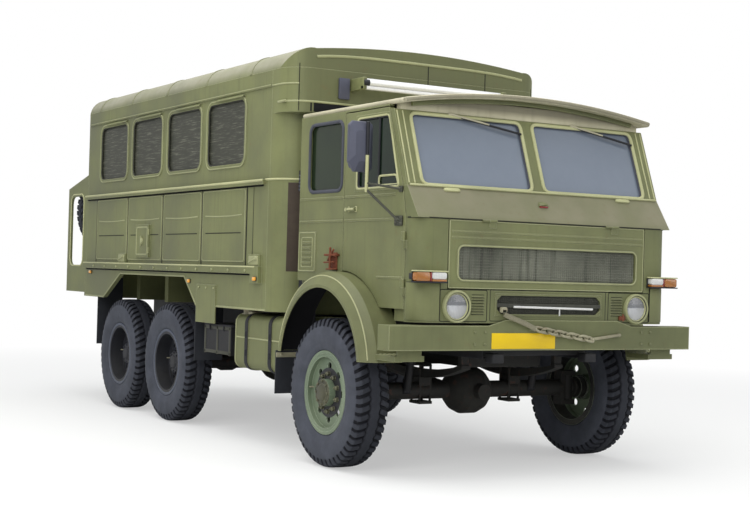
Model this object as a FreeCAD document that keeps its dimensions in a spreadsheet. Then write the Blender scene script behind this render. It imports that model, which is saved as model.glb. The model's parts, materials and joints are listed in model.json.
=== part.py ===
import FreeCAD, Part
import math
import os
import re
import Sketcher
from FreeCAD import Placement, Rotation, Vector

# Military cargo truck, six driven wheels, cab over the front axle, steel cargo body with a windowed hard top.
# Millimetres. The front faces -Y, +X is the truck's own left, +Z is up, the ground is z = 0, the centre plane
# is x = 0. Distances along the truck are measured back from the bumper's front face, at y = nose.

doc = FreeCAD.newDocument("CargoTruck")

# ---------------------------------------------------------------- driving sizes: (alias, value, what it is)
SIZES = [
    ("nose", -3225, "y of the bumper's front face"),
    ("seat_gap", 0.3, "gap left between pieces that rest on each other"),
    ("panel_gap", 8, "seam between a door or hatch and its frame"),
    ("hinge_radius", 9, "radius of a hinge's barrels"),
    ("hinge_half", 55, "length of one half of a hinge"),
    ("hinge_leaf", 6, "thickness of a hinge's leaves"),
    ("hinge_long", 45, "length of its leaves"),
    ("hinge_short", 22, "length of its leaves on the cab's front corners"),
    # bumper
    ("bumper_width", 2490, "bumper across"),
    ("bumper_bottom", 845, "height of its lower edge"),
    ("bumper_height", 160, "its front face"),
    ("bumper_depth", 130, "front to back"),
    ("bumper_wall", 8, "plate thickness"),
    ("bumper_rise", 38, "raised middle above the top edge"),
    ("rise_half", 470, "half length of the raised middle"),
    ("rise_centre", 110, "x of the middle of the raised part"),
    ("rise_ramp", 130, "length of each ramp"),
    ("bumper_face", 0, "its front face"),
    ("chain_from", -120, "x where the chain begins"),
    ("chain_to", 345, "x where the chain ends"),
    ("chain_drop_from", 20, "its first end below the bumper's upper edge"),
    ("chain_drop_to", 90, "its other end below that edge"),
    ("chain_links", 9, "number of links"),
    ("link_run", 16.6, "half length of a link's straight sides"),
    ("link_half", 17, "half width of a link, to the middle of its wire"),
    ("link_wire", 8, "radius of a link's wire"),
    ("pin_radius", 11, "radius of the chain's pin"),
    ("pin_length", 270, "its length"),
    ("pin_lean", 0.12, "its rise for each millimetre across"),
    ("step_width", 220, "step plate across"),
    ("step_depth", 234, "step plate front to back"),
    ("step_plate", 36, "its thickness"),
    ("step_top", 808, "height of its tread"),
    # chassis
    ("rail_half", 430, "x of the rails' outer faces"),
    ("rail_width", 75, "flange width of a rail"),
    ("rail_wall", 10, "steel thickness of a rail"),
    ("rail_bottom", 780, "height of the rails' lower face"),
    ("rail_height", 220, "depth of a rail"),
    ("rail_start", 150, "rails begin behind the bumper's front face"),
    ("rail_end", 5850, "rails end"),
    ("tow_pin", 50, "bore of the rear coupling's pin"),
    ("tow_reach", 230, "rear coupling beyond the rails"),
    # cab
    ("cab_half", 1045, "half width of the cab"),
    ("cab_front", 10, "front panel behind the bumper's front face"),
    ("cab_rear", 1600, "cab's rear face"),
    ("cab_side_low", 1255, "lower edge of the sides behind the doors"),
    ("cab_wall", 40, "thickness of the cab's walls and doors"),
    ("cab_bottom", 1020, "lower edge of the front panel"),
    ("cab_corner", 120, "radius of the front corners"),
    ("waist", 1680, "seam under the windscreen base"),
    ("screen_base", 1885, "lower edge of the windscreen frame"),
    ("screen_base_back", 150, "its place behind the bumper's front face"),
    ("screen_top", 2385, "upper edge of the windscreen frame"),
    ("screen_top_back", 335, "its place behind the bumper's front face"),
    ("screen_wall", 45, "thickness of the windscreen frame"),
    ("pane_half", 930, "outer edge of a windscreen pane"),
    ("post_half", 48, "half width of the centre post"),
    ("pane_low", 1896, "lower edge of the glass"),
    ("pane_high", 2368, "upper edge of the glass"),
    ("glass", 6, "glass thickness"),
    ("roof_edge", 2420, "roof skin at the sides"),
    ("roof_crown", 90, "rise of the roof in the middle"),
    ("roof_skin", 30, "roof thickness"),
    ("roof_front", 235, "front edge of the roof behind the bumper's front face"),
    ("roof_half", 1030, "half width of the roof sheet"),
    ("floor_top", 1265, "cab floor"),
    ("floor_plate", 30, "cab floor thickness"),
    ("hump_half", 370, "engine cover half width"),
    ("hump_front", 420, "engine cover start"),
    ("hump_top", 1600, "engine cover top"),
    # doors
    ("door_front", 158, "front edge of a door"),
    ("door_rear", 950, "rear edge of a door"),
    ("door_bottom", 1100, "lower edge ahead of the arch"),
    ("door_top", 2400, "upper edge"),
    ("window_low", 1880, "lower edge of the side windows"),
    ("window_high", 2355, "upper edge of the side windows"),
    ("window_front_low", 250, "front lower corner of the door window"),
    ("window_front_high", 385, "front upper corner of the door window"),
    ("window_rear", 790, "rear edge of the door window"),
    ("quarter_front", 985, "front edge of the rear side window"),
    ("quarter_rear", 1460, "rear edge of the rear side window"),
    ("quarter_corner", 60, "its corner radius"),
    ("handle_length", 110, "door handle"),
    ("swage_low", 1665, "lower swage of the cab's sides"),
    ("swage_high", 1825, "upper swage"),
    ("swage_tall", 14, "height of a swage"),
    ("swage_out", 5, "how far swages and frames stand out"),
    ("frame_wide", 16, "width of the frame round a cab window"),
    ("fold_height", 1290, "short fold low on the doors"),
    ("fold_long", 310, "its length"),
    ("vent_front", 1335, "hatch with louvres behind the doors"),
    ("vent_rear", 1585, "its rear edge"),
    ("vent_low", 1318, "its lower edge"),
    ("vent_high", 1600, "its upper edge"),
    # grilles and lamps
    ("hatch_half", 810, "half width of the grille panel"),
    ("hatch_low", 1240, "its lower edge"),
    ("hatch_wall", 30, "its thickness"),
    ("hatch_seam", 4, "strip left above the panel, where it is hinged"),
    ("mesh_half", 735, "half width of the mesh opening"),
    ("mesh_low", 1297, "its lower edge"),
    ("mesh_high", 1507, "its upper edge"),
    ("mesh_corner", 38, "its corner radius"),
    ("mesh_wire", 6, "mesh thickness"),
    ("low_mesh_half", 430, "half width of the lower mesh opening"),
    ("low_mesh_low", 1080, "its lower edge"),
    ("low_mesh_high", 1200, "its upper edge"),
    ("lamp_place", 745, "x of the headlamps"),
    ("lamp_height", 1125, "height of the headlamps"),
    ("lamp_radius", 105, "outer radius of a headlamp's bezel"),
    ("lamp_glass", 82, "radius of its glass"),
    ("signal_place", 965, "x of the front indicators"),
    ("signal_height", 1310, "their height"),
    ("signal_width", 240, "their width"),
    ("signal_tall", 62, "their height of body"),
    ("signal_deep", 60, "how far they stand out"),
    ("louvre_start", 530, "x where the louvres beside the lamps begin"),
    ("louvre_wide", 95, "their width"),
    ("louvre_low", 1078, "height of the lowest"),
    ("louvre_step", 18, "distance between them"),
    ("louvre_tall", 9, "height of one"),
    ("crease_low", 1556, "lower crease of the grille panel"),
    ("crease_high", 1594, "upper crease"),
    ("crease_half", 790, "half length of the creases"),
    ("hook_place", 390, "x of the tow strap's hook, to the right"),
    ("hook_height", 1100, "height of the hook"),
    ("hook_out", 29, "how far the hook stands out before the bumper's face"),
    ("strap_wide", 28, "width of the tow strap"),
    ("strap_thick", 9, "its thickness"),
    # wheels
    ("tyre_radius", 505, "out to the lugs"),
    ("tyre_width", 260, "section width"),
    ("bead_radius", 254, "rim seat"),
    ("flange_radius", 285, "rim flange"),
    ("rim_half", 105, "half of the rim's width"),
    ("carcass_radius", 494, "corners of the tread under the lugs"),
    ("tread_half", 118, "half width of the tread"),
    ("wall_radius", 395, "radius where the tyre is widest"),
    ("lug_inner", 28, "lugs begin this far from the tyre's middle"),
    ("lug_outer", 114, "and end here"),
    ("lug_long", 100, "length of a lug along the tread"),
    ("lug_skew", 22, "how far its outer end lies ahead of its inner end"),
    ("lug_root", 460, "radius inside the carcass where a lug starts"),
    ("front_axle", 945, "front axle behind the bumper's front face"),
    ("middle_axle", 3889, "middle axle"),
    ("rear_axle", 5020, "rear axle"),
    ("front_track_half", 1055, "x of the front tyres' centre"),
    ("rear_track_half", 985, "x of the rear tyres' centre"),
    ("kingpin_place", 920, "x of the kingpins"),
    ("kingpin_radius", 20, "radius of a kingpin"),
    ("spindle_radius", 38, "radius of the wheel spindles"),
    ("bearing_gap", 0.3, "radial play in a bearing"),
    ("axle_tube", 60, "radius of the axle tubes"),
    ("diff_radius", 175, "radius of the differential housings"),
    # front mudguards
    ("arch_centre", 960, "middle of the front wheel arch"),
    ("arch_height", 665, "height of the arch's centre"),
    ("arch_inner", 550, "radius of the wheel opening"),
    ("arch_outer", 660, "radius of the mudguard's outer skin"),
    ("arch_lip", 1225, "x of the mudguard's outer lip"),
    ("arch_inboard", 950, "x of its inner edge"),
    ("arch_skin", 14, "mudguard thickness"),
    ("arch_end", 750, "height of its lower ends"),
    ("flap_wall", 10, "mudflap thickness"),
    ("front_flap", 1602, "front mudflap"),
    # cargo body
    ("body_half", 1140, "half width of the cargo body"),
    ("body_front", 1720, "front wall"),
    ("body_rear", 5905, "rear wall"),
    ("body_corner", 200, "radius of the front corners"),
    ("body_wall", 40, "wall thickness"),
    ("skirt_bottom", 1015, "lower edge of the skirt"),
    ("deck_top", 1330, "cargo floor"),
    ("deck_plate", 80, "cargo floor thickness"),
    ("belt", 1992, "joint between the steel sides and the hard top"),
    ("belt_height", 75, "belt rail"),
    ("belt_out", 30, "belt rail's stand-out"),
    ("belt_end", 1960, "where the belt rail's thick part ends"),
    ("rail_low", 1290, "lower edge of the side rail"),
    ("rail_tall", 56, "height of the side rail"),
    ("rail_out", 36, "stand-out of the side rail"),
    ("rail_front", 2050, "front end of the side rail"),
    ("bay_start", 2293, "first pillar"),
    ("bay_pitch", 830, "distance between pillars"),
    ("arch_top", 1245, "top of the rear wheel opening"),
    ("arch_top_front", 3440, "its front upper corner"),
    ("arch_top_rear", 4930, "its rear upper corner"),
    ("arch_low_front", 3180, "its front lower corner"),
    ("arch_low_rear", 5370, "its rear lower corner"),
    ("skirt_flap", 2790, "flap that hangs from the right skirt"),
    ("skirt_flap_low", 885, "its lower edge"),
    ("skirt_flap_long", 370, "its length"),
    ("skirt_flap_tall", 305, "its height"),
    ("side_hatch", 4200, "small hatch in the right side"),
    ("side_hatch_low", 1400, "its lower edge"),
    ("side_hatch_long", 300, "its length"),
    ("side_hatch_tall", 290, "its height"),
    ("press_low", 1374, "lower edge of the pressed side panels"),
    ("press_high", 1940, "their upper edge"),
    ("press_gap", 17, "half of the seam between two of them"),
    ("press_out", 6, "how far they stand out"),
    ("flap_inset", 45, "mudflaps of the rear wheels in from the body's side"),
    # hard top
    ("top_half", "=body_half - 10", "half width of the hard top"),
    ("top_wall", 35, "its thickness"),
    ("top_crown", 3000, "roof crown"),
    ("top_shoulder", "=top_crown - 200", "height where the roof's shoulder begins"),
    ("top_edge_half", "=top_half - 200", "x where the shoulder meets the roof"),
    ("top_edge", "=top_crown - 55", "height there"),
    ("nose_front", 1620, "front of the part above the cab"),
    ("nose_bottom", "=top_crown - 525", "its underside"),
    ("bar_height", "=top_crown - 345", "underside of the lamp bar in front of the hard top"),
    ("light_low", "=belt + 116", "lower edge of a body window"),
    ("light_high", "=top_shoulder - 145", "upper edge of a body window"),
    ("light_margin", 48, "half post between two windows"),
    ("light_corner", 95, "corner radius of a window"),
    ("pane", 8, "thickness of a body pane"),
    ("light_bead", 28, "width of the frame that holds a body pane"),
    ("bead_out", 7, "how far that frame stands out"),
    ("hood_start", 86, "hood above a window, from its pillar"),
    ("hood_length", 496, "its length"),
    ("hood_out", 26, "how far it stands out"),
    ("gutter_height", "=top_shoulder - 124", "underside of the rain gutter"),
    ("gutter_tall", 14, "its height"),
    ("gutter_out", 12, "how far it stands out"),
    ("seam_out", 5, "raised seams across the roof"),
    ("seam_wide", 34, "width of such a seam"),
    # rear door and carrier
    ("exit_left", 880, "outer edge of the rear door"),
    ("exit_right", 60, "inner edge of the rear door"),
    ("exit_low", 1350, "sill of the rear door"),
    ("exit_high", "=top_crown - 400", "top of the rear door"),
    ("carrier_rear", 6480, "rear face of the carrier"),
    ("carrier_half", "=body_half - 10", "half width of the carrier"),
    ("carrier_inner", 80, "x of its inner side plate, to the right"),
    ("carrier_plate", 25, "side plate thickness"),
    ("carrier_low", 1050, "underside of its step box"),
    ("carrier_box", 190, "height of its step box"),
    ("carrier_top", 2080, "rear end of its side plates' top edge"),
    ("carrier_slope", 120, "that edge's rise towards the wall"),
    ("carrier_flange", 55, "width of the flange along that edge"),
    ("spare_place", 595, "x of the spare wheel, to the right"),
    ("spare_height", 1860, "height of the spare wheel's centre"),
    ("spare_back", 6240, "middle of the spare wheel"),
]

sheet = doc.addObject("Spreadsheet::Sheet", "Sizes")
for row, (alias, value, note) in enumerate(SIZES, start=1):
    sheet.set("A%d" % row, alias)
    sheet.set("B%d" % row, str(value))
    sheet.set("C%d" % row, note)
    sheet.setAlias("B%d" % row, alias)
doc.recompute()


def size(alias):
    """The value that the sheet holds under this alias."""
    return float(sheet.get(alias))


def along(alias):
    """y of a place that is measured back from the bumper's front face."""
    return size("nose") + size(alias)


# ---------------------------------------------------------------- helpers that make parametric objects
NUMBER_WORDS = ("sqrt", "sin", "cos", "tan", "atan")


def link(formula):
    """Points each alias in a formula at the spreadsheet."""
    def with_sheet(match):
        word = match.group(0)
        return word if word in NUMBER_WORDS else "Sizes." + word
    return re.sub(r"[a-z_]+", with_sheet, str(formula))


def bind(thing, prop, formula):
    thing.setExpression(prop, link(formula))


def put(thing, x, y, z):
    bind(thing, "Placement.Base.x", x)
    bind(thing, "Placement.Base.y", y)
    bind(thing, "Placement.Base.z", z)
    return thing


def box(x, y, z, dx, dy, dz):
    """A box from its lowest corner and its three sides, all as formulas."""
    thing = doc.addObject("Part::Box", "Block")
    bind(thing, "Length", dx)
    bind(thing, "Width", dy)
    bind(thing, "Height", dz)
    return put(thing, x, y, z)


AXIS_TURN = {
    "X": Rotation(Vector(0, 1, 0), 90),
    "Y": Rotation(Vector(1, 0, 0), -90),
    "Z": Rotation(),
}


def rod(axis, x, y, z, radius, length):
    """A cylinder that starts at a point and runs along +X, +Y or +Z."""
    thing = doc.addObject("Part::Cylinder", "Rod")
    thing.Placement = Placement(Vector(), AXIS_TURN[axis])
    bind(thing, "Radius", radius)
    bind(thing, "Height", length)
    return put(thing, x, y, z)


def fuse(*things):
    thing = doc.addObject("Part::MultiFuse", "Joined")
    thing.Shapes = list(things)
    return thing


def cut(base, *tools):
    thing = doc.addObject("Part::Cut", "Cut")
    thing.Base = base
    thing.Tool = tools[0] if len(tools) == 1 else fuse(*tools)
    return thing


def group(*things):
    """Like pieces that do not touch, kept as one object."""
    thing = doc.addObject("Part::Compound", "Group")
    thing.Links = list(things)
    return thing


def other_side(thing):
    """The same piece on the other side of the centre plane."""
    copy = doc.addObject("Part::Mirroring", "OtherSide")
    copy.Source = thing
    copy.Normal = Vector(1, 0, 0)
    return copy


def round_edges(base, axis, radius, keep=None):
    """Rounds the straight edges that run along one axis; keep chooses among them by their middle point."""
    doc.recompute()
    direction = {"X": Vector(1, 0, 0), "Y": Vector(0, 1, 0), "Z": Vector(0, 0, 1)}[axis]
    edges = []
    for number, edge in enumerate(base.Shape.Edges, start=1):
        run = edge.Vertexes[-1].Point - edge.Vertexes[0].Point
        if run.Length < 1 or abs(abs(run.normalize().dot(direction)) - 1) > 1e-6:
            continue
        if keep is None or keep(edge.CenterOfMass):
            edges.append((number, radius, radius))
    thing = doc.addObject("Part::Fillet", "Rounded")
    thing.Base = base
    thing.Edges = edges
    return thing


PLANES = {
    "YZ": (Rotation(Vector(0, 1, 0), Vector(0, 0, 1), Vector(1, 0, 0), "ZXY"), Vector(1, 0, 0), "x"),
    "XZ": (Rotation(Vector(1, 0, 0), 90), Vector(0, 1, 0), "y"),
    "XY": (Rotation(), Vector(0, 0, 1), "z"),
}


def outline(plane, corners):
    """A closed sketch of straight lines whose corners are held by formulas."""
    sketch = doc.addObject("Sketcher::SketchObject", "Outline")
    sketch.Placement = Placement(Vector(), PLANES[plane][0])
    count = len(corners)
    for i in range(count):
        angle = 2 * math.pi * i / count
        after = 2 * math.pi * (i + 1) / count
        sketch.addGeometry(Part.LineSegment(Vector(100 * math.cos(angle), 100 * math.sin(angle), 0),
                                            Vector(100 * math.cos(after), 100 * math.sin(after), 0)), False)
    for i in range(count):
        sketch.addConstraint(Sketcher.Constraint("Coincident", i, 2, (i + 1) % count, 1))
    for i, (across, up) in enumerate(corners):
        for kind, formula in (("DistanceX", across), ("DistanceY", up)):
            number = sketch.addConstraint(Sketcher.Constraint(kind, -1, 1, i, 1, 10.0 + i))
            sketch.setExpression("Constraints[%d]" % number, link(formula))
    return sketch


def slab(plane, corners, start, length):
    """A straight-sided solid: an outline in a plane, moved along the plane's normal."""
    turn, direction, letter = PLANES[plane]
    sketch = outline(plane, corners)
    bind(sketch, "Placement.Base." + letter, start)
    thing = doc.addObject("Part::Extrusion", "Slab")
    thing.Base = sketch
    thing.DirMode = "Custom"
    thing.Dir = direction
    thing.Solid = True
    bind(thing, "LengthFwd", length)
    return thing


def made(shape):
    """A solid whose form no primitive gives, from Part's own functions and the sheet's values."""
    thing = doc.addObject("Part::Feature", "Form")
    thing.Shape = shape
    return thing


def turned(corners, angle=360.0, start=0.0):
    """Revolves (x, radius) corners about the X axis."""
    points = [Vector(x, 0, radius) for x, radius in corners]
    face = Part.Face(Part.makePolygon(points + points[:1]))
    solid = face.revolve(Vector(), Vector(1, 0, 0), angle)
    solid.rotate(Vector(), Vector(1, 0, 0), start)
    return solid


def strut(a, b, radius):
    run = b - a
    return Part.makeCylinder(radius, run.Length, a, run)


CAB_HINGES = (1180, 1480)
REAR_HINGES = (1440, 1860)
GRILLE_HINGES = (-560, 460)


def upright_hinges(lows, x, y, leaf_x, leaf_y, leaf_dx, leaf_dy, moving=False):
    """The lower, fixed or the upper, moving half of each hinge: a barrel on the hinge line and its leaf."""
    halves = []
    for low in lows:
        start = "%d+hinge_half+seat_gap" % low if moving else low
        halves.append(rod("Z", x, y, start, "hinge_radius", "hinge_half"))
        halves.append(box(leaf_x, leaf_y, start, leaf_dx, leaf_dy, "hinge_half"))
    return halves


NODES = []


def node(label, thing):
    """Names a finished sub-part; its label names its file."""
    thing.Label = label
    NODES.append(thing)
    return thing


# ---------------------------------------------------------------- chassis
def chassis_frame():
    """Two channel rails, cross-members, cab mounts and the rear coupling."""
    whole = box("rail_half-rail_width", "nose+rail_start", "rail_bottom",
                "rail_width", "rail_end-rail_start", "rail_height")
    hollow = box("rail_half-rail_width-1", "nose+rail_start-1", "rail_bottom+rail_wall",
                 "rail_width-rail_wall+1", "rail_end-rail_start+2", "rail_height-2*rail_wall")
    rail = cut(whole, hollow)
    pieces = [rail, other_side(rail)]
    for place in (180, 2560, 3300, 4455, 5780):
        pieces.append(box("-rail_half+rail_wall/2", "nose+%d-30" % place, "rail_bottom+20",
                          "2*rail_half-rail_wall", 60, "rail_height-40"))
    for place in (230, 1500):
        mount = box("rail_half-rail_width", "nose+%d-45" % place, "rail_bottom+rail_height-1",
                    "rail_width", 90, "floor_top-floor_plate-rail_bottom-rail_height-seat_gap+1")
        pieces += [mount, other_side(mount)]
    tongue = box(-60, "nose+rail_end-45", "rail_bottom+70", 120, "tow_reach+45", 70)
    bore = rod("Z", 0, "nose+rail_end+tow_reach-60", "rail_bottom", "tow_pin/2", 200)
    beam = box("-rail_half+rail_wall/2", "nose+rail_end-60", "rail_bottom+20",
               "2*rail_half-rail_wall", 60, "rail_height-40")
    return node("chassis_frame", cut(fuse(*pieces, beam, tongue), bore))


def front_bumper():
    """Channel bumper with its raised middle, the brackets to the rails and the two steps."""
    half = "bumper_width/2"
    top = "bumper_bottom+bumper_height"
    left = "rise_centre-rise_half"
    right = "rise_centre+rise_half"
    face = [("-" + half, "bumper_bottom"), (half, "bumper_bottom"), (half, top),
            (right + "+rise_ramp", top), (right, top + "+bumper_rise"),
            (left, top + "+bumper_rise"), (left + "-rise_ramp", top), ("-" + half, top)]
    solid = slab("XZ", face, "nose", "bumper_depth")
    inside = box("-" + half + "+bumper_wall", "nose+bumper_wall", "bumper_bottom+bumper_wall",
                 "bumper_width-2*bumper_wall", "bumper_depth", "bumper_height-2*bumper_wall")
    behind = box("-" + half + "-1", "nose+bumper_wall", top, "bumper_width+2", "bumper_depth", "bumper_rise+1")
    shell = cut(solid, inside, behind)
    bracket = box("rail_half-rail_width", "nose+bumper_wall-1", "bumper_bottom+20",
                  "rail_width", "rail_start-bumper_wall+1-seat_gap", "bumper_height-40")
    step = box("bumper_width/2-90-step_width", "nose+bumper_depth-60", "step_top-step_plate",
               "step_width", "step_depth", "step_plate")
    hanger = box("bumper_width/2-70-step_width", "nose+bumper_depth-60", "step_top-step_plate",
                 "step_width-40", 12, "bumper_bottom-step_top+step_plate+bumper_wall")
    eye = box(-161, "nose-12", "bumper_bottom+bumper_height-32", 24, 13, 24)
    return node("front_bumper", fuse(shell, bracket, other_side(bracket), step, other_side(step),
                                     hanger, other_side(hanger), eye))


LINK_OUTLINE = ((1.0, 0.45), (0.6, 1.0), (-0.6, 1.0), (-1.0, 0.45),
                (-1.0, -0.45), (-0.6, -1.0), (0.6, -1.0), (1.0, -0.45))


def link_plate(grow, thick):
    """The filled outline of a chain link, made larger or smaller by the wire's radius, as a plate."""
    long = size("link_run") + size("link_half") + grow
    wide = size("link_half") + grow
    corners = [Vector(a * long, b * wide, -thick / 2.0) for a, b in LINK_OUTLINE]
    return Part.Face(Part.makePolygon(corners + corners[:1])).extrude(Vector(0, 0, thick))


def tow_chain():
    """Chain of nine links, turned 45 degrees each way in turn, and the steel pin at its end."""
    face = along("bumper_face")
    top = size("bumper_bottom") + size("bumper_height")
    wire = size("link_wire")
    one = link_plate(wire, 2 * wire).cut(link_plate(-wire, 2 * wire + 2))
    hang = (size("link_half") + 2 * wire) * math.sqrt(0.5) + size("seat_gap")
    start = Vector(size("chain_from"), face - hang, top - size("chain_drop_from"))
    end = Vector(size("chain_to"), face - hang, top - size("chain_drop_to"))
    count = int(size("chain_links"))
    aim = Rotation(Vector(1, 0, 0), end - start)
    links = []
    for i in range(count):
        piece = one.copy()
        turn = Rotation(Vector(1, 0, 0), 45 if i % 2 == 0 else 135)
        piece.Placement = Placement(start + (end - start) * ((i + 0.5) / count), aim.multiply(turn))
        links.append(piece)
    corners = [Vector(0, size("pin_radius") * math.cos(math.radians(60 * i)),
                      size("pin_radius") * math.sin(math.radians(60 * i))) for i in range(6)]
    pin = Part.Face(Part.makePolygon(corners + corners[:1])).extrude(Vector(size("pin_length"), 0, 0))
    pin.Placement = Placement(end + Vector(-wire, hang - size("pin_radius") - size("seat_gap"), 0),
                              Rotation(Vector(0, 1, 0), -math.degrees(math.atan(size("pin_lean")))))
    return node("tow_chain", made(links[0].multiFuse(links[1:] + [pin])))


# ---------------------------------------------------------------- cab
def cab_floor():
    """Floor plate, hollow engine cover, rear sill and the lower valances beside the front."""
    inner = "cab_half-cab_wall"
    plate = box("-(%s)+seat_gap" % inner, "nose+cab_front+cab_wall+seat_gap", "floor_top-floor_plate",
                "2*(%s)-2*seat_gap" % inner, "cab_rear-cab_front-2*cab_wall-2*seat_gap", "floor_plate")
    plate = round_edges(plate, "Z", size("cab_corner") - size("cab_wall"), lambda p: p.y < along("door_front"))
    hump = box("-hump_half", "nose+hump_front", "floor_top-floor_plate", "2*hump_half",
               "cab_rear-cab_wall-seat_gap-hump_front", "hump_top-floor_top+floor_plate")
    hollow = box("-hump_half+floor_plate", "nose+hump_front+floor_plate", "floor_top-floor_plate-1",
                 "2*hump_half-2*floor_plate", "cab_rear-cab_wall-seat_gap-hump_front-2*floor_plate",
                 "hump_top-floor_top+1")
    guard = rod("X", "-cab_half", "nose+arch_centre", "arch_height", "arch_outer+seat_gap", "2*cab_half")
    middle = box("-arch_inboard", "nose+arch_centre-arch_outer-5", "arch_height-arch_outer-5",
                 "2*arch_inboard", "2*arch_outer+10", "2*arch_outer+10")
    side_guards = cut(guard, middle)
    valance = box("cab_half-cab_wall-30", "nose+cab_front+cab_corner+seat_gap", "cab_bottom",
                  "30-seat_gap", "door_front+40", "floor_top-cab_bottom-1")
    return node("cab_floor", cut(fuse(plate, hump, valance, other_side(valance)), hollow, side_guards))


def front_shell(low, high, y_front):
    """A U in plan: the front wall and its two rounded corners, back to the doors' front edge."""
    depth = "door_front-panel_gap-(%s)" % y_front
    outer = box("-cab_half", "nose+%s" % y_front, low, "2*cab_half", depth, "(%s)-(%s)" % (high, low))
    nose = along(y_front)
    outer = round_edges(outer, "Z", size("cab_corner"), lambda p: p.y < nose + 5)
    inner = box("-cab_half+cab_wall", "nose+%s+cab_wall" % y_front, "(%s)-1" % low,
                "2*cab_half-2*cab_wall", depth, "(%s)-(%s)+2" % (high, low))
    inner = round_edges(inner, "Z", size("cab_corner") - size("cab_wall"),
                        lambda p: p.y < nose + size("cab_wall") + 5)
    return cut(outer, inner)


def cab_front():
    """Front wall below the windscreen with the openings for the grille panel, lower grille and headlamps."""
    wall = front_shell("cab_bottom", "waist", "cab_front")
    hatch = box("-hatch_half-panel_gap", "nose-1", "hatch_low-panel_gap",
                "2*hatch_half+2*panel_gap", 100, "waist-hatch_low+panel_gap-hatch_seam")
    low = box("-low_mesh_half", "nose-1", "low_mesh_low", "2*low_mesh_half", 100, "low_mesh_high-low_mesh_low")
    lamp = rod("Y", "lamp_place", "nose-1", "lamp_height", "lamp_glass+4", 100)
    lamps = [lamp, other_side(lamp)]
    cowl = slab("YZ", [("nose+cab_front", "waist"), ("nose+screen_base_back", "screen_base"),
                       ("nose+screen_base_back+screen_wall", "screen_base"),
                       ("nose+door_front-panel_gap", "waist")], "-cab_half", "2*cab_half")
    seam = "nose+door_front-panel_gap/2"
    hinges = upright_hinges(CAB_HINGES, "-cab_half-hinge_radius-seat_gap", seam, "-cab_half-hinge_leaf",
                            seam + "-hinge_short", "hinge_leaf+1", "hinge_short")
    louvres = [slab("YZ", [("nose+cab_front+1", "louvre_low+%d*louvre_step" % i),
                           ("nose+cab_front-9", "louvre_low+%d*louvre_step" % i),
                           ("nose+cab_front+1", "louvre_low+%d*louvre_step+louvre_tall" % i)],
                    "louvre_start", "louvre_wide") for i in range(7)]
    low_frame = cut(box("-low_mesh_half-12", "nose+cab_front-7", "low_mesh_low-12", "2*low_mesh_half+24", 8,
                        "low_mesh_high-low_mesh_low+24"), low)
    hinges += louvres
    both_sides = hinges + [other_side(half) for half in hinges] + [low_frame]
    for place in GRILLE_HINGES:
        both_sides += [grille_barrel(place), box(place, "nose+cab_front-hinge_radius", "waist-hatch_seam+1",
                                                 "hinge_half", "hinge_radius+5", "hinge_leaf")]
    return node("cab_front", fuse(cut(wall, hatch, low, *lamps), cowl, *both_sides))


def grille_barrel(start):
    """Half of the barrel of a hinge above the grille panel."""
    return rod("X", start, "nose+cab_front-hinge_radius-seat_gap", "waist-hatch_seam",
               "hinge_radius", "hinge_half")


def leaned(thickness, start, half_out, half_in, low, high):
    """A plate in the windscreen's sloping plane, between two heights and two x values."""
    base = Vector(0, along("screen_base_back"), size("screen_base"))
    top = Vector(0, along("screen_top_back"), size("screen_top"))
    rise = top - base
    slope = rise.y / rise.z
    inward = Vector(0, 1, 0)
    corners = []
    for x, z in ((half_in, low), (half_out, low), (half_out, high), (half_in, high)):
        corners.append(Vector(x, base.y + (z - base.z) * slope, z) + inward * start)
    face = Part.Face(Part.makePolygon(corners + corners[:1]))
    return face.extrude(inward * thickness)


def windscreen_frame():
    """Sloping frame with two openings, the side posts and the header under the roof."""
    wall = size("screen_wall")
    half = size("cab_half")
    plate = leaned(wall, 0, half, -half, size("screen_base") + size("seat_gap"), size("screen_top"))
    for side in (-1, 1):
        opening = leaned(wall + 20, -10, side * size("pane_half"), side * size("post_half"),
                         size("pane_low"), size("pane_high"))
        plate = plate.cut(opening)
    return node("windscreen_frame", made(plate))


def cab_side_outline():
    """Side wall behind the door, and the rail above it, seen from the side."""
    return [("nose+door_rear+panel_gap", "cab_side_low"), ("nose+cab_rear", "cab_side_low"),
            ("nose+cab_rear", "roof_edge"), ("nose+screen_top_back+screen_wall+2*panel_gap", "roof_edge"),
            ("nose+screen_top_back+screen_wall+2*panel_gap", "door_top+panel_gap"),
            ("nose+door_rear+panel_gap", "door_top+panel_gap")]


def swages(start, end):
    """The two long swages of the cab's right side between two distances from the bumper."""
    return [box("-cab_half-swage_out", "nose+" + start, low, "swage_out+1", "(%s)-(%s)" % (end, start), "swage_tall")
            for low in ("swage_low", "swage_high")]


def vent_hatch():
    """Hatch with five louvres low on the cab's right side, behind the door."""
    leaf = box("-cab_half-swage_out-1", "nose+vent_front", "vent_low", "swage_out+2", "vent_rear-vent_front",
               "vent_high-vent_low")
    louvres = [box("-cab_half-swage_out-9", "nose+vent_front+60", "vent_low+%d" % (55 + 36 * i), "9",
                   "vent_rear-vent_front-120", "14") for i in range(5)]
    return fuse(leaf, *louvres)


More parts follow.
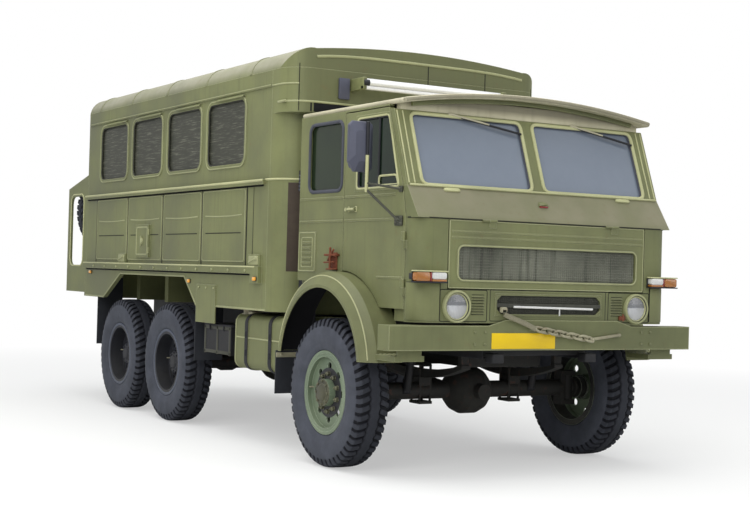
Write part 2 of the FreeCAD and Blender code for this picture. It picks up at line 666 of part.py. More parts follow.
def cab_shell():
    """Both sides behind the doors and the rear wall, welded together, with their windows cut."""
    side = slab("YZ", cab_side_outline(), "-cab_half", "cab_wall")
    arch = rod("X", "-cab_half-5", "nose+arch_centre", "arch_height", "arch_outer+seat_gap", "cab_wall+10")
    window = round_edges(box("-cab_half-5", "nose+quarter_front", "window_low", "cab_wall+10",
                             "quarter_rear-quarter_front", "window_high-window_low"),
                         "X", size("quarter_corner"))
    right = fuse(cut(side, arch, window), *swages("door_rear+2*panel_gap", "cab_rear-10"), vent_hatch())
    rear = box("-cab_half+cab_wall-1", "nose+cab_rear-cab_wall", "floor_top-floor_plate",
               "2*cab_half-2*cab_wall+2", "cab_wall", "roof_edge-floor_top+floor_plate")
    rear_window = round_edges(box(-420, "nose+cab_rear-cab_wall-5", "window_low+60", 840, "cab_wall+10",
                                  "window_high-window_low-120"), "Y", size("quarter_corner"))
    return node("cab_shell", fuse(right, other_side(right), cut(rear, rear_window)))


def cab_roof():
    """Thin crowned sheet with a visor over the windscreen."""
    half = size("roof_half")
    edge = size("roof_edge") + size("seat_gap")
    crown = edge + size("roof_crown")
    skin = size("roof_skin")
    def arc(lift):
        return Part.Arc(Vector(-half, 0, edge + lift), Vector(0, 0, crown + lift),
                        Vector(half, 0, edge + lift)).toShape()
    lower = arc(0)
    upper = arc(skin)
    ends = [Part.makeLine(Vector(side * half, 0, edge), Vector(side * half, 0, edge + skin)) for side in (-1, 1)]
    face = Part.Face(Part.Wire(Part.__sortEdges__([lower, upper] + ends)))
    sheet_solid = face.extrude(Vector(0, size("cab_rear") - size("roof_front") - 5, 0))
    sheet_solid.translate(Vector(0, along("roof_front"), 0))
    rear_cap = Part.makeBox(2 * half - 60, size("cab_wall"), size("roof_crown") + 5,
                            Vector(-half + 30, along("cab_rear") - size("cab_wall"), edge))
    front_cap = Part.makeBox(2 * half - 60, size("screen_wall"), size("roof_crown") + 5,
                             Vector(-half + 30, along("screen_top_back"), size("screen_top") + size("seat_gap")))
    under = Part.Face(Part.Wire(Part.__sortEdges__([arc(skin / 2.0),
                      Part.makeLine(Vector(-half, 0, edge + skin / 2.0), Vector(half, 0, edge + skin / 2.0))])))
    under = under.extrude(Vector(0, size("cab_rear"), 0))
    under.translate(Vector(0, along("cab_front"), 0))
    below = Part.makeBox(2 * half, size("cab_rear"), edge - size("screen_top") + skin / 2.0,
                         Vector(-half, along("cab_front"), size("screen_top")))
    return node("cab_roof", made(sheet_solid.fuse([rear_cap.common(under), front_cap.common(under.fuse(below))])))


def grille_hatch():
    """Panel with the rounded mesh opening; hinged along its upper edge."""
    panel = box("-hatch_half", "nose+cab_front", "hatch_low", "2*hatch_half", "hatch_wall",
                "waist-hatch_seam-seat_gap-hatch_low")
    opening = round_edges(box("-mesh_half", "nose+cab_front-10", "mesh_low", "2*mesh_half", "hatch_wall+15",
                              "mesh_high-mesh_low"), "Y", size("mesh_corner"))
    halves = []
    for place in GRILLE_HINGES:
        start = "%d+hinge_half+seat_gap" % place
        halves += [grille_barrel(start), box(start, "nose+cab_front-hinge_leaf", "waist-hatch_seam-hinge_long",
                                             "hinge_half", "hinge_leaf+1", "hinge_long-1")]
    frame = cut(round_edges(box("-mesh_half-12", "nose+cab_front-7", "mesh_low-12", "2*mesh_half+24", 8,
                                "mesh_high-mesh_low+24"), "Y", size("mesh_corner") + 12), opening)
    creases = [slab("YZ", [("nose+cab_front+1", low), ("nose+cab_front-6", low + "+4"),
                           ("nose+cab_front-6", low + "+10"), ("nose+cab_front+1", low + "+16")],
                    "-crease_half", "2*crease_half") for low in ("crease_low", "crease_high")]
    return node("grille_hatch", fuse(cut(panel, opening), frame, *creases, *halves))


def grille_mesh():
    """Mesh plate set in the grille panel."""
    plate = round_edges(box("-mesh_half+seat_gap", "nose+cab_front+hatch_wall/2", "mesh_low+seat_gap",
                            "2*mesh_half-2*seat_gap", "mesh_wire", "mesh_high-mesh_low-2*seat_gap"),
                        "Y", size("mesh_corner"))
    return node("grille_mesh", plate)


def lower_grille():
    """Framed mesh between the headlamps with its bright bar."""
    plate = box("-low_mesh_half+seat_gap", "nose+cab_front+10", "low_mesh_low+seat_gap",
                "2*low_mesh_half-2*seat_gap", "mesh_wire", "low_mesh_high-low_mesh_low-2*seat_gap")
    bar = box("-low_mesh_half+seat_gap", "nose+cab_front-8", "low_mesh_low+45",
              "2*low_mesh_half-2*seat_gap", "20", "24")
    hook = box("-hook_place-strap_wide/2", "nose-hook_out", "hook_height-8", "strap_wide",
               "hook_out+cab_front+12", "16")
    return node("lower_grille", fuse(plate, bar, hook))


def tow_strap():
    """Webbing strap from the hook on the lower grille down to the first link of the chain."""
    route = [("-hook_place", "hook_height-8-strap_wide/2-seat_gap"), ("-310", "1050"), ("-215", "1026"),
             ("chain_from-link_wire-2*seat_gap-9", "bumper_bottom+bumper_height-chain_drop_from")]
    above = [(x, z + "+strap_wide/2") for x, z in route]
    below = [(x, z + "-strap_wide/2") for x, z in reversed(route)]
    return node("tow_strap", slab("XZ", above + below, "nose-hook_out+1", "strap_thick"))


def headlamps():
    """Round lamp bodies with a deep bezel."""
    bezel = rod("Y", "lamp_place", "nose+cab_front-28", "lamp_height", "lamp_radius", "28-seat_gap")
    dish = rod("Y", "lamp_place", "nose+cab_front-30", "lamp_height", "lamp_glass", "18")
    body = rod("Y", "lamp_place", "nose+cab_front-12", "lamp_height", "lamp_glass", "110")
    lamp = fuse(cut(bezel, dish), body)
    return node("headlamps", group(lamp, other_side(lamp)))


def signal_lamps():
    """Front indicators, side markers and tail lamps."""
    front = box("signal_place-signal_width/2", "nose+cab_front-signal_deep+10", "signal_height-signal_tall/2",
                "signal_width", "signal_deep-10-seat_gap", "signal_tall")
    hood = box("signal_place-signal_width/2-6", "nose+cab_front-signal_deep+6", "signal_height+signal_tall/2-1",
               "signal_width+12", "signal_deep-6-seat_gap", "9")
    tray = box("signal_place-signal_width/2-6", "nose+cab_front-signal_deep+6", "signal_height-signal_tall/2-8",
               "signal_width+12", "signal_deep-6-seat_gap", "9")
    front = fuse(front, hood, tray)
    pieces = [front, other_side(front)]
    for place, height, out in ((2000, 1235, "rail_out"), (3300, 1195, "0"), (5700, 1235, "0")):
        marker = box("body_half+seat_gap+" + out, "nose+%d" % place, height, 14, 60, 34)
        pieces += [marker, other_side(marker)]
    tail = box("carrier_half-220", "nose+carrier_rear+seat_gap", "carrier_low+50", 180, 30, 80)
    pieces += [tail, other_side(tail)]
    return node("signal_lamps", group(*pieces))


def cab_glass():
    """Two windscreen panes, two rear side panes and the rear pane."""
    gap = size("seat_gap")
    thick = size("glass")
    panes = []
    for side in (-1, 1):
        panes.append(leaned(thick, size("screen_wall") / 2.0 - thick / 2.0, side * (size("pane_half") - gap),
                            side * (size("post_half") + gap), size("pane_low") + gap, size("pane_high") - gap))
    screens = made(Part.makeCompound(panes))
    pane = round_edges(box("-cab_half+cab_wall/2-glass/2", "nose+quarter_front+seat_gap", "window_low+seat_gap",
                           "glass", "quarter_rear-quarter_front-2*seat_gap",
                           "window_high-window_low-2*seat_gap"), "X", size("quarter_corner"))
    rear = round_edges(box("-420+seat_gap", "nose+cab_rear-cab_wall/2-glass/2", "window_low+60+seat_gap",
                           "840-2*seat_gap", "glass", "window_high-window_low-120-2*seat_gap"),
                       "Y", size("quarter_corner"))
    return node("cab_glass", group(screens, pane, other_side(pane), rear))


def door_outline():
    """A door seen from the side, before the wheel arch is cut from it."""
    slant = "(screen_top_back-screen_base_back)/(screen_top-screen_base)"
    edge = "nose+screen_base_back+screen_wall+panel_gap"
    return [("nose+door_front", "door_bottom"), ("nose+door_rear", "door_bottom"),
            ("nose+door_rear", "door_top"), (edge + "+(door_top-screen_base)*" + slant, "door_top"),
            (edge, "screen_base"), ("nose+door_front", "waist")]


def door_window(grow, start, length):
    """The door window's outline as a slab, grown on all edges, but never forwards past the door's own edge."""
    front = "0" if grow == "frame_wide" else grow
    return slab("YZ", [("nose+window_front_low-(%s)" % front, "window_low-(%s)" % grow),
                       ("nose+window_rear+(%s)" % grow, "window_low-(%s)" % grow),
                       ("nose+window_rear+(%s)" % grow, "window_high+(%s)" % grow),
                       ("nose+window_front_high-(%s)" % front, "window_high+(%s)" % grow)], start, length)


def doors():
    """Both cab doors, each with its window opening, handle and arch cut-out, and their panes."""
    leaf = slab("YZ", door_outline(), "-cab_half", "cab_wall")
    window = door_window("0", "-cab_half-5", "cab_wall+10")
    arch = rod("X", "-cab_half-5", "nose+arch_centre", "arch_height", "arch_outer+panel_gap", "cab_wall+10")
    handle = box("-cab_half-22", "nose+door_rear-60-handle_length", 1735, 23, "handle_length", 24)
    seam = "nose+door_front-panel_gap/2"
    hinges = upright_hinges(CAB_HINGES, "-cab_half-hinge_radius-seat_gap", seam, "-cab_half-hinge_leaf",
                            seam, "hinge_leaf+1", "hinge_long", moving=True)
    frame = cut(door_window("frame_wide", "-cab_half-swage_out", "swage_out+1"),
                door_window("0", "-cab_half-swage_out-1", "swage_out+3"))
    press = box("-cab_half-swage_out", "nose+door_front+27", "fold_height", "swage_out+1", "fold_long", 12)
    right = fuse(cut(leaf, window, arch), handle, frame, press, *swages("window_front_low+40", "door_rear-10"),
                 *hinges)
    node("door_right", right)
    node("door_left", other_side(right))
    pane = door_window("-seat_gap", "-cab_half+cab_wall/2-glass/2", "glass")
    node("door_glass_right", pane)
    node("door_glass_left", other_side(pane))


def mirror():
    """Rear-view mirror on its two arms, carried by the right door."""
    nose = size("nose")
    x_skin = -size("cab_half") - size("seat_gap")
    x_bar = -1180.0
    y_bar = nose + 430.0
    arm = 8.0
    bar = strut(Vector(x_bar, y_bar, 1840), Vector(x_bar, y_bar, 2300), 12)
    low_arm = strut(Vector(x_skin - 12, nose + 230, 1660), Vector(x_bar, y_bar, 1860), arm)
    high_arm = strut(Vector(x_skin - 12, nose + 215, 1862), Vector(x_bar, y_bar, 1900), arm)
    plate = Part.makeBox(12, 90, 64, Vector(x_skin - 12, nose + 188, 1628))
    foot = Part.makeBox(12, 40, 40, Vector(x_skin - 12, nose + 195, 1842))
    housing = Part.makeBox(180, 55, 330, Vector(-1302, y_bar + 4, 1970))
    housing = housing.makeFillet(30, [e for e in housing.Edges
                                      if abs(e.Vertexes[0].Y - e.Vertexes[-1].Y) > 1])
    return node("mirror", made(bar.multiFuse([low_arm, high_arm, plate, foot, housing])))


def seats():
    """Driver's and passenger's seats on their boxes."""
    base = box(-850, "nose+900", "floor_top+seat_gap", 430, 440, 260)
    cushion = box(-870, "nose+860", "floor_top+260", 470, 500, 130)
    back = box(-870, "nose+1330", "floor_top+300", 470, 110, 640)
    head = box(-740, "nose+1340", "floor_top+939", 210, 90, 150)
    seat = fuse(base, cushion, back, head)
    return node("seats", group(seat, other_side(seat)))


def cab_controls():
    """Dashboard, steering column and steering wheel, on the truck's right."""
    dash = box("-cab_half+cab_wall+seat_gap", "nose+door_front+50", 1600,
               "2*cab_half-2*cab_wall-2*seat_gap", 150, 200)
    nose = size("nose")
    centre = Vector(-620, nose + 560, 1900)
    lean = Vector(0, 0.45, 0.9).normalize()
    ring = Part.makeTorus(225, 13, centre, lean)
    hub = Part.makeCylinder(35, 40, centre - lean * 30, lean)
    spokes = []
    for angle in (90, 210, 330):
        side = Rotation(lean, angle).multVec(Vector(1, 0, 0))
        spokes.append(Part.makeCylinder(9, 225, centre, side))
    foot = Vector(-620, nose + 330, size("floor_top") + size("seat_gap"))
    run = centre - foot
    column = Part.makeCylinder(24, run.Length, foot, run)
    floor_cut = Part.makeBox(200, 200, 60, Vector(-720, nose + 230, size("floor_top") + size("seat_gap") - 60))
    wheel = ring.multiFuse([hub, column.cut(floor_cut)] + spokes)
    return node("cab_controls", fuse(dash, made(wheel)))


# ---------------------------------------------------------------- front mudguards and flaps
def fenders():
    """Turned mudguards with a flared outer lip; their lower ends stop above the wheel's centre."""
    lip = size("arch_lip")
    inboard = size("arch_inboard")
    outer = size("arch_outer")
    inner = size("arch_inner")
    skin = size("arch_skin")
    profile = [(-inboard, outer - skin), (-inboard, outer), (-lip + 90, outer), (-lip + 35, outer - 30),
               (-lip, inner + 22), (-lip, inner), (-lip + 14, inner), (-lip + 14, inner + 18),
               (-lip + 42, outer - 30 - skin), (-lip + 94, outer - skin)]
    ring = turned(profile)
    ring.translate(Vector(0, along("arch_centre"), size("arch_height")))
    keep = Part.makeBox(2 * lip, 4 * outer, outer * 2,
                        Vector(-2 * lip, along("arch_centre") - 2 * outer, size("arch_end")))
    right = made(ring.common(keep))
    return node("fenders", group(right, other_side(right)))


def mudflaps():
    """Flaps behind the front wheels and around the rear ones."""
    front = box("-arch_lip+25", "nose+front_flap", 440, "arch_lip-25-850", "flap_wall", "arch_end-seat_gap-440")
    flaps = [front]
    for place in (3285, 5630):
        flaps.append(box("-body_half+flap_inset", "nose+%d" % place, 560, 250, "flap_wall", "deck_top-deck_plate-seat_gap-560"))
    pieces = []
    for flap in flaps:
        pieces += [flap, other_side(flap)]
    return node("mudflaps", group(*pieces))


# ---------------------------------------------------------------- engine, driveline and axles
def engine():
    """Plain block of the engine's size on its two mounts between the rails."""
    block = box(-300, "nose+480", 700, 600, 870, 740)
    arms = []
    for place in (600, 1200):
        arms.append(box("-rail_half+rail_wall+seat_gap", "nose+%d" % place, 880,
                        "2*rail_half-2*rail_wall-2*seat_gap", 80, 60))
    return node("engine", fuse(block, *arms))


def driveline():
    """Gearbox, transfer case and the shafts to the three axles."""
    nose = size("nose")
    gap = size("seat_gap")
    hub = size("tyre_radius")
    gearbox = Part.makeBox(360, 560, 330, Vector(-180, nose + 1350 + gap, 660))
    transfer = Part.makeBox(420, 360, 440, Vector(-210, nose + 2050, 540))
    hanger = Part.makeBox(2 * (size("rail_half") - size("rail_wall") - gap), 90, 60,
                          Vector(-size("rail_half") + size("rail_wall") + gap, nose + 2180, 880))
    hanger_front = Part.makeBox(2 * (size("rail_half") - size("rail_wall") - gap), 90, 60,
                                Vector(-size("rail_half") + size("rail_wall") + gap, nose + 1500, 880))
    reach = size("diff_radius") + 60 + gap
    pieces = [transfer, hanger, hanger_front, strut(Vector(0, nose + 1800, 800), Vector(0, nose + 2100, 760), 45)]
    front = nose + size("front_axle") + reach
    middle = nose + size("middle_axle") - reach
    pieces += [strut(Vector(0, front, hub), Vector(0, front + 40, hub), 45),
               strut(Vector(0, front + 30, hub), Vector(0, nose + 2060, 600), 35),
               strut(Vector(0, middle - 40, hub), Vector(0, middle, hub), 45),
               strut(Vector(0, nose + 2400, 600), Vector(0, middle - 30, hub), 35),
               strut(Vector(0, nose + size("middle_axle") + reach, hub),
                     Vector(0, nose + size("rear_axle") - reach, hub), 35)]
    shafts = gearbox.multiFuse(pieces)
    return node("driveline", made(shafts))


DIFF_PROFILE = [(180, 60), (150, 105), (110, 145), (55, 170)]


def axle_body(place, half):
    """Axle tube that swells into its differential housing, with the shaft flanges, at a given place."""
    hub = size("tyre_radius")
    y = along(place)
    right = [(half, 0), (half, size("axle_tube"))] + DIFF_PROFILE
    housing = turned(right + [(-x, radius) for x, radius in reversed(right)])
    housing.translate(Vector(0, y, hub))
    reach = size("diff_radius") + 60
    shaft = Part.makeCylinder(55, 2 * reach, Vector(0, y - reach, hub), Vector(0, 1, 0))
    return housing.fuse(shaft)


def leaf(y_low, y_high, y_mid, z_end, z_mid, wide, thick, x):
    """A bent leaf pack, from end to end through its middle, at one side."""
    low = Part.Arc(Vector(x, y_low, z_end), Vector(x, y_mid, z_mid), Vector(x, y_high, z_end)).toShape()
    high = Part.Arc(Vector(x, y_low, z_end + thick * 0.4), Vector(x, y_mid, z_mid + thick),
                    Vector(x, y_high, z_end + thick * 0.4)).toShape()
    ends = [Part.makeLine(low.valueAt(low.FirstParameter), high.valueAt(high.FirstParameter)),
            Part.makeLine(low.valueAt(low.LastParameter), high.valueAt(high.LastParameter))]
    face = Part.Face(Part.Wire(Part.__sortEdges__([low, high] + ends)))
    return face.extrude(Vector(wide, 0, 0))


def front_axle():
    """Driven front axle with its leaf springs, spring shackles and the forks that hold the kingpins."""
    hub = size("tyre_radius")
    y = along("front_axle")
    pin_x = size("kingpin_place")
    pin_r = size("kingpin_radius")
    whole = axle_body("front_axle", pin_x - 70)
    rail_x = size("rail_half") - size("rail_width")
    parts = []
    for side in (-1, 1):
        fork = Part.makeBox(130, 90, 250, Vector(-85, -45, -125)).cut(
            Part.makeBox(101, 100, 181, Vector(-55, -50, -90.5)))
        if side < 0:
            fork = fork.mirror(Vector(), Vector(1, 0, 0))
        fork.translate(Vector(side * pin_x, y, hub))
        pin = Part.makeCylinder(pin_r, 240, Vector(side * pin_x, y, hub - 120))
        x = side * (rail_x + size("rail_width") / 2.0) - 35
        spring = leaf(y - 560, y + 560, y, hub + 190, hub + 95, 70, 60, x)
        pad = Part.makeBox(90, 120, 60, Vector(x - 10, y - 60, hub + 40))
        hangers = []
        for end in (y - 550, y + 510):
            hangers.append(Part.makeBox(60, 40, size("rail_bottom") - size("seat_gap") - hub - 195,
                                        Vector(x + 5, end, hub + 195)))
        parts += [fork, pin, spring, pad] + hangers
    return node("front_axle", made(whole.multiFuse(parts)))


def knuckles():
    """Steering knuckles: a sleeve on the kingpin and the spindle that carries the wheel."""
    hub = size("tyre_radius")
    y = along("front_axle")
    pin_x = size("kingpin_place")
    for side, label in ((-1, "knuckle_right"), (1, "knuckle_left")):
        sleeve = Part.makeCylinder(42, 180, Vector(side * pin_x, y, hub - 90))
        bore = Part.makeCylinder(size("kingpin_radius") + size("bearing_gap"), 200,
                                 Vector(side * pin_x, y, hub - 100))
        spindle = strut(Vector(side * (pin_x + 30), y, hub),
                        Vector(side * (size("front_track_half") + 80), y, hub), size("spindle_radius"))
        plate = Part.makeCylinder(75, 14, Vector(side * (pin_x + 36), y, hub), Vector(side, 0, 0))
        node(label, made(sleeve.multiFuse([spindle, plate]).cut(bore)))


def bogie():
    """Two rear axles under a pair of leaf packs that rock on one cross tube."""
    hub = size("tyre_radius")
    half = size("rear_track_half") - 130
    middle = along("middle_axle")
    rear = along("rear_axle")
    centre = (middle + rear) / 2.0
    parts = []
    for place in ("middle_axle", "rear_axle"):
        axle = axle_body(place, half)
        for side in (-1, 1):
            spindle = strut(Vector(side * (half - 5), along(place), hub),
                            Vector(side * (size("rear_track_half") + 10), along(place), hub),
                            size("spindle_radius"))
            axle = axle.fuse(spindle)
        parts.append(axle)
    rail_x = size("rail_half") - size("rail_width") / 2.0
    for side in (-1, 1):
        x = side * (rail_x + 90) - 35
        spring = leaf(middle - 60, rear + 60, centre, hub + 70, hub + 140, 70, 75, x)
        seats_on = [Part.makeBox(70, 90, 60, Vector(x, place - 45, hub + 30)) for place in (middle, rear)]
        block = Part.makeBox(90, 140, 120, Vector(x - 10, centre - 70, hub + 100))
        parts += [spring, block] + seats_on
    cross = Part.makeCylinder(50, 2 * (rail_x + 120), Vector(-rail_x - 120, centre, hub + 175), Vector(1, 0, 0))
    hangers = []
    for side in (-1, 1):
        hangers.append(Part.makeBox(60, 160, size("rail_bottom") - size("seat_gap") - hub - 150,
                                    Vector(side * rail_x - 30, centre - 80, hub + 150)))
    return node("bogie", made(parts[0].multiFuse(parts[1:] + [cross] + hangers)))


# ---------------------------------------------------------------- wheels
RIM_SEAT = 12.0
HUB_INNER = 55.0
HUB_NECK = 80.0
TYRE_SIDES = 14


def rim_shape(disc, hub_end, hub_radius):
    """A rim turned about X, outboard is +x: barrel, disc at a given place and a hub."""
    half = size("rim_half")
    seat = size("bead_radius") - size("seat_gap")
    flange = size("flange_radius")
    bore = size("spindle_radius") + size("bearing_gap")
    barrel = turned([(-half, seat - RIM_SEAT), (half, seat - RIM_SEAT), (half, flange), (half - 8, flange),
                     (half - 8, seat), (-half + 8, seat), (-half + 8, flange), (-half, flange)])
    plate = turned([(disc - 14, bore + 20), (disc, bore + 20), (disc, seat - RIM_SEAT + 1),
                    (disc - 14, seat - RIM_SEAT + 1)])
    hub = turned([(-HUB_INNER, bore), (hub_end, bore), (hub_end, hub_radius), (0, hub_radius), (0, HUB_NECK),
                  (-HUB_INNER, HUB_NECK)])
    holes = []
    for i in range(8):
        hole = Part.makeCylinder(26, 60, Vector(disc - 40, 0, 180), Vector(1, 0, 0))
        hole.rotate(Vector(), Vector(1, 0, 0), 45.0 * i)
        holes.append(hole)
    return barrel.multiFuse([plate.cut(holes[0].multiFuse(holes[1:])), hub])


def tyre_lug(side, angle, tip):
    """One lug: a skewed slab at an angle, from its root in the carcass out to the plane of its tip."""
    inner, outer = side * size("lug_inner"), side * size("lug_outer")
    half, skew = size("lug_long") / 2.0, size("lug_skew") / 2.0
    root = size("lug_root")
    corners = [Vector(inner, -half - skew, root), Vector(inner, half - skew, root),
               Vector(outer, half + skew, root), Vector(outer, -half + skew, root)]
    lug = Part.Face(Part.makePolygon(corners + corners[:1])).extrude(Vector(0, 0, tip - root))
    lug.rotate(Vector(), Vector(1, 0, 0), angle)
    return lug


def tyre_shape():
    """A tyre turned about X: a carcass of flat faces with two rows of lugs, set half a step apart.
    The lugs' corners lie on the tyre's radius, one of them at the very bottom."""
    step = 360.0 / TYRE_SIDES
    over = 1 / math.cos(math.pi / TYRE_SIDES)
    half = size("tyre_width") / 2.0
    edge = size("rim_half") - 8 - size("seat_gap")
    right = [(edge, size("bead_radius") * over), (edge, (size("flange_radius") + 3) * over),
             (half, size("wall_radius")), (size("tread_half"), size("carcass_radius"))]
    left = [(-x, radius) for x, radius in reversed(right)]
    reach = (size("lug_long") + size("lug_skew")) / 2.0
    tip = math.sqrt(size("tyre_radius") ** 2 - reach ** 2)
    lead = math.degrees(math.atan2(reach, tip))
    carcass = faceted(right + left, TYRE_SIDES)
    carcass.rotate(Vector(), Vector(1, 0, 0), lead)
    lugs = [tyre_lug(side, lead + 180 + step * (i + (0 if side > 0 else 0.5)), tip) for i in range(TYRE_SIDES)
            for side in (-1, 1)]
    return carcass.multiFuse(lugs).removeSplitter()


def faceted(corners, sides):
    """A closed ring of flat faces: (x, radius) corners carried round the X axis in equal steps."""
    rings = []
    for i in range(sides):
        angle = 2 * math.pi * (i + 0.5) / sides + math.pi
        rings.append([Vector(x, -radius * math.sin(angle), radius * math.cos(angle)) for x, radius in corners])
    faces = []
    for i in range(sides):
        here, after = rings[i], rings[(i + 1) % sides]
        for j in range(len(corners)):
            k = (j + 1) % len(corners)
            faces.append(Part.Face(Part.makePolygon([here[j], here[k], after[k], after[j], here[j]])))
    solid = Part.Solid(Part.Shell(faces))
    return solid if solid.Volume > 0 else solid.reversed()


# wheel name, side (-1 right, 1 left), axle place, tyre centre, driven front wheel or not
WHEELS = [
    ("front_right", -1, "front_axle", "front_track_half", True),
    ("front_left", 1, "front_axle", "front_track_half", True),
    ("middle_right", -1, "middle_axle", "rear_track_half", False),
    ("middle_left", 1, "middle_axle", "rear_track_half", False),
    ("rear_right", -1, "rear_axle", "rear_track_half", False),
    ("rear_left", 1, "rear_axle", "rear_track_half", False),
]


def wheels():
    """Six wheels on their hubs; the front discs stand out, the rear ones are set deep."""
    front_rim = rim_shape(70, 118, 92)
    rear_rim = rim_shape(-20, 30, 92)
    tyre = tyre_shape()
    for name, side, axle, track, front in WHEELS:
        turn = Rotation(Vector(0, 0, 1), 0 if side > 0 else 180)
        place = Placement(Vector(side * size(track), along(axle), size("tyre_radius")), turn)
        for kind, shape in (("rim", front_rim if front else rear_rim), ("tyre", tyre)):
            piece = made(shape)
            piece.Placement = place
            node("%s_%s" % (kind, name), piece)


def spare_wheel():
    """Spare wheel flat against the rear wall, disc outwards, clamped on one stud of the carrier."""
    turn = Rotation(Vector(0, 0, 1), 90)
    place = Placement(Vector(-size("spare_place"), along("spare_back"), size("spare_height")), turn)
    for kind, shape in (("rim", rim_shape(-20, 30, 92)), ("tyre", tyre_shape())):
        piece = made(shape)
        piece.Placement = place
        node("spare_%s" % kind, piece)


# ---------------------------------------------------------------- boxes and tanks on the frame
def fuel_tank():
    """Rounded tank on two brackets with its straps."""
    tank = box(-1095, "nose+1700", 560, 560, 810, 420)
    tank = round_edges(tank, "Y", 70)
    straps = []
    for place in (1880, 2280):
        strap = round_edges(box(-1101, "nose+%d" % place, 554, 572, 46, 432), "Y", 76)
        arm = box(-560, "nose+%d" % place, 800, "560-rail_half-seat_gap", 46, 100)
        straps += [strap, arm]
    cap = rod("Z", -1010, "nose+2440", 970, 45, 40)
    return node("fuel_tank", fuse(tank, cap, *straps))


def battery_box():
    """Open-framed battery box behind the tank."""
    body = box(-1090, "nose+2600", 645, 480, 500, 220)
    arm = box(-611, "nose+2650", 790, "611-rail_half-seat_gap", 60, 60)
    arm_two = box(-611, "nose+2960", 790, "611-rail_half-seat_gap", 60, 60)
    return node("battery_box", fuse(body, arm, arm_two))


def air_tanks():
    """Two compressed-air tanks on the left rail."""
    pieces = []
    for height in (700, 900):
        pieces.append(rod("Y", 760, "nose+1750", height, 90, 780))
    for place in (1850, 2350):
        pieces.append(box("rail_half+seat_gap", "nose+%d" % place, 790, "760-rail_half", 50, 50))
    return node("air_tanks", fuse(*pieces, box(745, "nose+1850", 690, 30, 550, 200)))


def exhaust():
    """Silencer and tail pipe on the left."""
    drum = rod("Y", 640, "nose+2700", 720, 110, 420)
    pipe = rod("X", 640, "nose+2760", 720, 32, 430)
    arm = box("rail_half+seat_gap", "nose+2880", 800, "640-rail_half", 50, 40)
    return node("exhaust", fuse(drum, pipe, arm))


def air_intake():
    """Air intake stack in the gap behind the cab, on a bracket from the frame."""
    stack = box(-990, "nose+cab_rear+18", 1250, 110, 68, 800)
    head = box(-1010, "nose+cab_rear+14", 1900, 150, 76, 150)
    foot = box(-990, "nose+cab_rear+18", 1010, 110, 68, 250)
    arm = box(-990, "nose+cab_rear+18", "rail_bottom+120", 110, 68, 120)
    beam = box(-990, "nose+cab_rear+18", "rail_bottom+120", "990-rail_half-seat_gap", 68, 60)
    return node("air_intake", fuse(stack, head, foot, arm, beam))


# ---------------------------------------------------------------- cargo body
def cargo_floor():
    """Deck and its bearers on the rails."""
    deck = box("-body_half+body_wall+seat_gap", "nose+body_front+body_corner+seat_gap", "deck_top-deck_plate",
               "2*body_half-2*body_wall-2*seat_gap", "body_rear-body_front-body_corner-body_wall-2*seat_gap",
               "deck_plate")
    head = box("-body_half+body_corner", "nose+body_front+body_wall+seat_gap", "deck_top-deck_plate",
               "2*body_half-2*body_corner", "body_corner+10", "deck_plate")
    bearers = []
    for place in (1800, 2500, 3200, 3900, 4600, 5300, 5780):
        bearers.append(box(-800, "nose+%d" % place, "rail_bottom+rail_height+seat_gap", 1600, 70,
                           "deck_top-deck_plate-rail_bottom-rail_height-seat_gap+1"))
    return node("cargo_floor", fuse(deck, head, *bearers))


# latch's place behind the bumper's front face, its width
LATCHES = ((2000, 190), (4765, 180))


def cargo_sides():
    """Steel sides with belt rail, side rail and the skirt with its wheel opening."""
    start = "nose+body_front+body_corner+seat_gap"
    length = "body_rear-body_wall-body_front-body_corner-2*seat_gap"
    wall = box("-body_half", start, "skirt_bottom", "body_wall", length, "belt-seat_gap-skirt_bottom")
    opening = slab("YZ", [("nose+arch_low_front", "skirt_bottom-5"), ("nose+arch_low_front", "skirt_bottom"),
                          ("nose+arch_top_front", "arch_top"), ("nose+arch_top_rear", "arch_top"),
                          ("nose+arch_low_rear", "skirt_bottom"), ("nose+arch_low_rear", "skirt_bottom-5")],
                   "-body_half-5", "body_wall+10")
    belt_rail = box("-body_half-belt_out", "nose+belt_end", "belt-seat_gap-belt_height/2", "belt_out+1",
                    "body_rear-body_wall-seat_gap-belt_end", "belt_height/2")
    side_rail = box("-body_half-rail_out", "nose+rail_front", "rail_low", "rail_out+1",
                    "body_rear-body_wall-seat_gap-rail_front", "rail_tall")
    bracket = box("-body_half-rail_out", "nose+rail_front-60", "rail_low-70", "rail_out+1", 130,
                  "rail_tall+70")
    flap = box("-body_half-10", "nose+skirt_flap", "skirt_flap_low", 11, "skirt_flap_long", "skirt_flap_tall")
    hatch = box("-body_half-26", "nose+side_hatch", "side_hatch_low", 27, "side_hatch_long", "side_hatch_tall")
    presses = [box("-body_half-press_out", "nose+bay_start-20+%d*bay_pitch+press_gap" % i, "press_low",
                   "press_out+1", "bay_pitch-2*press_gap", "press_high-press_low") for i in range(4)]
    latches = [box("-body_half-20", "nose+%d" % place, "rail_low+rail_tall+1", 21, width, 88)
               for place, width in LATCHES]
    plain = fuse(cut(wall, opening), belt_rail, side_rail, *presses, *latches)
    right = fuse(plain, bracket, flap, hatch)
    left = other_side(fuse(plain, bracket))
    return node("cargo_sides", group(right, left))


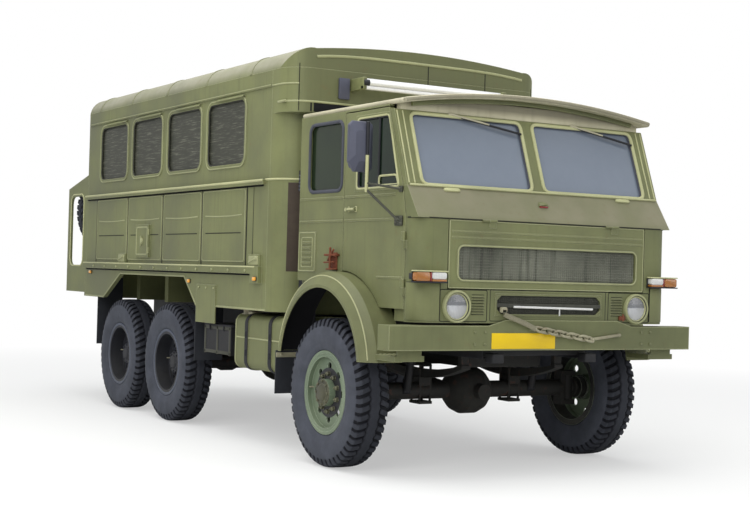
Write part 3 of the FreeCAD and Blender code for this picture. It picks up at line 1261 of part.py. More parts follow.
def cargo_front_wall():
    """Front wall of the steel body with its two rounded corners."""
    outer = box("-body_half", "nose+body_front", "skirt_bottom", "2*body_half", "body_corner",
                "belt-seat_gap-skirt_bottom")
    front = along("body_front")
    outer = round_edges(outer, "Z", size("body_corner") - 1, lambda p: p.y < front + 5)
    inner = box("-body_half+body_wall", "nose+body_front+body_wall", "skirt_bottom-1",
                "2*body_half-2*body_wall", "body_corner", "belt-skirt_bottom+2")
    inner = round_edges(inner, "Z", size("body_corner") - size("body_wall"),
                        lambda p: p.y < front + size("body_wall") + 5)
    shell = cut(outer, inner)
    below = box("-body_half+body_corner", "nose+body_front-1", "skirt_bottom-1",
                "2*body_half-2*body_corner", "body_wall+2", "deck_top-deck_plate-60-skirt_bottom")
    return node("cargo_front_wall", cut(shell, below))


def cargo_rear_wall():
    """Rear wall of the steel body with the lower part of the door opening."""
    wall = box("-body_half", "nose+body_rear-body_wall", "skirt_bottom", "2*body_half", "body_wall",
               "belt-seat_gap-skirt_bottom")
    opening = box("exit_right-panel_gap", "nose+body_rear-body_wall-5", "exit_low-panel_gap",
                  "exit_left-exit_right+2*panel_gap", "body_wall+10", "belt")
    below = box(-850, "nose+body_rear-body_wall-5", "skirt_bottom-1", 1700, "body_wall+10",
                "deck_top-deck_plate-30-skirt_bottom")
    seam = "exit_left+panel_gap/2"
    hinges = upright_hinges(REAR_HINGES, seam, "nose+body_rear+hinge_radius+seat_gap", seam, "nose+body_rear-1",
                            "hinge_long", "hinge_leaf+1")
    return node("cargo_rear_wall", fuse(cut(wall, opening, below), *hinges))


def top_section(inset, low):
    """Cross-section of the hard top, set inwards by a wall thickness, from a lowest height up."""
    half = size("top_half") - inset
    shoulder = size("top_shoulder")
    edge_x = size("top_edge_half") - inset * 0.6
    edge_z = size("top_edge") - inset
    crown = size("top_crown") - inset
    bulge_x = half - (half - edge_x) * 0.29
    bulge_z = shoulder + (edge_z - shoulder) * 0.72
    left = Part.Arc(Vector(-half, 0, shoulder), Vector(-bulge_x, 0, bulge_z), Vector(-edge_x, 0, edge_z))
    roof = Part.Arc(Vector(-edge_x, 0, edge_z), Vector(0, 0, crown), Vector(edge_x, 0, edge_z))
    right = Part.Arc(Vector(edge_x, 0, edge_z), Vector(bulge_x, 0, bulge_z), Vector(half, 0, shoulder))
    sides = [Part.makeLine(Vector(half, 0, shoulder), Vector(half, 0, low)),
             Part.makeLine(Vector(half, 0, low), Vector(-half, 0, low)),
             Part.makeLine(Vector(-half, 0, low), Vector(-half, 0, shoulder))]
    return Part.Face(Part.Wire([left.toShape(), roof.toShape(), right.toShape()] + sides))


def rounded_plan(inset, front, low, high):
    """A tall block in plan with the two rounded front corners of the body."""
    half = size("top_half") - inset
    rear = along("body_rear")
    block = Part.makeBox(2 * half, rear - inset - front, high - low, Vector(-half, front, low))
    corners = [e for e in block.Edges if abs(e.Vertexes[0].Z - e.Vertexes[-1].Z) > 1
               and e.CenterOfMass.y < front + 1]
    return block.makeFillet(size("body_corner") - inset, corners)


def top_solid(inset, low):
    """The hard top's form: the section along the body, with its front part standing out above the cab."""
    length = size("body_rear") - size("nose_front")
    body = top_section(inset, low).extrude(Vector(0, length + 10, 0))
    body.translate(Vector(0, along("nose_front") - 5, 0))
    high = size("top_crown") + 10
    main = rounded_plan(inset, along("body_front") + inset, low, high)
    over = rounded_plan(inset, along("nose_front") + inset, size("nose_bottom") + inset, high)
    return body.common(main.fuse(over))


def hardtop_shell():
    """The whole hollow top with its eight window openings and the upper part of the rear door opening."""
    wall = size("top_wall")
    shell = top_solid(0, size("belt")).cut(top_solid(wall, size("belt") - 50))
    cuts = []
    for bay in range(4):
        y = along("bay_start") + bay * size("bay_pitch") + size("light_margin")
        opening = Part.makeBox(2 * size("top_half") + 20, size("bay_pitch") - 2 * size("light_margin"),
                               size("light_high") - size("light_low"),
                               Vector(-size("top_half") - 10, y, size("light_low")))
        edges = [e for e in opening.Edges if abs(e.Vertexes[0].X - e.Vertexes[-1].X) > 1]
        cuts.append(opening.makeFillet(size("light_corner"), edges))
    gap = size("panel_gap")
    cuts.append(Part.makeBox(size("exit_left") - size("exit_right") + 2 * gap, wall + 40,
                             size("exit_high") + gap - size("belt") + 20,
                             Vector(size("exit_right") - gap, along("body_rear") - wall - 20, size("belt") - 20)))
    return shell.cut(cuts[0].multiFuse(cuts[1:]))


def window_trim(face, side, bay):
    """The frame that holds a body pane, lapping over its edges, and the small hood above it."""
    bead, out, corner = size("light_bead"), size("bead_out"), size("light_corner")
    start = bay + size("light_margin")
    long = size("bay_pitch") - 2 * size("light_margin")
    tall = size("light_high") - size("light_low")

    def plate(inset, extra):
        x_low = face - (out if side < 0 else 9) - extra
        shape = Part.makeBox(out + 9 + 2 * extra, long - 2 * inset, tall - 2 * inset,
                             Vector(x_low, start + inset, size("light_low") + inset))
        edges = [e for e in shape.Edges if abs(e.Vertexes[0].X - e.Vertexes[-1].X) > 1]
        return shape.makeFillet(corner - inset, edges)

    frame = plate(-2, 0).cut(plate(bead, 5))
    top = size("light_high")
    tip = face + side * size("hood_out")
    root = face - side
    y = bay + size("hood_start")
    corners = [Vector(root, y, top - 8), Vector(tip, y, top - 12), Vector(tip, y, top - 6), Vector(root, y, top + 14)]
    hood = Part.Face(Part.makePolygon(corners + corners[:1])).extrude(Vector(0, size("hood_length"), 0))
    return [frame, hood]


def hardtop():
    """Hard top as welded panels: the roof, the two sides, and the front and rear ends."""
    whole = hardtop_shell()
    half = size("top_half") + 10
    low, seam, high = size("belt") - 10, size("top_shoulder"), size("top_crown")
    nose_y, end_y = along("nose_front") - 10, along("body_rear") + 10
    front_y, rear_y = along("body_front") + size("body_corner"), along("body_rear") - size("top_wall")

    def part(y_low, y_high, z_low, z_high):
        return whole.common(Part.makeBox(2 * half, y_high - y_low, z_high - z_low, Vector(-half, y_low, z_low)))

    bands = []
    for post in range(5):
        y = along("bay_start") + post * size("bay_pitch") - size("seam_wide") / 2.0
        outer = top_section(-size("seam_out"), seam - 10).cut(top_section(1, seam - 20))
        band = outer.extrude(Vector(0, size("seam_wide"), 0))
        band.translate(Vector(0, y, 0))
        bands.append(band.common(Part.makeBox(2 * half, size("seam_wide"), high - seam, Vector(-half, y, seam))))
    node("hardtop", made(part(nose_y, end_y, seam, high).multiFuse(bands)))
    sides = part(front_y, rear_y, low, seam)
    out = size("gutter_out")
    trims = []
    for side in (-1, 1):
        face = side * size("top_half")
        trims.append(Part.makeBox(out + 1, rear_y - front_y, size("gutter_tall"),
                                  Vector(face - (out if side < 0 else 1), front_y, size("gutter_height"))))
        for bay in range(4):
            trims += window_trim(face, side, along("bay_start") + bay * size("bay_pitch"))
    node("hardtop_sides", made(sides.multiFuse(trims)))
    ends = [part(nose_y, front_y, low, seam), part(rear_y, end_y, low, seam)]
    return node("hardtop_ends", made(Part.makeCompound(ends)))


def hardtop_panes():
    """Eight window panes set in the hard top's openings."""
    panes = []
    gap = size("seat_gap")
    for side in (-1, 1):
        x = side * (size("top_half") - size("top_wall") / 2.0) - size("pane") / 2.0
        for bay in range(4):
            y = along("bay_start") + bay * size("bay_pitch") + size("light_margin") + gap
            pane = Part.makeBox(size("pane"), size("bay_pitch") - 2 * size("light_margin") - 2 * gap,
                                size("light_high") - size("light_low") - 2 * gap,
                                Vector(x, y, size("light_low") + gap))
            edges = [e for e in pane.Edges if abs(e.Vertexes[0].X - e.Vertexes[-1].X) > 1]
            panes.append(pane.makeFillet(size("light_corner"), edges))
    return node("hardtop_panes", made(Part.makeCompound(panes)))


def rear_door():
    """Rear door through the steel wall and the hard top, hinged at the truck's left."""
    leaf = box("exit_right", "nose+body_rear-body_wall", "exit_low", "exit_left-exit_right", "body_wall",
               "exit_high-exit_low")
    handle = box("exit_right+60", "nose+body_rear-1", 1800, 26, 26, 120)
    seam = "exit_left+panel_gap/2"
    hinges = upright_hinges(REAR_HINGES, seam, "nose+body_rear+hinge_radius+seat_gap", seam + "-hinge_long",
                            "nose+body_rear-1", "hinge_long", "hinge_leaf+1", moving=True)
    return node("rear_door", fuse(leaf, handle, *hinges))


def rear_carrier():
    """Step box across the rear, side plates with a tall opening and the spare wheel's stud."""
    wall = "nose+body_rear+seat_gap"
    depth = "carrier_rear-body_rear-seat_gap"
    step = box("-carrier_half", wall, "carrier_low", "2*carrier_half", depth, "carrier_box")
    side = [(wall, "carrier_low+10"), ("nose+carrier_rear", "carrier_low+10"),
            ("nose+carrier_rear", "carrier_top"), (wall, "carrier_top+carrier_slope")]
    plates = []
    for x in ("-carrier_half", "-carrier_inner"):
        plate = slab("YZ", side, x, "carrier_plate")
        opening = round_edges(box(x + "-5", "nose+body_rear+110", "carrier_low+carrier_box+70",
                                  "carrier_plate+10", "carrier_rear-body_rear-190",
                                  "carrier_top-carrier_low-carrier_box-150"), "X", 80)
        plates.append(cut(plate, opening))
    flange = slab("YZ", [("nose+carrier_rear", "carrier_top-14"), (wall, "carrier_top+carrier_slope-14"),
                         (wall, "carrier_top+carrier_slope"), ("nose+carrier_rear", "carrier_top")],
                  "-carrier_half", "carrier_flange")
    stud = rod("Y", "-spare_place", wall, "spare_height", "spindle_radius", "spare_back-body_rear+60-seat_gap")
    foot = box("-spare_place-110", wall, "spare_height-110", 220, 130, 220)
    tie = box("-carrier_half+5", wall, "spare_height-40", "carrier_half-carrier_inner", 40, 80)
    return node("rear_carrier", fuse(step, *plates, flange, stud, foot, tie))


def light_bar():
    """Tube lamp on two brackets, in front of the hard top above the cab."""
    nose = size("nose")
    low = size("bar_height")
    tube = Part.makeCylinder(22, 1250, Vector(-625, nose + 1440, low + 50), Vector(1, 0, 0))
    tray = Part.makeBox(1290, 40, 30, Vector(-645, nose + 1430, low))
    pieces = [tray]
    for x in (-640, 610):
        pieces.append(Part.makeBox(30, size("nose_front") - 1430 - size("seat_gap"), 90,
                                   Vector(x, nose + 1430, low)))
    return node("light_bar", made(tube.multiFuse(pieces)))


chassis_frame()
front_bumper()
tow_chain()

cab_floor()
cab_front()
windscreen_frame()
cab_shell()
cab_roof()
grille_hatch()
grille_mesh()
lower_grille()
tow_strap()
headlamps()
signal_lamps()
cab_glass()
doors()
mirror()
seats()
cab_controls()
fenders()
mudflaps()
engine()
driveline()
front_axle()
knuckles()
bogie()
wheels()
spare_wheel()
fuel_tank()
battery_box()
air_tanks()
exhaust()
air_intake()
cargo_floor()
cargo_sides()
cargo_front_wall()
cargo_rear_wall()
hardtop()
hardtop_panes()
rear_door()
rear_carrier()
light_bar()

doc.recompute()

for thing in doc.Objects:
    if "Invalid" in thing.State or "Error" in thing.State:
        raise RuntimeError("%s (%s) did not compute" % (thing.Name, thing.Label))

os.makedirs("parts", exist_ok=True)
for thing in NODES:
    if thing.Shape.isNull() or not thing.Shape.isValid() or not thing.Shape.Solids:
        raise RuntimeError("%s has no valid solid" % thing.Label)
    thing.Shape.exportStep("parts/%s.step" % thing.Label)
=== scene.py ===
# %% [markdown]
# # A military cargo truck
# The CAD model gives every solid of the truck, its bodies and its joints. This script loads it as a fixed
# frame, in metres: the front faces -Y, the truck's own left is +X, the ground is z = 0. Finer pieces and
# finishes are added round that frame, each riding on the body that would carry it.

import bpy
import json
import math
import numpy as np
from mathutils import Matrix, Vector


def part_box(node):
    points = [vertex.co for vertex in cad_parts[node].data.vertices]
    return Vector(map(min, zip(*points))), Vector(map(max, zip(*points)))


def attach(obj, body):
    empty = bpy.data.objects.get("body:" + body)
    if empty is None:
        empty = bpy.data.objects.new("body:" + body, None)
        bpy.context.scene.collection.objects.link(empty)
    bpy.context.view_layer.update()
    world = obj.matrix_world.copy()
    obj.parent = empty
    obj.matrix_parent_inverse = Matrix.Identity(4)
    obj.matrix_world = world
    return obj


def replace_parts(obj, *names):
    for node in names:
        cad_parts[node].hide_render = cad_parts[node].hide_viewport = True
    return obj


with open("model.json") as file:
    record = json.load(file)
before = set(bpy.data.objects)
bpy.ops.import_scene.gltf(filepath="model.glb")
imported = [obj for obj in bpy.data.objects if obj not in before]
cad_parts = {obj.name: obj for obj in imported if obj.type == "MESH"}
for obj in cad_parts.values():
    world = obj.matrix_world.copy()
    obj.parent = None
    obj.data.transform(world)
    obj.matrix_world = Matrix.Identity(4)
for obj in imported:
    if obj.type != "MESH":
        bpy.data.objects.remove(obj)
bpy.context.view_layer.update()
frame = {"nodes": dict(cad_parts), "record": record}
FOLD = 0.012  # the front bumper's folded edge stands this far before its face
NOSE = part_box("front_bumper")[0][1] + FOLD

# %% [markdown]
# ## Helpers
# A shape here is a stack of rings: an array of K rings of N points. Neighbouring rings are joined by
# quads, and the first and last may be closed by a cap. Lathe work, rods, beads and rounded plates all come
# from that one idea, so each needs only a formula for its rings.


# %% Rings to mesh
def skin(rings, along=False):
    """Joins ring k to ring k+1 with quads (k, n), (k, n+1), (k+1, n+1), (k+1, n). The ends get a cap each, or
    with along, the last ring joins the first."""
    rings = np.asarray(rings, float)
    count, width = rings.shape[:2]
    ids = np.arange(count * width).reshape(count, width)
    rows = np.vstack([ids, ids[:1]]) if along else ids
    cols = np.hstack([rows, rows[:, :1]])
    quads = np.stack([cols[:-1, :-1], cols[:-1, 1:], cols[1:, 1:], cols[1:, :-1]], -1).reshape(-1, 4)
    faces = quads.tolist()
    if not along:
        faces += [ids[0, ::-1].tolist(), ids[-1].tolist()]
    return rings.reshape(-1, 3), faces


def flipped(shape):
    """The shape mirrored in the centre plane: x changes sign and each face is walked the other way."""
    points, faces = shape
    return points * (-1, 1, 1), [face[::-1] for face in faces]


def both_sides(shapes):
    """The shapes of the truck's right side, and the same again on its left."""
    return shapes + [flipped(shape) for shape in shapes]


def outward(shape):
    """Walks every face the other way when the signed volume, the sum of point . (a x b) / 6, is below zero."""
    points, faces = shape
    total = 0.0
    for face in faces:
        p = points[face]
        total += np.einsum("ij,ij->", np.cross(p[1:-1] - p[0], p[2:] - p[0]),
                           np.broadcast_to(p[0], p[2:].shape))
    return shape if total > 0 else (points, [face[::-1] for face in faces])


def piece(name, shapes, material, body="truck", sharp=35, values=None):
    """Puts closed shapes, each turned to face outwards, together as one object that rides on a body."""
    points, faces, start = [], [], 0
    for shape_points, shape_faces in map(outward, shapes):
        points.append(shape_points)
        faces += [[i + start for i in face] for face in shape_faces]
        start += len(shape_points)
    mesh = bpy.data.meshes.new(name)
    mesh.from_pydata(np.vstack(points).tolist(), [], faces)
    mesh.polygons.foreach_set("use_smooth", np.ones(len(faces), bool))
    mesh.set_sharp_from_angle(angle=math.radians(sharp))
    if values is not None:
        mesh.attributes.new("wear", "FLOAT", "POINT").data.foreach_set("value", np.asarray(values, np.float32))
    mesh.materials.append(material)
    mesh.update()
    thing = bpy.data.objects.new(name, mesh)
    bpy.context.scene.collection.objects.link(thing)
    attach(thing, body)
    MADE.append((name, len(faces)))
    return thing


MADE = []


def rounded_loop(half_a, half_b, radius, steps=5):
    """A rounded rectangle: corner c adds radius * (cos t, sin t) to its centre, t running over 90 degrees."""
    turn = np.linspace(0, np.pi / 2, steps + 1)
    corners = [(1, 1), (-1, 1), (-1, -1), (1, -1)]
    parts = []
    for k, (a, b) in enumerate(corners):
        t = turn + k * np.pi / 2
        parts.append(np.stack([a * (half_a - radius) + radius * np.cos(t),
                               b * (half_b - radius) + radius * np.sin(t)], -1))
    return np.vstack(parts)


def back(distance):
    """The y of what lies a distance behind the bumper's face."""
    return NOSE + distance


def at(x, distance, z):
    """A point, its y given as the distance behind the bumper's face."""
    return x, back(distance), z


AXES = {"x": (1, 2, 0), "y": (2, 0, 1), "z": (0, 1, 2)}


def block(low, high, edge=0.004, corner=None, axis="z", steps=3):
    """A plate with rounded edges: a rounded rectangle across one axis, drawn in at both ends by the edge."""
    low, high = np.asarray(low, float), np.asarray(high, float)
    a, b, c = AXES[axis]
    centre, half = (low + high) / 2, (high - low) / 2
    edge = min(edge, half[c] * 0.98, half[a] * 0.98, half[b] * 0.98)
    corner = max(corner or edge, edge * 1.01)
    turn = np.linspace(0, np.pi / 2, steps)
    inset = np.concatenate([edge * (1 - np.sin(turn)), edge * (1 - np.cos(turn))])
    level = np.concatenate([-half[c] + edge * (1 - np.cos(turn)), half[c] - edge * (1 - np.sin(turn))])
    rings = np.zeros((len(inset), 4 * (steps + 1), 3))
    for k, (draw, height) in enumerate(zip(inset, level)):
        flat = rounded_loop(half[a] - draw, half[b] - draw, max(corner - draw, 1e-5), steps)
        rings[k, :, a] = flat[:, 0] + centre[a]
        rings[k, :, b] = flat[:, 1] + centre[b]
        rings[k, :, c] = height + centre[c]
    return skin(rings)


def directions(path, closed):
    """Unit tangents of a path, from the difference of the points before and after each point."""
    path = np.asarray(path, float)
    if closed:
        run = np.roll(path, -1, 0) - np.roll(path, 1, 0)
    else:
        run = np.gradient(path, axis=0)
    return run / np.linalg.norm(run, axis=1, keepdims=True)


def carried(path, section, up=(0, 0, 1), closed=False):
    """A section (a, b) carried along a path: point + a * side + b * up', side = tangent x up."""
    path, section = np.asarray(path, float), np.asarray(section, float)
    tangent = directions(path, closed)
    side = np.cross(tangent, np.broadcast_to(np.asarray(up, float), path.shape))
    side /= np.linalg.norm(side, axis=1, keepdims=True)
    lift = np.cross(side, tangent)
    rings = (path[:, None] + side[:, None] * section[None, :, :1] + lift[:, None] * section[None, :, 1:])
    return skin(rings[:, ::-1], along=closed)


def round_section(radius, sides=8):
    """A circle as points (radius * cos t, radius * sin t)."""
    t = np.linspace(0, 2 * np.pi, sides, endpoint=False)
    return np.stack([radius * np.cos(t), radius * np.sin(t)], -1)


def rod(start, end, radius, sides=10):
    """A round bar between two points, its ends slightly chamfered."""
    start, end = np.asarray(start, float), np.asarray(end, float)
    run = end - start
    long = np.linalg.norm(run)
    up = (0, 0, 1) if abs(run[2]) < 0.9 * long else (0, 1, 0)
    trim = min(radius * 0.25, long * 0.2)
    side = np.cross(run / long, up)
    side /= np.linalg.norm(side)
    lift = np.cross(side, run / long)
    ring = round_section(1.0, sides)[::-1]
    circle = ring[:, :1] * side + ring[:, 1:] * lift
    stops = [(0, radius - trim), (trim, radius), (long - trim, radius), (long, radius - trim)]
    rings = [start + run / long * s + circle * r for s, r in stops]
    return skin(np.array(rings))


def lathe(profile, centre, axis="x", sides=48, closed_profile=False):
    """Turns (along, radius) points about an axis: (s, r) becomes centre + s * axis + r * (cos t, sin t)."""
    profile = np.asarray(profile, float)
    c, a, b = {"x": (0, 1, 2), "y": (1, 2, 0), "z": (2, 0, 1)}[axis]
    t = np.linspace(0, 2 * np.pi, sides, endpoint=False)
    rings = np.zeros((len(profile), sides, 3))
    rings[..., c] = profile[:, :1]
    rings[..., a] = profile[:, 1:] * np.cos(t)
    rings[..., b] = profile[:, 1:] * np.sin(t)
    rings += np.asarray(centre, float)
    return skin(rings, along=closed_profile)


def bolt_head(centre, radius, height, top, edge, axis="x"):
    """A hexagon head that looks to minus: (0, radius), (height, radius), (top, edge) turned in six sides."""
    return lathe([(0.0, radius), (-height, radius), (-top, edge)], centre, axis, sides=6)


# %% [markdown]
# ## Colours and nodes
# Paint colours are written as sRGB hex values, as a paint chart gives them, and turned to the linear
# numbers that the shader wants by one function. One more function adds a node with its settings and links.


# %% Colour and node helpers
def linear(code, alpha=1.0):
    """sRGB hex to linear: c / 12.92 below 0.04045, else ((c + 0.055) / 1.055) ** 2.4."""
    values = np.array([int(code[i:i + 2], 16) for i in (1, 3, 5)]) / 255.0
    values = np.where(values <= 0.04045, values / 12.92, ((values + 0.055) / 1.055) ** 2.4)
    return (*values.tolist(), alpha)


def add(tree, kind, inputs=None, ramp=None, **settings):
    """Adds a shader node. Inputs are given by socket name or number: a value, another node's output, or another
    node, which stands for its first output in use."""
    made = tree.nodes.new("ShaderNode" + kind)
    for name, value in settings.items():
        setattr(made, name, value)
    if ramp:
        points = made.color_ramp.elements
        while len(points) < len(ramp):
            points.new(0.5)
        for point, (place, colour) in zip(points, ramp):
            point.position = place
            point.color = linear(colour) if isinstance(colour, str) else (colour, colour, colour, 1)
    for name, value in (inputs or {}).items():
        socket = made.inputs[name]
        if isinstance(value, bpy.types.Node):
            value = next(output for output in value.outputs if output.enabled)
        if isinstance(value, bpy.types.NodeSocket):
            tree.links.new(value, socket)
        else:
            socket.default_value = value
    return made


def new_material(name):
    """A material with no nodes yet, and its node tree."""
    material = bpy.data.materials.new(name)
    material.use_nodes = True
    material.node_tree.nodes.clear()
    return material, material.node_tree

# %% [markdown]
# ## Camera, floor and light
# The camera stands low and in front of the truck's right corner, with a long lens. The lights are large and
# soft, so that each colour shows about as it is written. The pale floor keeps the shadow under the truck and
# fades to white with distance.

# %% Camera
CAMERA_PLACE = Vector((-5.7092, -10.4832, 1.3303))
CAMERA_YAW, CAMERA_PITCH, CAMERA_ROLL = 0.5401, 0.0067, 0.0285
LENS_MM, SENSOR_MM, CLIP_END = 66.56304, 36, 200

ahead = Vector((math.sin(CAMERA_YAW) * math.cos(CAMERA_PITCH), math.cos(CAMERA_YAW) * math.cos(CAMERA_PITCH),
                math.sin(CAMERA_PITCH)))
across = Vector((math.cos(CAMERA_YAW), -math.sin(CAMERA_YAW), 0))
above = across.cross(ahead)
right = across * math.cos(CAMERA_ROLL) + above * math.sin(CAMERA_ROLL)
upward = above * math.cos(CAMERA_ROLL) - across * math.sin(CAMERA_ROLL)

lens = bpy.data.cameras.new("lens")
lens.sensor_width, lens.lens, lens.clip_end = SENSOR_MM, LENS_MM, CLIP_END
camera = bpy.data.objects.new("camera", lens)
camera.matrix_world = Matrix((right, upward, -ahead)).transposed().to_4x4()
camera.location = CAMERA_PLACE
bpy.context.scene.collection.objects.link(camera)
bpy.context.scene.camera = camera
bpy.context.scene.view_settings.view_transform = "Standard"

# %% Floor, world and lamps
FLOOR_HALF = 60.0
floor_mesh = bpy.data.meshes.new("floor")
floor_mesh.from_pydata([(-FLOOR_HALF, -FLOOR_HALF, 0), (FLOOR_HALF, -FLOOR_HALF, 0),
                        (FLOOR_HALF, FLOOR_HALF, 0), (-FLOOR_HALF, FLOOR_HALF, 0)], [], [(0, 1, 2, 3)])
floor = bpy.data.objects.new("floor", floor_mesh)
bpy.context.scene.collection.objects.link(floor)

floor_paint, tree = new_material("pale_studio_floor")
path = add(tree, "LightPath")
matt = add(tree, "BsdfDiffuse", {"Color": linear("#E9E9E6")})
glow = add(tree, "Emission", {"Color": (1, 1, 1, 1), "Strength": 1.0})
spot = add(tree, "TexCoord").outputs["Object"]
away = add(tree, "VectorMath", {0: spot}, operation="LENGTH")
faded = add(tree, "MapRange", {"Value": away, "From Min": 3.5, "From Max": 11.0, "To Min": 0.45, "To Max": 1.0})
share = add(tree, "Math", {0: path.outputs["Is Camera Ray"], 1: faded}, operation="MULTIPLY")
lit = add(tree, "MixShader", {0: share, 1: matt, 2: glow})
add(tree, "OutputMaterial", {"Surface": lit})
floor_mesh.materials.append(floor_paint)

world = bpy.data.worlds.new("studio")
bpy.context.scene.world = world
world.use_nodes = True
tree = world.node_tree
tree.nodes.clear()
path = add(tree, "LightPath")
seen = add(tree, "Math", {0: path.outputs["Is Camera Ray"], 1: path.outputs["Is Glossy Ray"]},
           operation="MAXIMUM")
seen = add(tree, "Math", {0: seen, 1: path.outputs["Is Transmission Ray"]}, operation="MAXIMUM")
soft = add(tree, "Background", {"Color": linear("#F2F5FA"), "Strength": 0.62})
white = add(tree, "Background", {"Color": (1, 1, 1, 1), "Strength": 1.0})
sky = add(tree, "MixShader", {0: seen, 1: soft, 2: white})
add(tree, "OutputWorld", {"Surface": sky})

# lamp, place, aim, size in metres, power in watts
LAMPS = [("overhead", (-1.5, -1.5, 9.0), (0, 0, 1.5), 9.0, 800),
         ("front_right", (-9.0, -9.0, 6.5), (0, -0.5, 1.4), 6.0, 500),
         ("front_left", (6.5, -11.0, 5.0), (0, -2.0, 1.4), 5.0, 170)]
for lamp_name, place, aim, spread, power in LAMPS:
    lamp = bpy.data.lights.new(lamp_name, "AREA")
    lamp.size, lamp.energy = spread, power
    holder = bpy.data.objects.new(lamp_name, lamp)
    holder.matrix_world = (Vector(aim) - Vector(place)).to_track_quat("-Z", "Y").to_matrix().to_4x4()
    holder.location = place
    bpy.context.scene.collection.objects.link(holder)

# %% [markdown]
# ## Finishes
# Military enamel is sprayed thick and left matt, so light does not glare on it. Years outside fade it in
# clouds, rain draws thin dark runs down the upright faces, dust settles low down, and paint wears thin along
# the folded edges, which are drawn pale as worn paint with a painted highlight. One function lays those four
# layers over any paint colour; each size is in metres. It can also paint light and shade on: paler faces that
# look up, darker high end faces, and near black close to the middle.

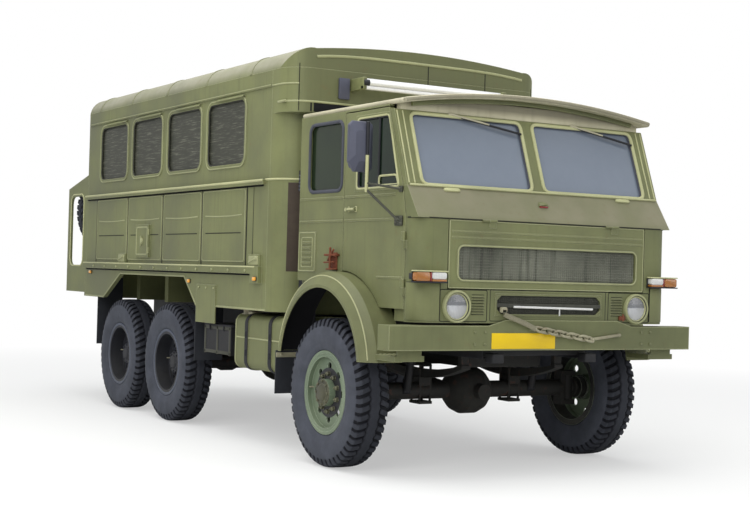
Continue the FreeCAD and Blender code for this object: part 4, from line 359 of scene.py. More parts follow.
# %% Painted steel
def painted(name, paint, shade, edge, rough=0.55, dust="#8F8A70", dust_top=1.15, dust_share=0.5,
            runs=0.35, faded=None, bleach_and_highlight_from=2.72, rust=0.0, edge_width=0.007, wear_and_highlight_share=0.75,
            painted_shade_within=0.0, painted_front_shade=None):
    """Enamel: clouds 0.7 m wide, runs 30 mm wide and 0.6 m long, dust below dust_top, pale folded edges that
    are worn paint with a painted highlight. Faces that look up above a given height turn paler: sun bleaching
    with a painted highlight. A near-black painted shade covers what lies nearer to the middle than a given
    distance, and upright end faces above 2.4 m take a darker colour as painted shade."""
    material, tree = new_material(name)
    place = add(tree, "TexCoord").outputs["Object"]
    clouds = add(tree, "TexNoise", {"Vector": place, "Scale": 1.4, "Detail": 6.0, "Roughness": 0.6})
    cloud = add(tree, "ValToRGB", {"Fac": clouds}, ramp=[(0.34, 0.0), (0.66, 1.0)])
    tone = add(tree, "Mix", {"Factor": cloud, 6: linear(shade), 7: linear(paint)}, data_type="RGBA")
    spread = add(tree, "Mapping", {"Vector": place, "Scale": (11.0, 11.0, 0.6)})
    streaks = add(tree, "TexNoise", {"Vector": spread, "Scale": 2.6, "Detail": 3.0})
    streak = add(tree, "MapRange",
                 {"Value": streaks, "From Min": 0.54, "From Max": 0.72, "To Min": 0.0, "To Max": runs})
    tone = add(tree, "Mix", {"Factor": streak, 6: tone, 7: linear(shade)}, data_type="RGBA")
    height = add(tree, "SeparateXYZ", {"Vector": place}).outputs["Z"]
    normal = add(tree, "SeparateXYZ", {"Vector": add(tree, "NewGeometry").outputs["Normal"]})
    # painted shade: high faces that look forwards or back are darkened towards the given colour
    if painted_front_shade:
        forward = add(tree, "Math", {0: normal.outputs["Y"]}, operation="ABSOLUTE")
        facing = add(tree, "MapRange", {"Value": forward, "From Min": 0.75, "From Max": 0.95})
        high = add(tree, "MapRange", {"Value": height, "From Min": 2.40, "From Max": 2.44, "To Max": 0.7})
        share = add(tree, "Math", {0: facing, 1: high}, operation="MULTIPLY")
        tone = add(tree, "Mix", {"Factor": share, 6: tone, 7: linear(painted_front_shade)}, data_type="RGBA")
    # paler faces that look up, high on the truck: sun bleaching with a painted highlight of the light from
    # above
    if faded:
        up = add(tree, "MapRange", {"Value": height, "From Min": bleach_and_highlight_from, "From Max": bleach_and_highlight_from + 0.10})
        open_sky = add(tree, "MapRange", {"Value": normal.outputs["Z"], "From Min": 0.08, "From Max": 0.45})
        sunlit = add(tree, "Math", {0: up, 1: open_sky}, operation="MULTIPLY")
        spots = add(tree, "TexNoise", {"Vector": place, "Scale": 4.0, "Detail": 5.0})
        mottle = add(tree, "MapRange",
                     {"Value": spots, "From Min": 0.35, "From Max": 0.65, "To Min": 1.0, "To Max": 0.55})
        bleach_and_highlight = add(tree, "Math", {0: sunlit, 1: mottle}, operation="MULTIPLY")
        tone = add(tree, "Mix", {"Factor": bleach_and_highlight, 6: tone, 7: linear(faded)}, data_type="RGBA")
    # painted shade: near black over what lies close to the middle, inside the wheels
    if painted_shade_within:
        out = add(tree, "Math", {0: add(tree, "SeparateXYZ", {"Vector": place}).outputs["X"]},
                  operation="ABSOLUTE")
        inboard = add(tree, "Math", {0: out, 1: painted_shade_within}, operation="LESS_THAN")
        tone = add(tree, "Mix", {"Factor": inboard, 6: tone, 7: linear("#15161B")}, data_type="RGBA")
    low = add(tree, "MapRange",
              {"Value": height, "From Min": 0.25, "From Max": dust_top, "To Min": dust_share, "To Max": 0.0})
    specks = add(tree, "TexNoise", {"Vector": place, "Scale": 7.0, "Detail": 8.0, "Roughness": 0.7})
    settled = add(tree, "Math", {0: low, 1: specks}, operation="MULTIPLY")
    tone = add(tree, "Mix", {"Factor": settled, 6: tone, 7: linear(dust)}, data_type="RGBA")
    if rust:
        spots = add(tree, "TexNoise", {"Vector": place, "Scale": 16.0, "Detail": 9.0, "Roughness": 0.75})
        spot = add(tree, "MapRange",
                   {"Value": spots, "From Min": 0.60 - 0.12 * rust, "From Max": 0.68, "To Max": rust})
        tone = add(tree, "Mix", {"Factor": spot, 6: tone, 7: linear("#6E3A22")}, data_type="RGBA")
    # pale folded edges: worn paint with a painted highlight
    rounded = add(tree, "Bevel", {"Radius": edge_width}, samples=4)
    true_face = add(tree, "NewGeometry").outputs["Normal"]
    turn = add(tree, "VectorMath", {0: rounded, 1: true_face}, operation="DOT_PRODUCT")
    fold = add(tree, "MapRange", {"Value": turn, "From Min": 0.985, "From Max": 0.80, "To Max": wear_and_highlight_share})
    worn = add(tree, "Mix", {"Factor": fold, 6: tone, 7: linear(edge)}, data_type="RGBA")
    grain = add(tree, "TexNoise", {"Vector": place, "Scale": 170.0, "Detail": 2.0})
    bumps = add(tree, "Bump", {"Height": grain, "Strength": 0.25, "Distance": 0.0008, "Normal": rounded})
    gloss = add(tree, "MapRange", {"Value": clouds, "From Min": 0.3, "From Max": 0.7,
                                   "To Min": rough - 0.07, "To Max": rough + 0.1})
    coat = add(tree, "BsdfPrincipled",
               {"Base Color": worn, "Roughness": gloss, "Normal": bumps, "IOR": 1.5,
                "Specular IOR Level": 0.35})
    add(tree, "OutputMaterial", {"Surface": coat})
    return material


# high end faces darken as painted shade; high faces that look up turn paler, sun bleaching with a painted
# highlight
olive_enamel = painted("olive_enamel", "#767A50", "#5D6040", "#A8A984", faded="#93917D", rust=0.15,
                       painted_front_shade="#53563A", dust="#75735A", dust_share=0.35)
# a darker copy of the olive enamel: painted shade for the bumper, cab front and fuel tank
shaded_olive = painted("shaded_olive_enamel", "#6C704A", "#565A3A", "#9E9F7C", faded="#78755E", rust=0.15,
                       dust="#6C6A52", dust_share=0.3, bleach_and_highlight_from=1.62)
# the roof's front edge is darkened as painted shade
cab_cream = painted("cream_roof_paint", "#BDB79C", "#98937A", "#D2CCB4", painted_front_shade="#4E4A3A", runs=0.4,
                    dust_share=0.0, wear_and_highlight_share=0.4)
# inboard of 1.06 m the front rims take near black as painted shade
rim_green = painted("pale_green_rim_enamel", "#7C8A72", "#61705A", "#B4BFA8", dust_top=0.9, dust_share=0.3,
                    dust="#6E6B55", painted_shade_within=1.06)
spare_green = painted("spare_rim_enamel", "#5C6654", "#454D40", "#8F9A86", dust_top=0.9, dust_share=0.2)
# painted shade: the middle and rear rims and each disc's middle are near black, the rear rings dark blue-grey
rim_painted_shade = painted("rim_painted_shade_enamel", "#1E2029", "#101118", "#3A3F4E", dust_top=0.9, dust_share=0.1)
rear_ring_painted_shade = painted("rear_ring_painted_shade_enamel", "#4C5260", "#343846", "#7A8296", dust_top=0.9, dust_share=0.1)
hub_brown = painted("oily_hub_enamel", "#57573F", "#2C2C22", "#8E8E70", dust_top=0.9, dust_share=0.2, rust=0.2)
chassis_black = painted("chassis_black", "#131419", "#0C0D12", "#30313A", rough=0.6, dust="#3E3B34",
                        dust_share=0.25, dust_top=1.3, runs=0.0, rust=0.1)
dark_casting = painted("dusty_cast_iron", "#1C1C1A", "#101011", "#403E38", rough=0.7, dust="#4A463C",
                       dust_share=0.3, dust_top=0.9, runs=0.0, rust=0.3)
worn_steel = painted("worn_beige_steel", "#A39F85", "#7C7863", "#C9C5AE", rough=0.5, dust_share=0.2, runs=0.0,
                     rust=0.5, edge_width=0.003)
rusted_steel = painted("rusted_steel", "#7E4228", "#4E281A", "#9A6244", rough=0.75, dust_share=0.1, runs=0.2)
rusty_pipe = painted("scaled_exhaust_steel", "#5A4A3E", "#3A2C24", "#7A6452", rough=0.75, dust_share=0.2,
                     runs=0.1, rust=0.7)
# near black: seams between panels, and painted shade in creases and louvre slots
seam_and_shade_black = painted("black_seam_and_painted_shade", "#17180F", "#101109", "#2C2D20", rough=0.8, dust_share=0.1, runs=0.0)
dark_bracket = painted("dark_bracket_enamel", "#3C3D33", "#26271F", "#6A6B58", dust_share=0.1, runs=0.2)
# pale beads and edges: rubbed paint with a painted highlight where light catches them
pale_wear_and_highlight = painted("worn_pale_paint_and_highlight", "#B9B98A", "#9C9D74", "#CFCFA8", dust_share=0.15, runs=0.2)
olive_wear_and_highlight = painted("worn_olive_edge_and_highlight", "#9A9C74", "#7F825C", "#B9BA94", dust_share=0.15, runs=0.2)
plate_yellow = painted("blank_yellow_plate", "#E3C003", "#CDAB04", "#EFD65A", rough=0.4, dust_share=0.1,
                       runs=0.1, wear_and_highlight_share=0.2)
print("painted finishes:", len(bpy.data.materials))

# %% [markdown]
# ## Rubber, glass and lamps
# Tyre rubber greys where the sidewall dries and stays near black in the tread, so the tyre mesh carries a
# number, wear, that is 1 on the sidewall and 0 in the grooves. The windscreen is old laminated glass whose
# grey is a painted reflection. The body windows are wired panes: fine wires every 12 mm show as thin streaks.

# %% Rubber
def rubber(name, tread, wall, rough=0.8, by_wear=False):
    """Vulcanised rubber: dry grey clouds 0.2 m wide; by_wear mixes tread to wall by the mesh's own number."""
    material, tree = new_material(name)
    place = add(tree, "TexCoord").outputs["Object"]
    clouds = add(tree, "TexNoise", {"Vector": place, "Scale": 6.0, "Detail": 6.0, "Roughness": 0.65})
    share = add(tree, "MapRange",
                {"Value": clouds, "From Min": 0.3, "From Max": 0.7, "To Min": 0.55, "To Max": 1.0})
    if by_wear:
        worn = add(tree, "Attribute", attribute_name="wear")
        share = add(tree, "Math", {0: share, 1: worn.outputs["Fac"]}, operation="MULTIPLY")
    tone = add(tree, "Mix", {"Factor": share, 6: linear(tread), 7: linear(wall)}, data_type="RGBA")
    grain = add(tree, "TexNoise", {"Vector": place, "Scale": 240.0, "Detail": 3.0})
    bumps = add(tree, "Bump", {"Height": grain, "Strength": 0.3, "Distance": 0.0006})
    body = add(tree, "BsdfPrincipled",
               {"Base Color": tone, "Roughness": rough, "Normal": bumps, "Specular IOR Level": 0.25})
    add(tree, "OutputMaterial", {"Surface": body})
    return material


tyre_rubber = rubber("tyre_rubber", "#121319", "#4C4F58", by_wear=True)
plain_tyre = rubber("plain_tyre_rubber", "#15161C", "#33353C")
flap_rubber = rubber("mudflap_sheet_rubber", "#1B1C20", "#2C2E33", rough=0.7)
gasket_rubber = rubber("weathered_gasket_rubber", "#33343A", "#4A4C55", rough=0.65)
dark_gasket = rubber("dark_window_rubber", "#22231F", "#34352E", rough=0.75)
black_trim = rubber("black_moulded_plastic", "#17181B", "#26272B", rough=0.5)
grey_trim = rubber("grey_moulded_plastic", "#3E404B", "#505260", rough=0.45)
# near black: underseal, and painted shade under the overhang, under the rails and inside the arches
underseal_and_painted_shade = rubber("black_underbody_coat_and_painted_shade", "#08080B", "#101014", rough=0.9)
# dark brown painted shade for the body's front corners
corner_painted_shade = rubber("brown_corner_painted_shade", "#2A2420", "#4C4238", rough=0.8)
print("rubber and plastic:", tyre_rubber.name, gasket_rubber.name, grey_trim.name)

# %% Glass
def window(name, tone, dirt_and_reflection, clear=0.35, rough=0.12, wire=0.0, side_tone=None, gloss=0.5):
    """Old glass: a share of clear, refracting glass and a share of colour that scatters, which on the
    windscreen is a painted reflection; wires every 12 mm.
    With side_tone, panes more than 0.97 m out from the middle take that tone."""
    material, tree = new_material(name)
    place = add(tree, "TexCoord").outputs["Object"]
    clouds = add(tree, "TexNoise", {"Vector": place, "Scale": 3.2, "Detail": 7.0, "Roughness": 0.65})
    shade = add(tree, "Mix", {"Factor": clouds, 6: linear(tone), 7: linear(dirt_and_reflection)}, data_type="RGBA")
    if wire:
        stretch = add(tree, "Mapping",
                      {"Vector": place, "Rotation": (1.15, 0.0, 0.0), "Scale": (1.0, 0.5, 9.0)})
        threads = add(tree, "TexNoise", {"Vector": stretch, "Scale": 9.0, "Detail": 8.0, "Roughness": 0.75})
        line = add(tree, "MapRange", {"Value": threads, "From Min": 0.52, "From Max": 0.66, "To Max": wire})
        shade = add(tree, "Mix", {"Factor": line, 6: shade, 7: linear("#8B8B7A")}, data_type="RGBA")
    if side_tone:
        out = add(tree, "Math", {0: add(tree, "SeparateXYZ", {"Vector": place}).outputs["X"]},
                  operation="ABSOLUTE")
        far = add(tree, "Math", {0: out, 1: 0.97}, operation="GREATER_THAN")
        greens = add(tree, "Mix", {"Factor": clouds, 6: linear(side_tone), 7: linear("#2E3B24")},
                     data_type="RGBA")
        shade = add(tree, "Mix", {"Factor": far, 6: shade, 7: greens}, data_type="RGBA")
        gloss = add(tree, "MapRange", {"Value": far, "To Min": gloss, "To Max": 0.12})
    glass = add(tree, "BsdfPrincipled",
                {"Base Color": shade, "Roughness": rough, "IOR": 1.5, "Specular IOR Level": gloss,
                 "Transmission Weight": clear})
    add(tree, "OutputMaterial", {"Surface": glass})
    return material


# the windscreen's grey is a painted reflection
screen_glass = window("windscreen_glass_painted_reflection", "#7C8592", "#6E7886", clear=0.15, rough=0.18,
                      side_tone="#16201A")
door_glass = window("dark_green_door_glass", "#1E3020", "#0E1712", clear=0.06, rough=0.12, gloss=0.15)
wired_pane = window("wired_body_pane", "#3C3D32", "#2E2F27", clear=0.05, rough=0.5, wire=0.6, gloss=0.2)
mirror_glass = window("silvered_mirror_glass", "#5A5B70", "#4A4B60", clear=0.0, rough=0.12)


def lens_plastic(name, tone, clear=0.5, rough=0.15, painted_reflection_above=None):
    """Moulded lens: ribs 12 mm apart bend the light behind a tinted face; above a given height in metres it
    takes a grey painted reflection.
    """
    material, tree = new_material(name)
    place = add(tree, "TexCoord").outputs["Object"]
    ribs = add(tree, "TexWave", {"Vector": place, "Scale": 26.0, "Distortion": 0.0},
               wave_type="BANDS", bands_direction="X")
    shade = add(tree, "MapRange", {"Value": ribs.outputs["Fac"], "To Min": 0.85, "To Max": 1.0})
    tint = add(tree, "Mix", {"Factor": shade, 6: linear("#55555A"), 7: linear(tone)}, data_type="RGBA")
    # painted reflection: the glass above the given height is greyed
    if painted_reflection_above:
        height = add(tree, "SeparateXYZ", {"Vector": place}).outputs["Z"]
        top = add(tree, "MapRange",
                  {"Value": height, "From Min": painted_reflection_above, "From Max": painted_reflection_above + 0.008, "To Max": 0.75})
        tint = add(tree, "Mix", {"Factor": top, 6: tint, 7: linear("#70757C")}, data_type="RGBA")
    bumps = add(tree, "Bump", {"Height": ribs.outputs["Fac"], "Strength": 0.5, "Distance": 0.001})
    body = add(tree, "BsdfPrincipled",
               {"Base Color": tint, "Roughness": rough, "IOR": 1.49, "Transmission Weight": clear,
                "Normal": bumps, "Coat Weight": 0.4, "Coat Roughness": 0.08})
    add(tree, "OutputMaterial", {"Surface": body})
    return material


# the headlamp glass's grey upper part is a painted reflection
headlamp_glass = lens_plastic("ribbed_headlamp_glass", "#FAFBFC", clear=0.70, rough=0.10, painted_reflection_above=1.128)
amber_lens = lens_plastic("amber_lens", "#A5661E", clear=0.10)
marker_lens = lens_plastic("yellow_amber_lens", "#F0A41C", clear=0.10)
white_lens = lens_plastic("white_lens", "#D8D8D4", clear=0.10)
red_lens = lens_plastic("red_lens", "#8E1410", clear=0.15)
opal_tube = lens_plastic("opal_lamp_tube", "#EFEFEF", clear=0.05, rough=0.3)


def metal(name, tone, rough, fine=90.0):
    """Bare metal: brushed lines a few tenths of a millimetre apart, drawn as coarse as shows."""
    material, tree = new_material(name)
    place = add(tree, "TexCoord").outputs["Object"]
    lines = add(tree, "TexNoise", {"Vector": place, "Scale": fine, "Detail": 4.0})
    tint = add(tree, "Mix", {"Factor": lines, 6: linear(tone), 7: linear("#55565A")}, data_type="RGBA")
    mixed = add(tree, "Mix", {"Factor": 0.25, 6: linear(tone), 7: tint}, data_type="RGBA")
    gloss = add(tree, "MapRange", {"Value": lines, "To Min": rough * 0.8, "To Max": rough * 1.3})
    body = add(tree, "BsdfPrincipled", {"Base Color": mixed, "Roughness": gloss, "Metallic": 1.0})
    add(tree, "OutputMaterial", {"Surface": body})
    return material


lamp_chrome = metal("chromed_reflector", "#D9DBE0", 0.12)
mesh_wire = painted("painted_mesh_wire", "#8B8D7E", "#3F4138", "#B0B1A0", rough=0.6, dust_share=0.1, runs=0.9,
                    edge_width=0.001)
# a darker copy of the mesh wire for the lower grille
dark_mesh = painted("dark_lower_mesh_wire", "#45463D", "#24251F", "#8B8C7E", rough=0.6, dust_share=0.1, runs=0.9,
                     edge_width=0.001)
print("materials in all:", len(bpy.data.materials))

# %% [markdown]
# Seat covers and the tow strap are woven. A weave is two crossing sets of threads, so two wave patterns at
# right angles are multiplied; the real threads are under a millimetre, drawn at 4 to 6 mm so that they show.

# %% Cloth
def woven_cloth(name, thread, gap, pitch, rough=0.9, bands=("X", "Z"), soiled=0.35):
    """Two sets of waves, pitch metres from thread to thread, over clouds of soiling 0.15 m wide."""
    material, tree = new_material(name)
    place = add(tree, "TexCoord").outputs["Object"]
    waves = [add(tree, "TexWave", {"Vector": place, "Scale": 0.314 / pitch, "Distortion": 0.6, "Detail": 1.0},
                 wave_type="BANDS", bands_direction=way) for way in bands]
    weave = add(tree, "Math", {0: waves[0].outputs["Fac"], 1: waves[1].outputs["Fac"]}, operation="MULTIPLY")
    clouds = add(tree, "TexNoise", {"Vector": place, "Scale": 7.0, "Detail": 5.0})
    cloud = add(tree, "MapRange", {"Value": clouds, "From Min": 0.35, "From Max": 0.7, "To Max": soiled})
    cloth = add(tree, "Mix", {"Factor": weave, 6: linear(gap), 7: linear(thread)}, data_type="RGBA")
    tone = add(tree, "Mix", {"Factor": cloud, 6: cloth, 7: linear(gap)}, data_type="RGBA")
    bumps = add(tree, "Bump", {"Height": weave, "Strength": 0.5, "Distance": 0.0012})
    body = add(tree, "BsdfPrincipled",
               {"Base Color": tone, "Roughness": rough, "Normal": bumps, "Specular IOR Level": 0.2,
                "Sheen Weight": 0.25})
    add(tree, "OutputMaterial", {"Surface": body})
    return material


seat_cloth = woven_cloth("olive_seat_cloth", "#4B4A3A", "#2E2D24", 0.006)
beige_webbing = woven_cloth("beige_webbing", "#A8A48A", "#6E6A55", 0.004)
print("cloth:", seat_cloth.name, beige_webbing.name)

# %% [markdown]
# ## Finishes on the CAD solids
# Each CAD solid takes the finish of its material slot in the record; a short table names the exceptions.

# %% Give every solid its finish
FINISH_OF_SLOT = {"olive_paint": olive_enamel, "roof_sheet": cab_cream, "wheel_paint": rim_green,
                  "frame_paint": chassis_black, "cast_parts": dark_casting, "bare_steel": worn_steel,
                  "mesh_steel": mesh_wire, "tread": plain_tyre, "flap_rubber": flap_rubber,
                  "clear_glass": screen_glass, "body_pane": wired_pane, "lamp_chrome": lamp_chrome,
                  "amber_lens": amber_lens, "white_tube": opal_tube, "dark_plastic": black_trim,
                  "seat_cloth": seat_cloth, "strap_webbing": beige_webbing}
# the middle and rear rims take near black as painted shade
FINISH_OF_NODE = {"lower_grille": dark_mesh, "spare_rim": spare_green, "front_bumper": shaded_olive,
                  "cab_front": shaded_olive, "fuel_tank": shaded_olive, "door_glass_left": door_glass,
                  "door_glass_right": door_glass, "mirror": grey_trim,
                  **{"rim_" + place: rim_painted_shade for place in ("middle_left", "middle_right", "rear_left",
                                                            "rear_right")}}
SLOT_OF = {row["node"]: row["material_slot"] for row in frame["record"]["subparts"]}
for node_name, solid in frame["nodes"].items():
    finish = FINISH_OF_NODE.get(node_name, FINISH_OF_SLOT[SLOT_OF[node_name]])
    solid.data.materials.clear()
    solid.data.materials.append(finish)
print("solids with a finish:", len(frame["nodes"]))

# %% [markdown]
# ## Wheels
# A cross-country tyre has a smooth round sidewall and, over the shoulder, two rows of heavy lugs set half a
# step apart, with a zigzag rib between them. It could be carved lug by lug, but one grid does it: angle
# round the wheel against place across the tyre, with the radius lowered wherever a groove runs.

# %% Tyre surface
LUGS = 52
LUG_STEPS = np.array([0.00, 0.07, 0.30, 0.52, 0.58, 0.66, 0.82, 0.94])
GROOVE = 0.017
# place across the tyre from its middle, radius: half of the section, from the middle of the tread to the bead
TYRE_HALF = np.array([(0.000, 0.505), (0.012, 0.505), (0.024, 0.505), (0.030, 0.505), (0.036, 0.505),
                      (0.042, 0.5048), (0.052, 0.5044), (0.066, 0.5036), (0.080, 0.5020), (0.092, 0.4990),
                      (0.100, 0.4950), (0.106, 0.4890), (0.1105, 0.480), (0.1145, 0.468), (0.1175, 0.456),
                      (0.1195, 0.448), (0.1205, 0.446), (0.1240, 0.435), (0.1280, 0.415), (0.1298, 0.395),
                      (0.1290, 0.372), (0.1262, 0.350), (0.1225, 0.334), (0.1210, 0.331), (0.1195, 0.322),
                      (0.1150, 0.305), (0.1090, 0.293), (0.1040, 0.288), (0.0960, 0.286), (0.0955, 0.2555)])


def tyre(centre, axis="x"):
    """Radius = profile radius less the groove depth: full between lugs over the shoulder, and along a zigzag
    groove whose place across the tread swings with the angle. Each row's angle is sheared with its place."""
    section = np.vstack([TYRE_HALF[::-1] * (-1, 1), TYRE_HALF[1:]])
    across_tyre, radius = section[:, 0], section[:, 1]
    steps = (np.arange(LUGS)[:, None] + LUG_STEPS).ravel()
    away = np.abs(across_tyre)
    shear = 0.55 * np.clip((away - 0.03) / 0.08, 0, 1) + 0.5 * (across_tyre < 0)
    blend_mid = np.clip((0.03 - away) / 0.03, 0, 1)
    shear = shear * (1 - blend_mid) + 0.25 * blend_mid
    turn = (steps[:, None] + shear) / LUGS * 2 * np.pi
    part = np.broadcast_to((steps % 1)[:, None], turn.shape)
    in_groove = np.clip(np.minimum((part - 0.52) / 0.06, (1.0 - part) / 0.06), 0, 1)
    over_shoulder = np.clip((away - 0.036) / 0.006, 0, 1) * np.clip((0.1200 - away) / 0.002, 0, 1)
    fade = np.clip((radius - 0.446) / 0.02, 0, 1)
    swing = 0.034 + 0.009 * np.abs(2 * (steps % 1) - 1)[:, None]
    zigzag = np.exp(-((away[None] - swing) / 0.0045) ** 2)
    depth = GROOVE * np.maximum(in_groove * over_shoulder * fade, 0.8 * zigzag * (away < 0.06))
    height = radius[None] - depth
    narrow = depth * 0.25 * np.sign(across_tyre)[None] * (away > 0.1)
    rings = np.zeros((len(steps), len(section), 3))
    c, a, b = {"x": (0, 1, 2), "y": (1, 2, 0)}[axis]
    rings[..., c] = across_tyre[None] - narrow
    rings[..., a] = height * np.cos(turn)
    rings[..., b] = height * np.sin(turn)
    wear = np.where(radius < 0.452, 1.0, 0.62)[None] * (1 - np.clip(depth / GROOVE * 1.4, 0, 1))
    wear = np.where((away < 0.1)[None], wear * 0.55, wear)
    return skin(rings + np.asarray(centre, float), along=True), wear.ravel()


WHEEL_PLACES = ["front_right", "front_left", "middle_right", "middle_left", "rear_right", "rear_left"]
TYRE_CENTRE = {}
for place_name in WHEEL_PLACES + ["spare"]:
    node_name, body, axis = (("spare_tyre", "truck", "y") if place_name == "spare" else
                             ("tyre_" + place_name, "wheel_" + place_name, "x"))
    low, high = (np.array(corner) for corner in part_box(node_name))
    TYRE_CENTRE[place_name] = (low + high) / 2
    shape, worn = tyre(TYRE_CENTRE[place_name], axis)
    made = piece("treaded_" + node_name, [shape], tyre_rubber, body, sharp=42, values=worn)
    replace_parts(made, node_name)
print("tyre faces each:", len(shape[1]))

# %% [markdown]
# Each rim keeps its CAD solid and gains what is bolted or sprung on: the split lock ring that holds the
# tyre, a rolled lip, a ring of wheel nuts on studs, and the hub cap with its own small bolts.

# %% Rim details
# how far out from the wheel's middle the disc's face and the hub's end lie, then radii and numbers of bolts
FRONT_DISC, REAR_DISC, FRONT_HUB, REAR_HUB = 0.070, -0.020, 0.118, 0.030
NUT_RING, CAP_RING, NUTS, CAP_BOLTS = 0.128, 0.078, 10, 8


def around(axis_at, radius, count, phase=0.0):
    """Points on a ring about a wheel's axis: centre + radius * (0, cos, sin)."""
    t = np.arange(count) * 2 * np.pi / count + phase
    return np.stack([np.full(count, axis_at[0]), axis_at[1] + radius * np.cos(t),
                     axis_at[2] + radius * np.sin(t)], -1)


def ring_profile(inner, outer, low, high, edge):
    """A rectangle with cut corners as a closed (along, radius) profile."""
    return [(low + edge, inner), (high - edge, inner), (high, inner + edge), (high, outer - edge),
            (high - edge, outer), (low + edge, outer), (low, outer - edge), (low, inner + edge)]


def rim_trim(centre, side, disc, hub_end):
    """Lock ring, lip, nuts with studs and washers, hub cap and its bolts, valve; side is the way out."""
    x, y, z = centre
    flip = lambda profile: [(side * s, r) for s, r in profile]
    shapes = [lathe(flip(ring_profile(0.262, 0.2845, 0.100, 0.1085, 0.003)), centre, sides=72,
                    closed_profile=True),
              lathe(flip(ring_profile(0.246, 0.2515, 0.020, 0.104, 0.002)), centre, sides=72,
                    closed_profile=True)]
    nuts = []
    for spot in around((x + side * disc, y, z), NUT_RING, NUTS, 0.31):
        nuts.append(lathe(flip([(0, 0.019), (0.003, 0.019), (0.003, 0.0165), (0.019, 0.0165), (0.022, 0.013)]),
                          spot, sides=6))
        nuts.append(lathe(flip([(0, 0.008), (0.032, 0.008), (0.034, 0.006)]), spot, sides=8))
    cap = [(hub_end - 0.004, 0.092), (hub_end + 0.004, 0.092), (hub_end + 0.007, 0.089),
           (hub_end + 0.007, 0.060), (hub_end + 0.018, 0.052), (hub_end + 0.021, 0.046),
           (hub_end + 0.021, 0.004)]
    shapes.append(lathe(flip(cap), centre, sides=40))
    for spot in around((x + side * (hub_end + 0.006), y, z), CAP_RING, CAP_BOLTS):
        nuts.append(lathe(flip([(0, 0.0095), (0.008, 0.0095), (0.010, 0.0075)]), spot, sides=6))
    start = np.array([x + side * (disc - 0.002), y + 0.215, z + 0.02])
    valve = rod(start, start + (side * 0.03, 0.012, 0), 0.0055, 8)
    return shapes, nuts, valve


for place_name in WHEEL_PLACES:
    side = -1 if place_name.endswith("right") else 1
    front = place_name.startswith("front")
    disc, hub_end = (FRONT_DISC, FRONT_HUB) if front else (REAR_DISC, REAR_HUB)
    shapes, nuts, valve = rim_trim(TYRE_CENTRE[place_name], side, disc, hub_end)
    # a near-black ring over the disc's middle: painted shade
    corners = ((disc - 0.001, 0.090), (disc + 0.002, 0.090), (disc + 0.002, 0.168), (disc - 0.001, 0.168))
    plate = lathe([(side * s, r) for s, r in corners], TYRE_CENTRE[place_name], sides=56, closed_profile=True)
    body = "wheel_" + place_name
    piece("rim_rings_" + place_name, shapes[:2], rim_green if front else rear_ring_painted_shade, body)
    piece("hub_cap_" + place_name, shapes[2:], hub_brown if front else rim_painted_shade, body)
    piece("hub_painted_shade_" + place_name, [plate], rim_painted_shade, body)
    piece("wheel_nuts_" + place_name, nuts, hub_brown if front else rim_painted_shade, body, sharp=30)
    piece("tyre_valve_" + place_name, [valve], worn_steel, body)
print("rims dressed:", len(WHEEL_PLACES))

# %% [markdown]
# ## Cab side
# The doors are pressed from thin sheet; the swages that stiffen them are in the solids. What is added is what
# is rolled or pushed on afterwards: a rolled bead round each window, the rubber seals and the vent's bars. A
# bead is half an ellipse carried round a closed outline.

# %% Window frames and gaskets
CAB_SIDE = 1.045


def half_round(width, proud, steps=5):
    """Section of a bead on a flat sheet: half an ellipse, width across and proud high, sunk 2 mm."""
    t = np.linspace(0, np.pi, steps)
    curve = np.stack([width / 2 * np.cos(t), proud * np.sin(t)], -1)
    return np.vstack([curve, [(-width / 2, -0.002), (width / 2, -0.002)]])


def bead(path, width, proud, out, closed=False):
    """A half-round bead along a path on a sheet; out is the direction that the sheet faces."""
    return carried(path, half_round(width, proud), up=out, closed=closed)


def outline_loop(low, high, radius, plane, axis="x", steps=5):
    """A rounded rectangle standing in the plane x = plane (low and high in y, z) or y = plane (in x, z)."""
    centre = (np.asarray(low) + np.asarray(high)) / 2
    half = (np.asarray(high) - np.asarray(low)) / 2
    flat = rounded_loop(half[0], half[1], radius, steps) + centre
    still = np.full(len(flat), plane)
    columns = (still, flat[:, 0], flat[:, 1]) if axis == "x" else (flat[:, 0], still, flat[:, 1])
    return np.stack(columns, -1)


def rounded_corners(corners, radius, steps=4):
    """Rounds each corner of a closed polygon with a quadratic curve from radius before it to radius after."""
    corners = np.asarray(corners, float)
    before, after = np.roll(corners, 1, 0), np.roll(corners, -1, 0)
    start = corners + (before - corners) / np.linalg.norm(before - corners, axis=1, keepdims=True) * radius
    end = corners + (after - corners) / np.linalg.norm(after - corners, axis=1, keepdims=True) * radius
    t = np.linspace(0, 1, steps)[None, :, None]
    curve = (1 - t) ** 2 * start[:, None] + 2 * t * (1 - t) * corners[:, None] + t ** 2 * end[:, None]
    return curve.reshape(-1, corners.shape[1])


def on_doors(rows):
    """Each row's piece (name, shapes, slot, finish) on the right door, then mirrored on the left one."""
    for side, shapes_of in (("right", list), ("left", lambda shapes: [flipped(shape) for shape in shapes])):
        for name, shapes, slot, finish in rows:
            piece(name + "_" + side, shapes_of(shapes), finish, "door_" + side)


OUT_RIGHT = (-1, 0, 0)
door_window = rounded_corners([(back(0.250), 1.880), (back(0.790), 1.880), (back(0.790), 2.355),
                               (back(0.392), 2.355)], 0.03)
window_path = np.hstack([np.full((len(door_window), 1), -CAB_SIDE), door_window])
frame_bead = bead(window_path, 0.018, 0.006, OUT_RIGHT, closed=True)
on_doors([("door_window_frame", [frame_bead], "olive_paint", pale_wear_and_highlight)])

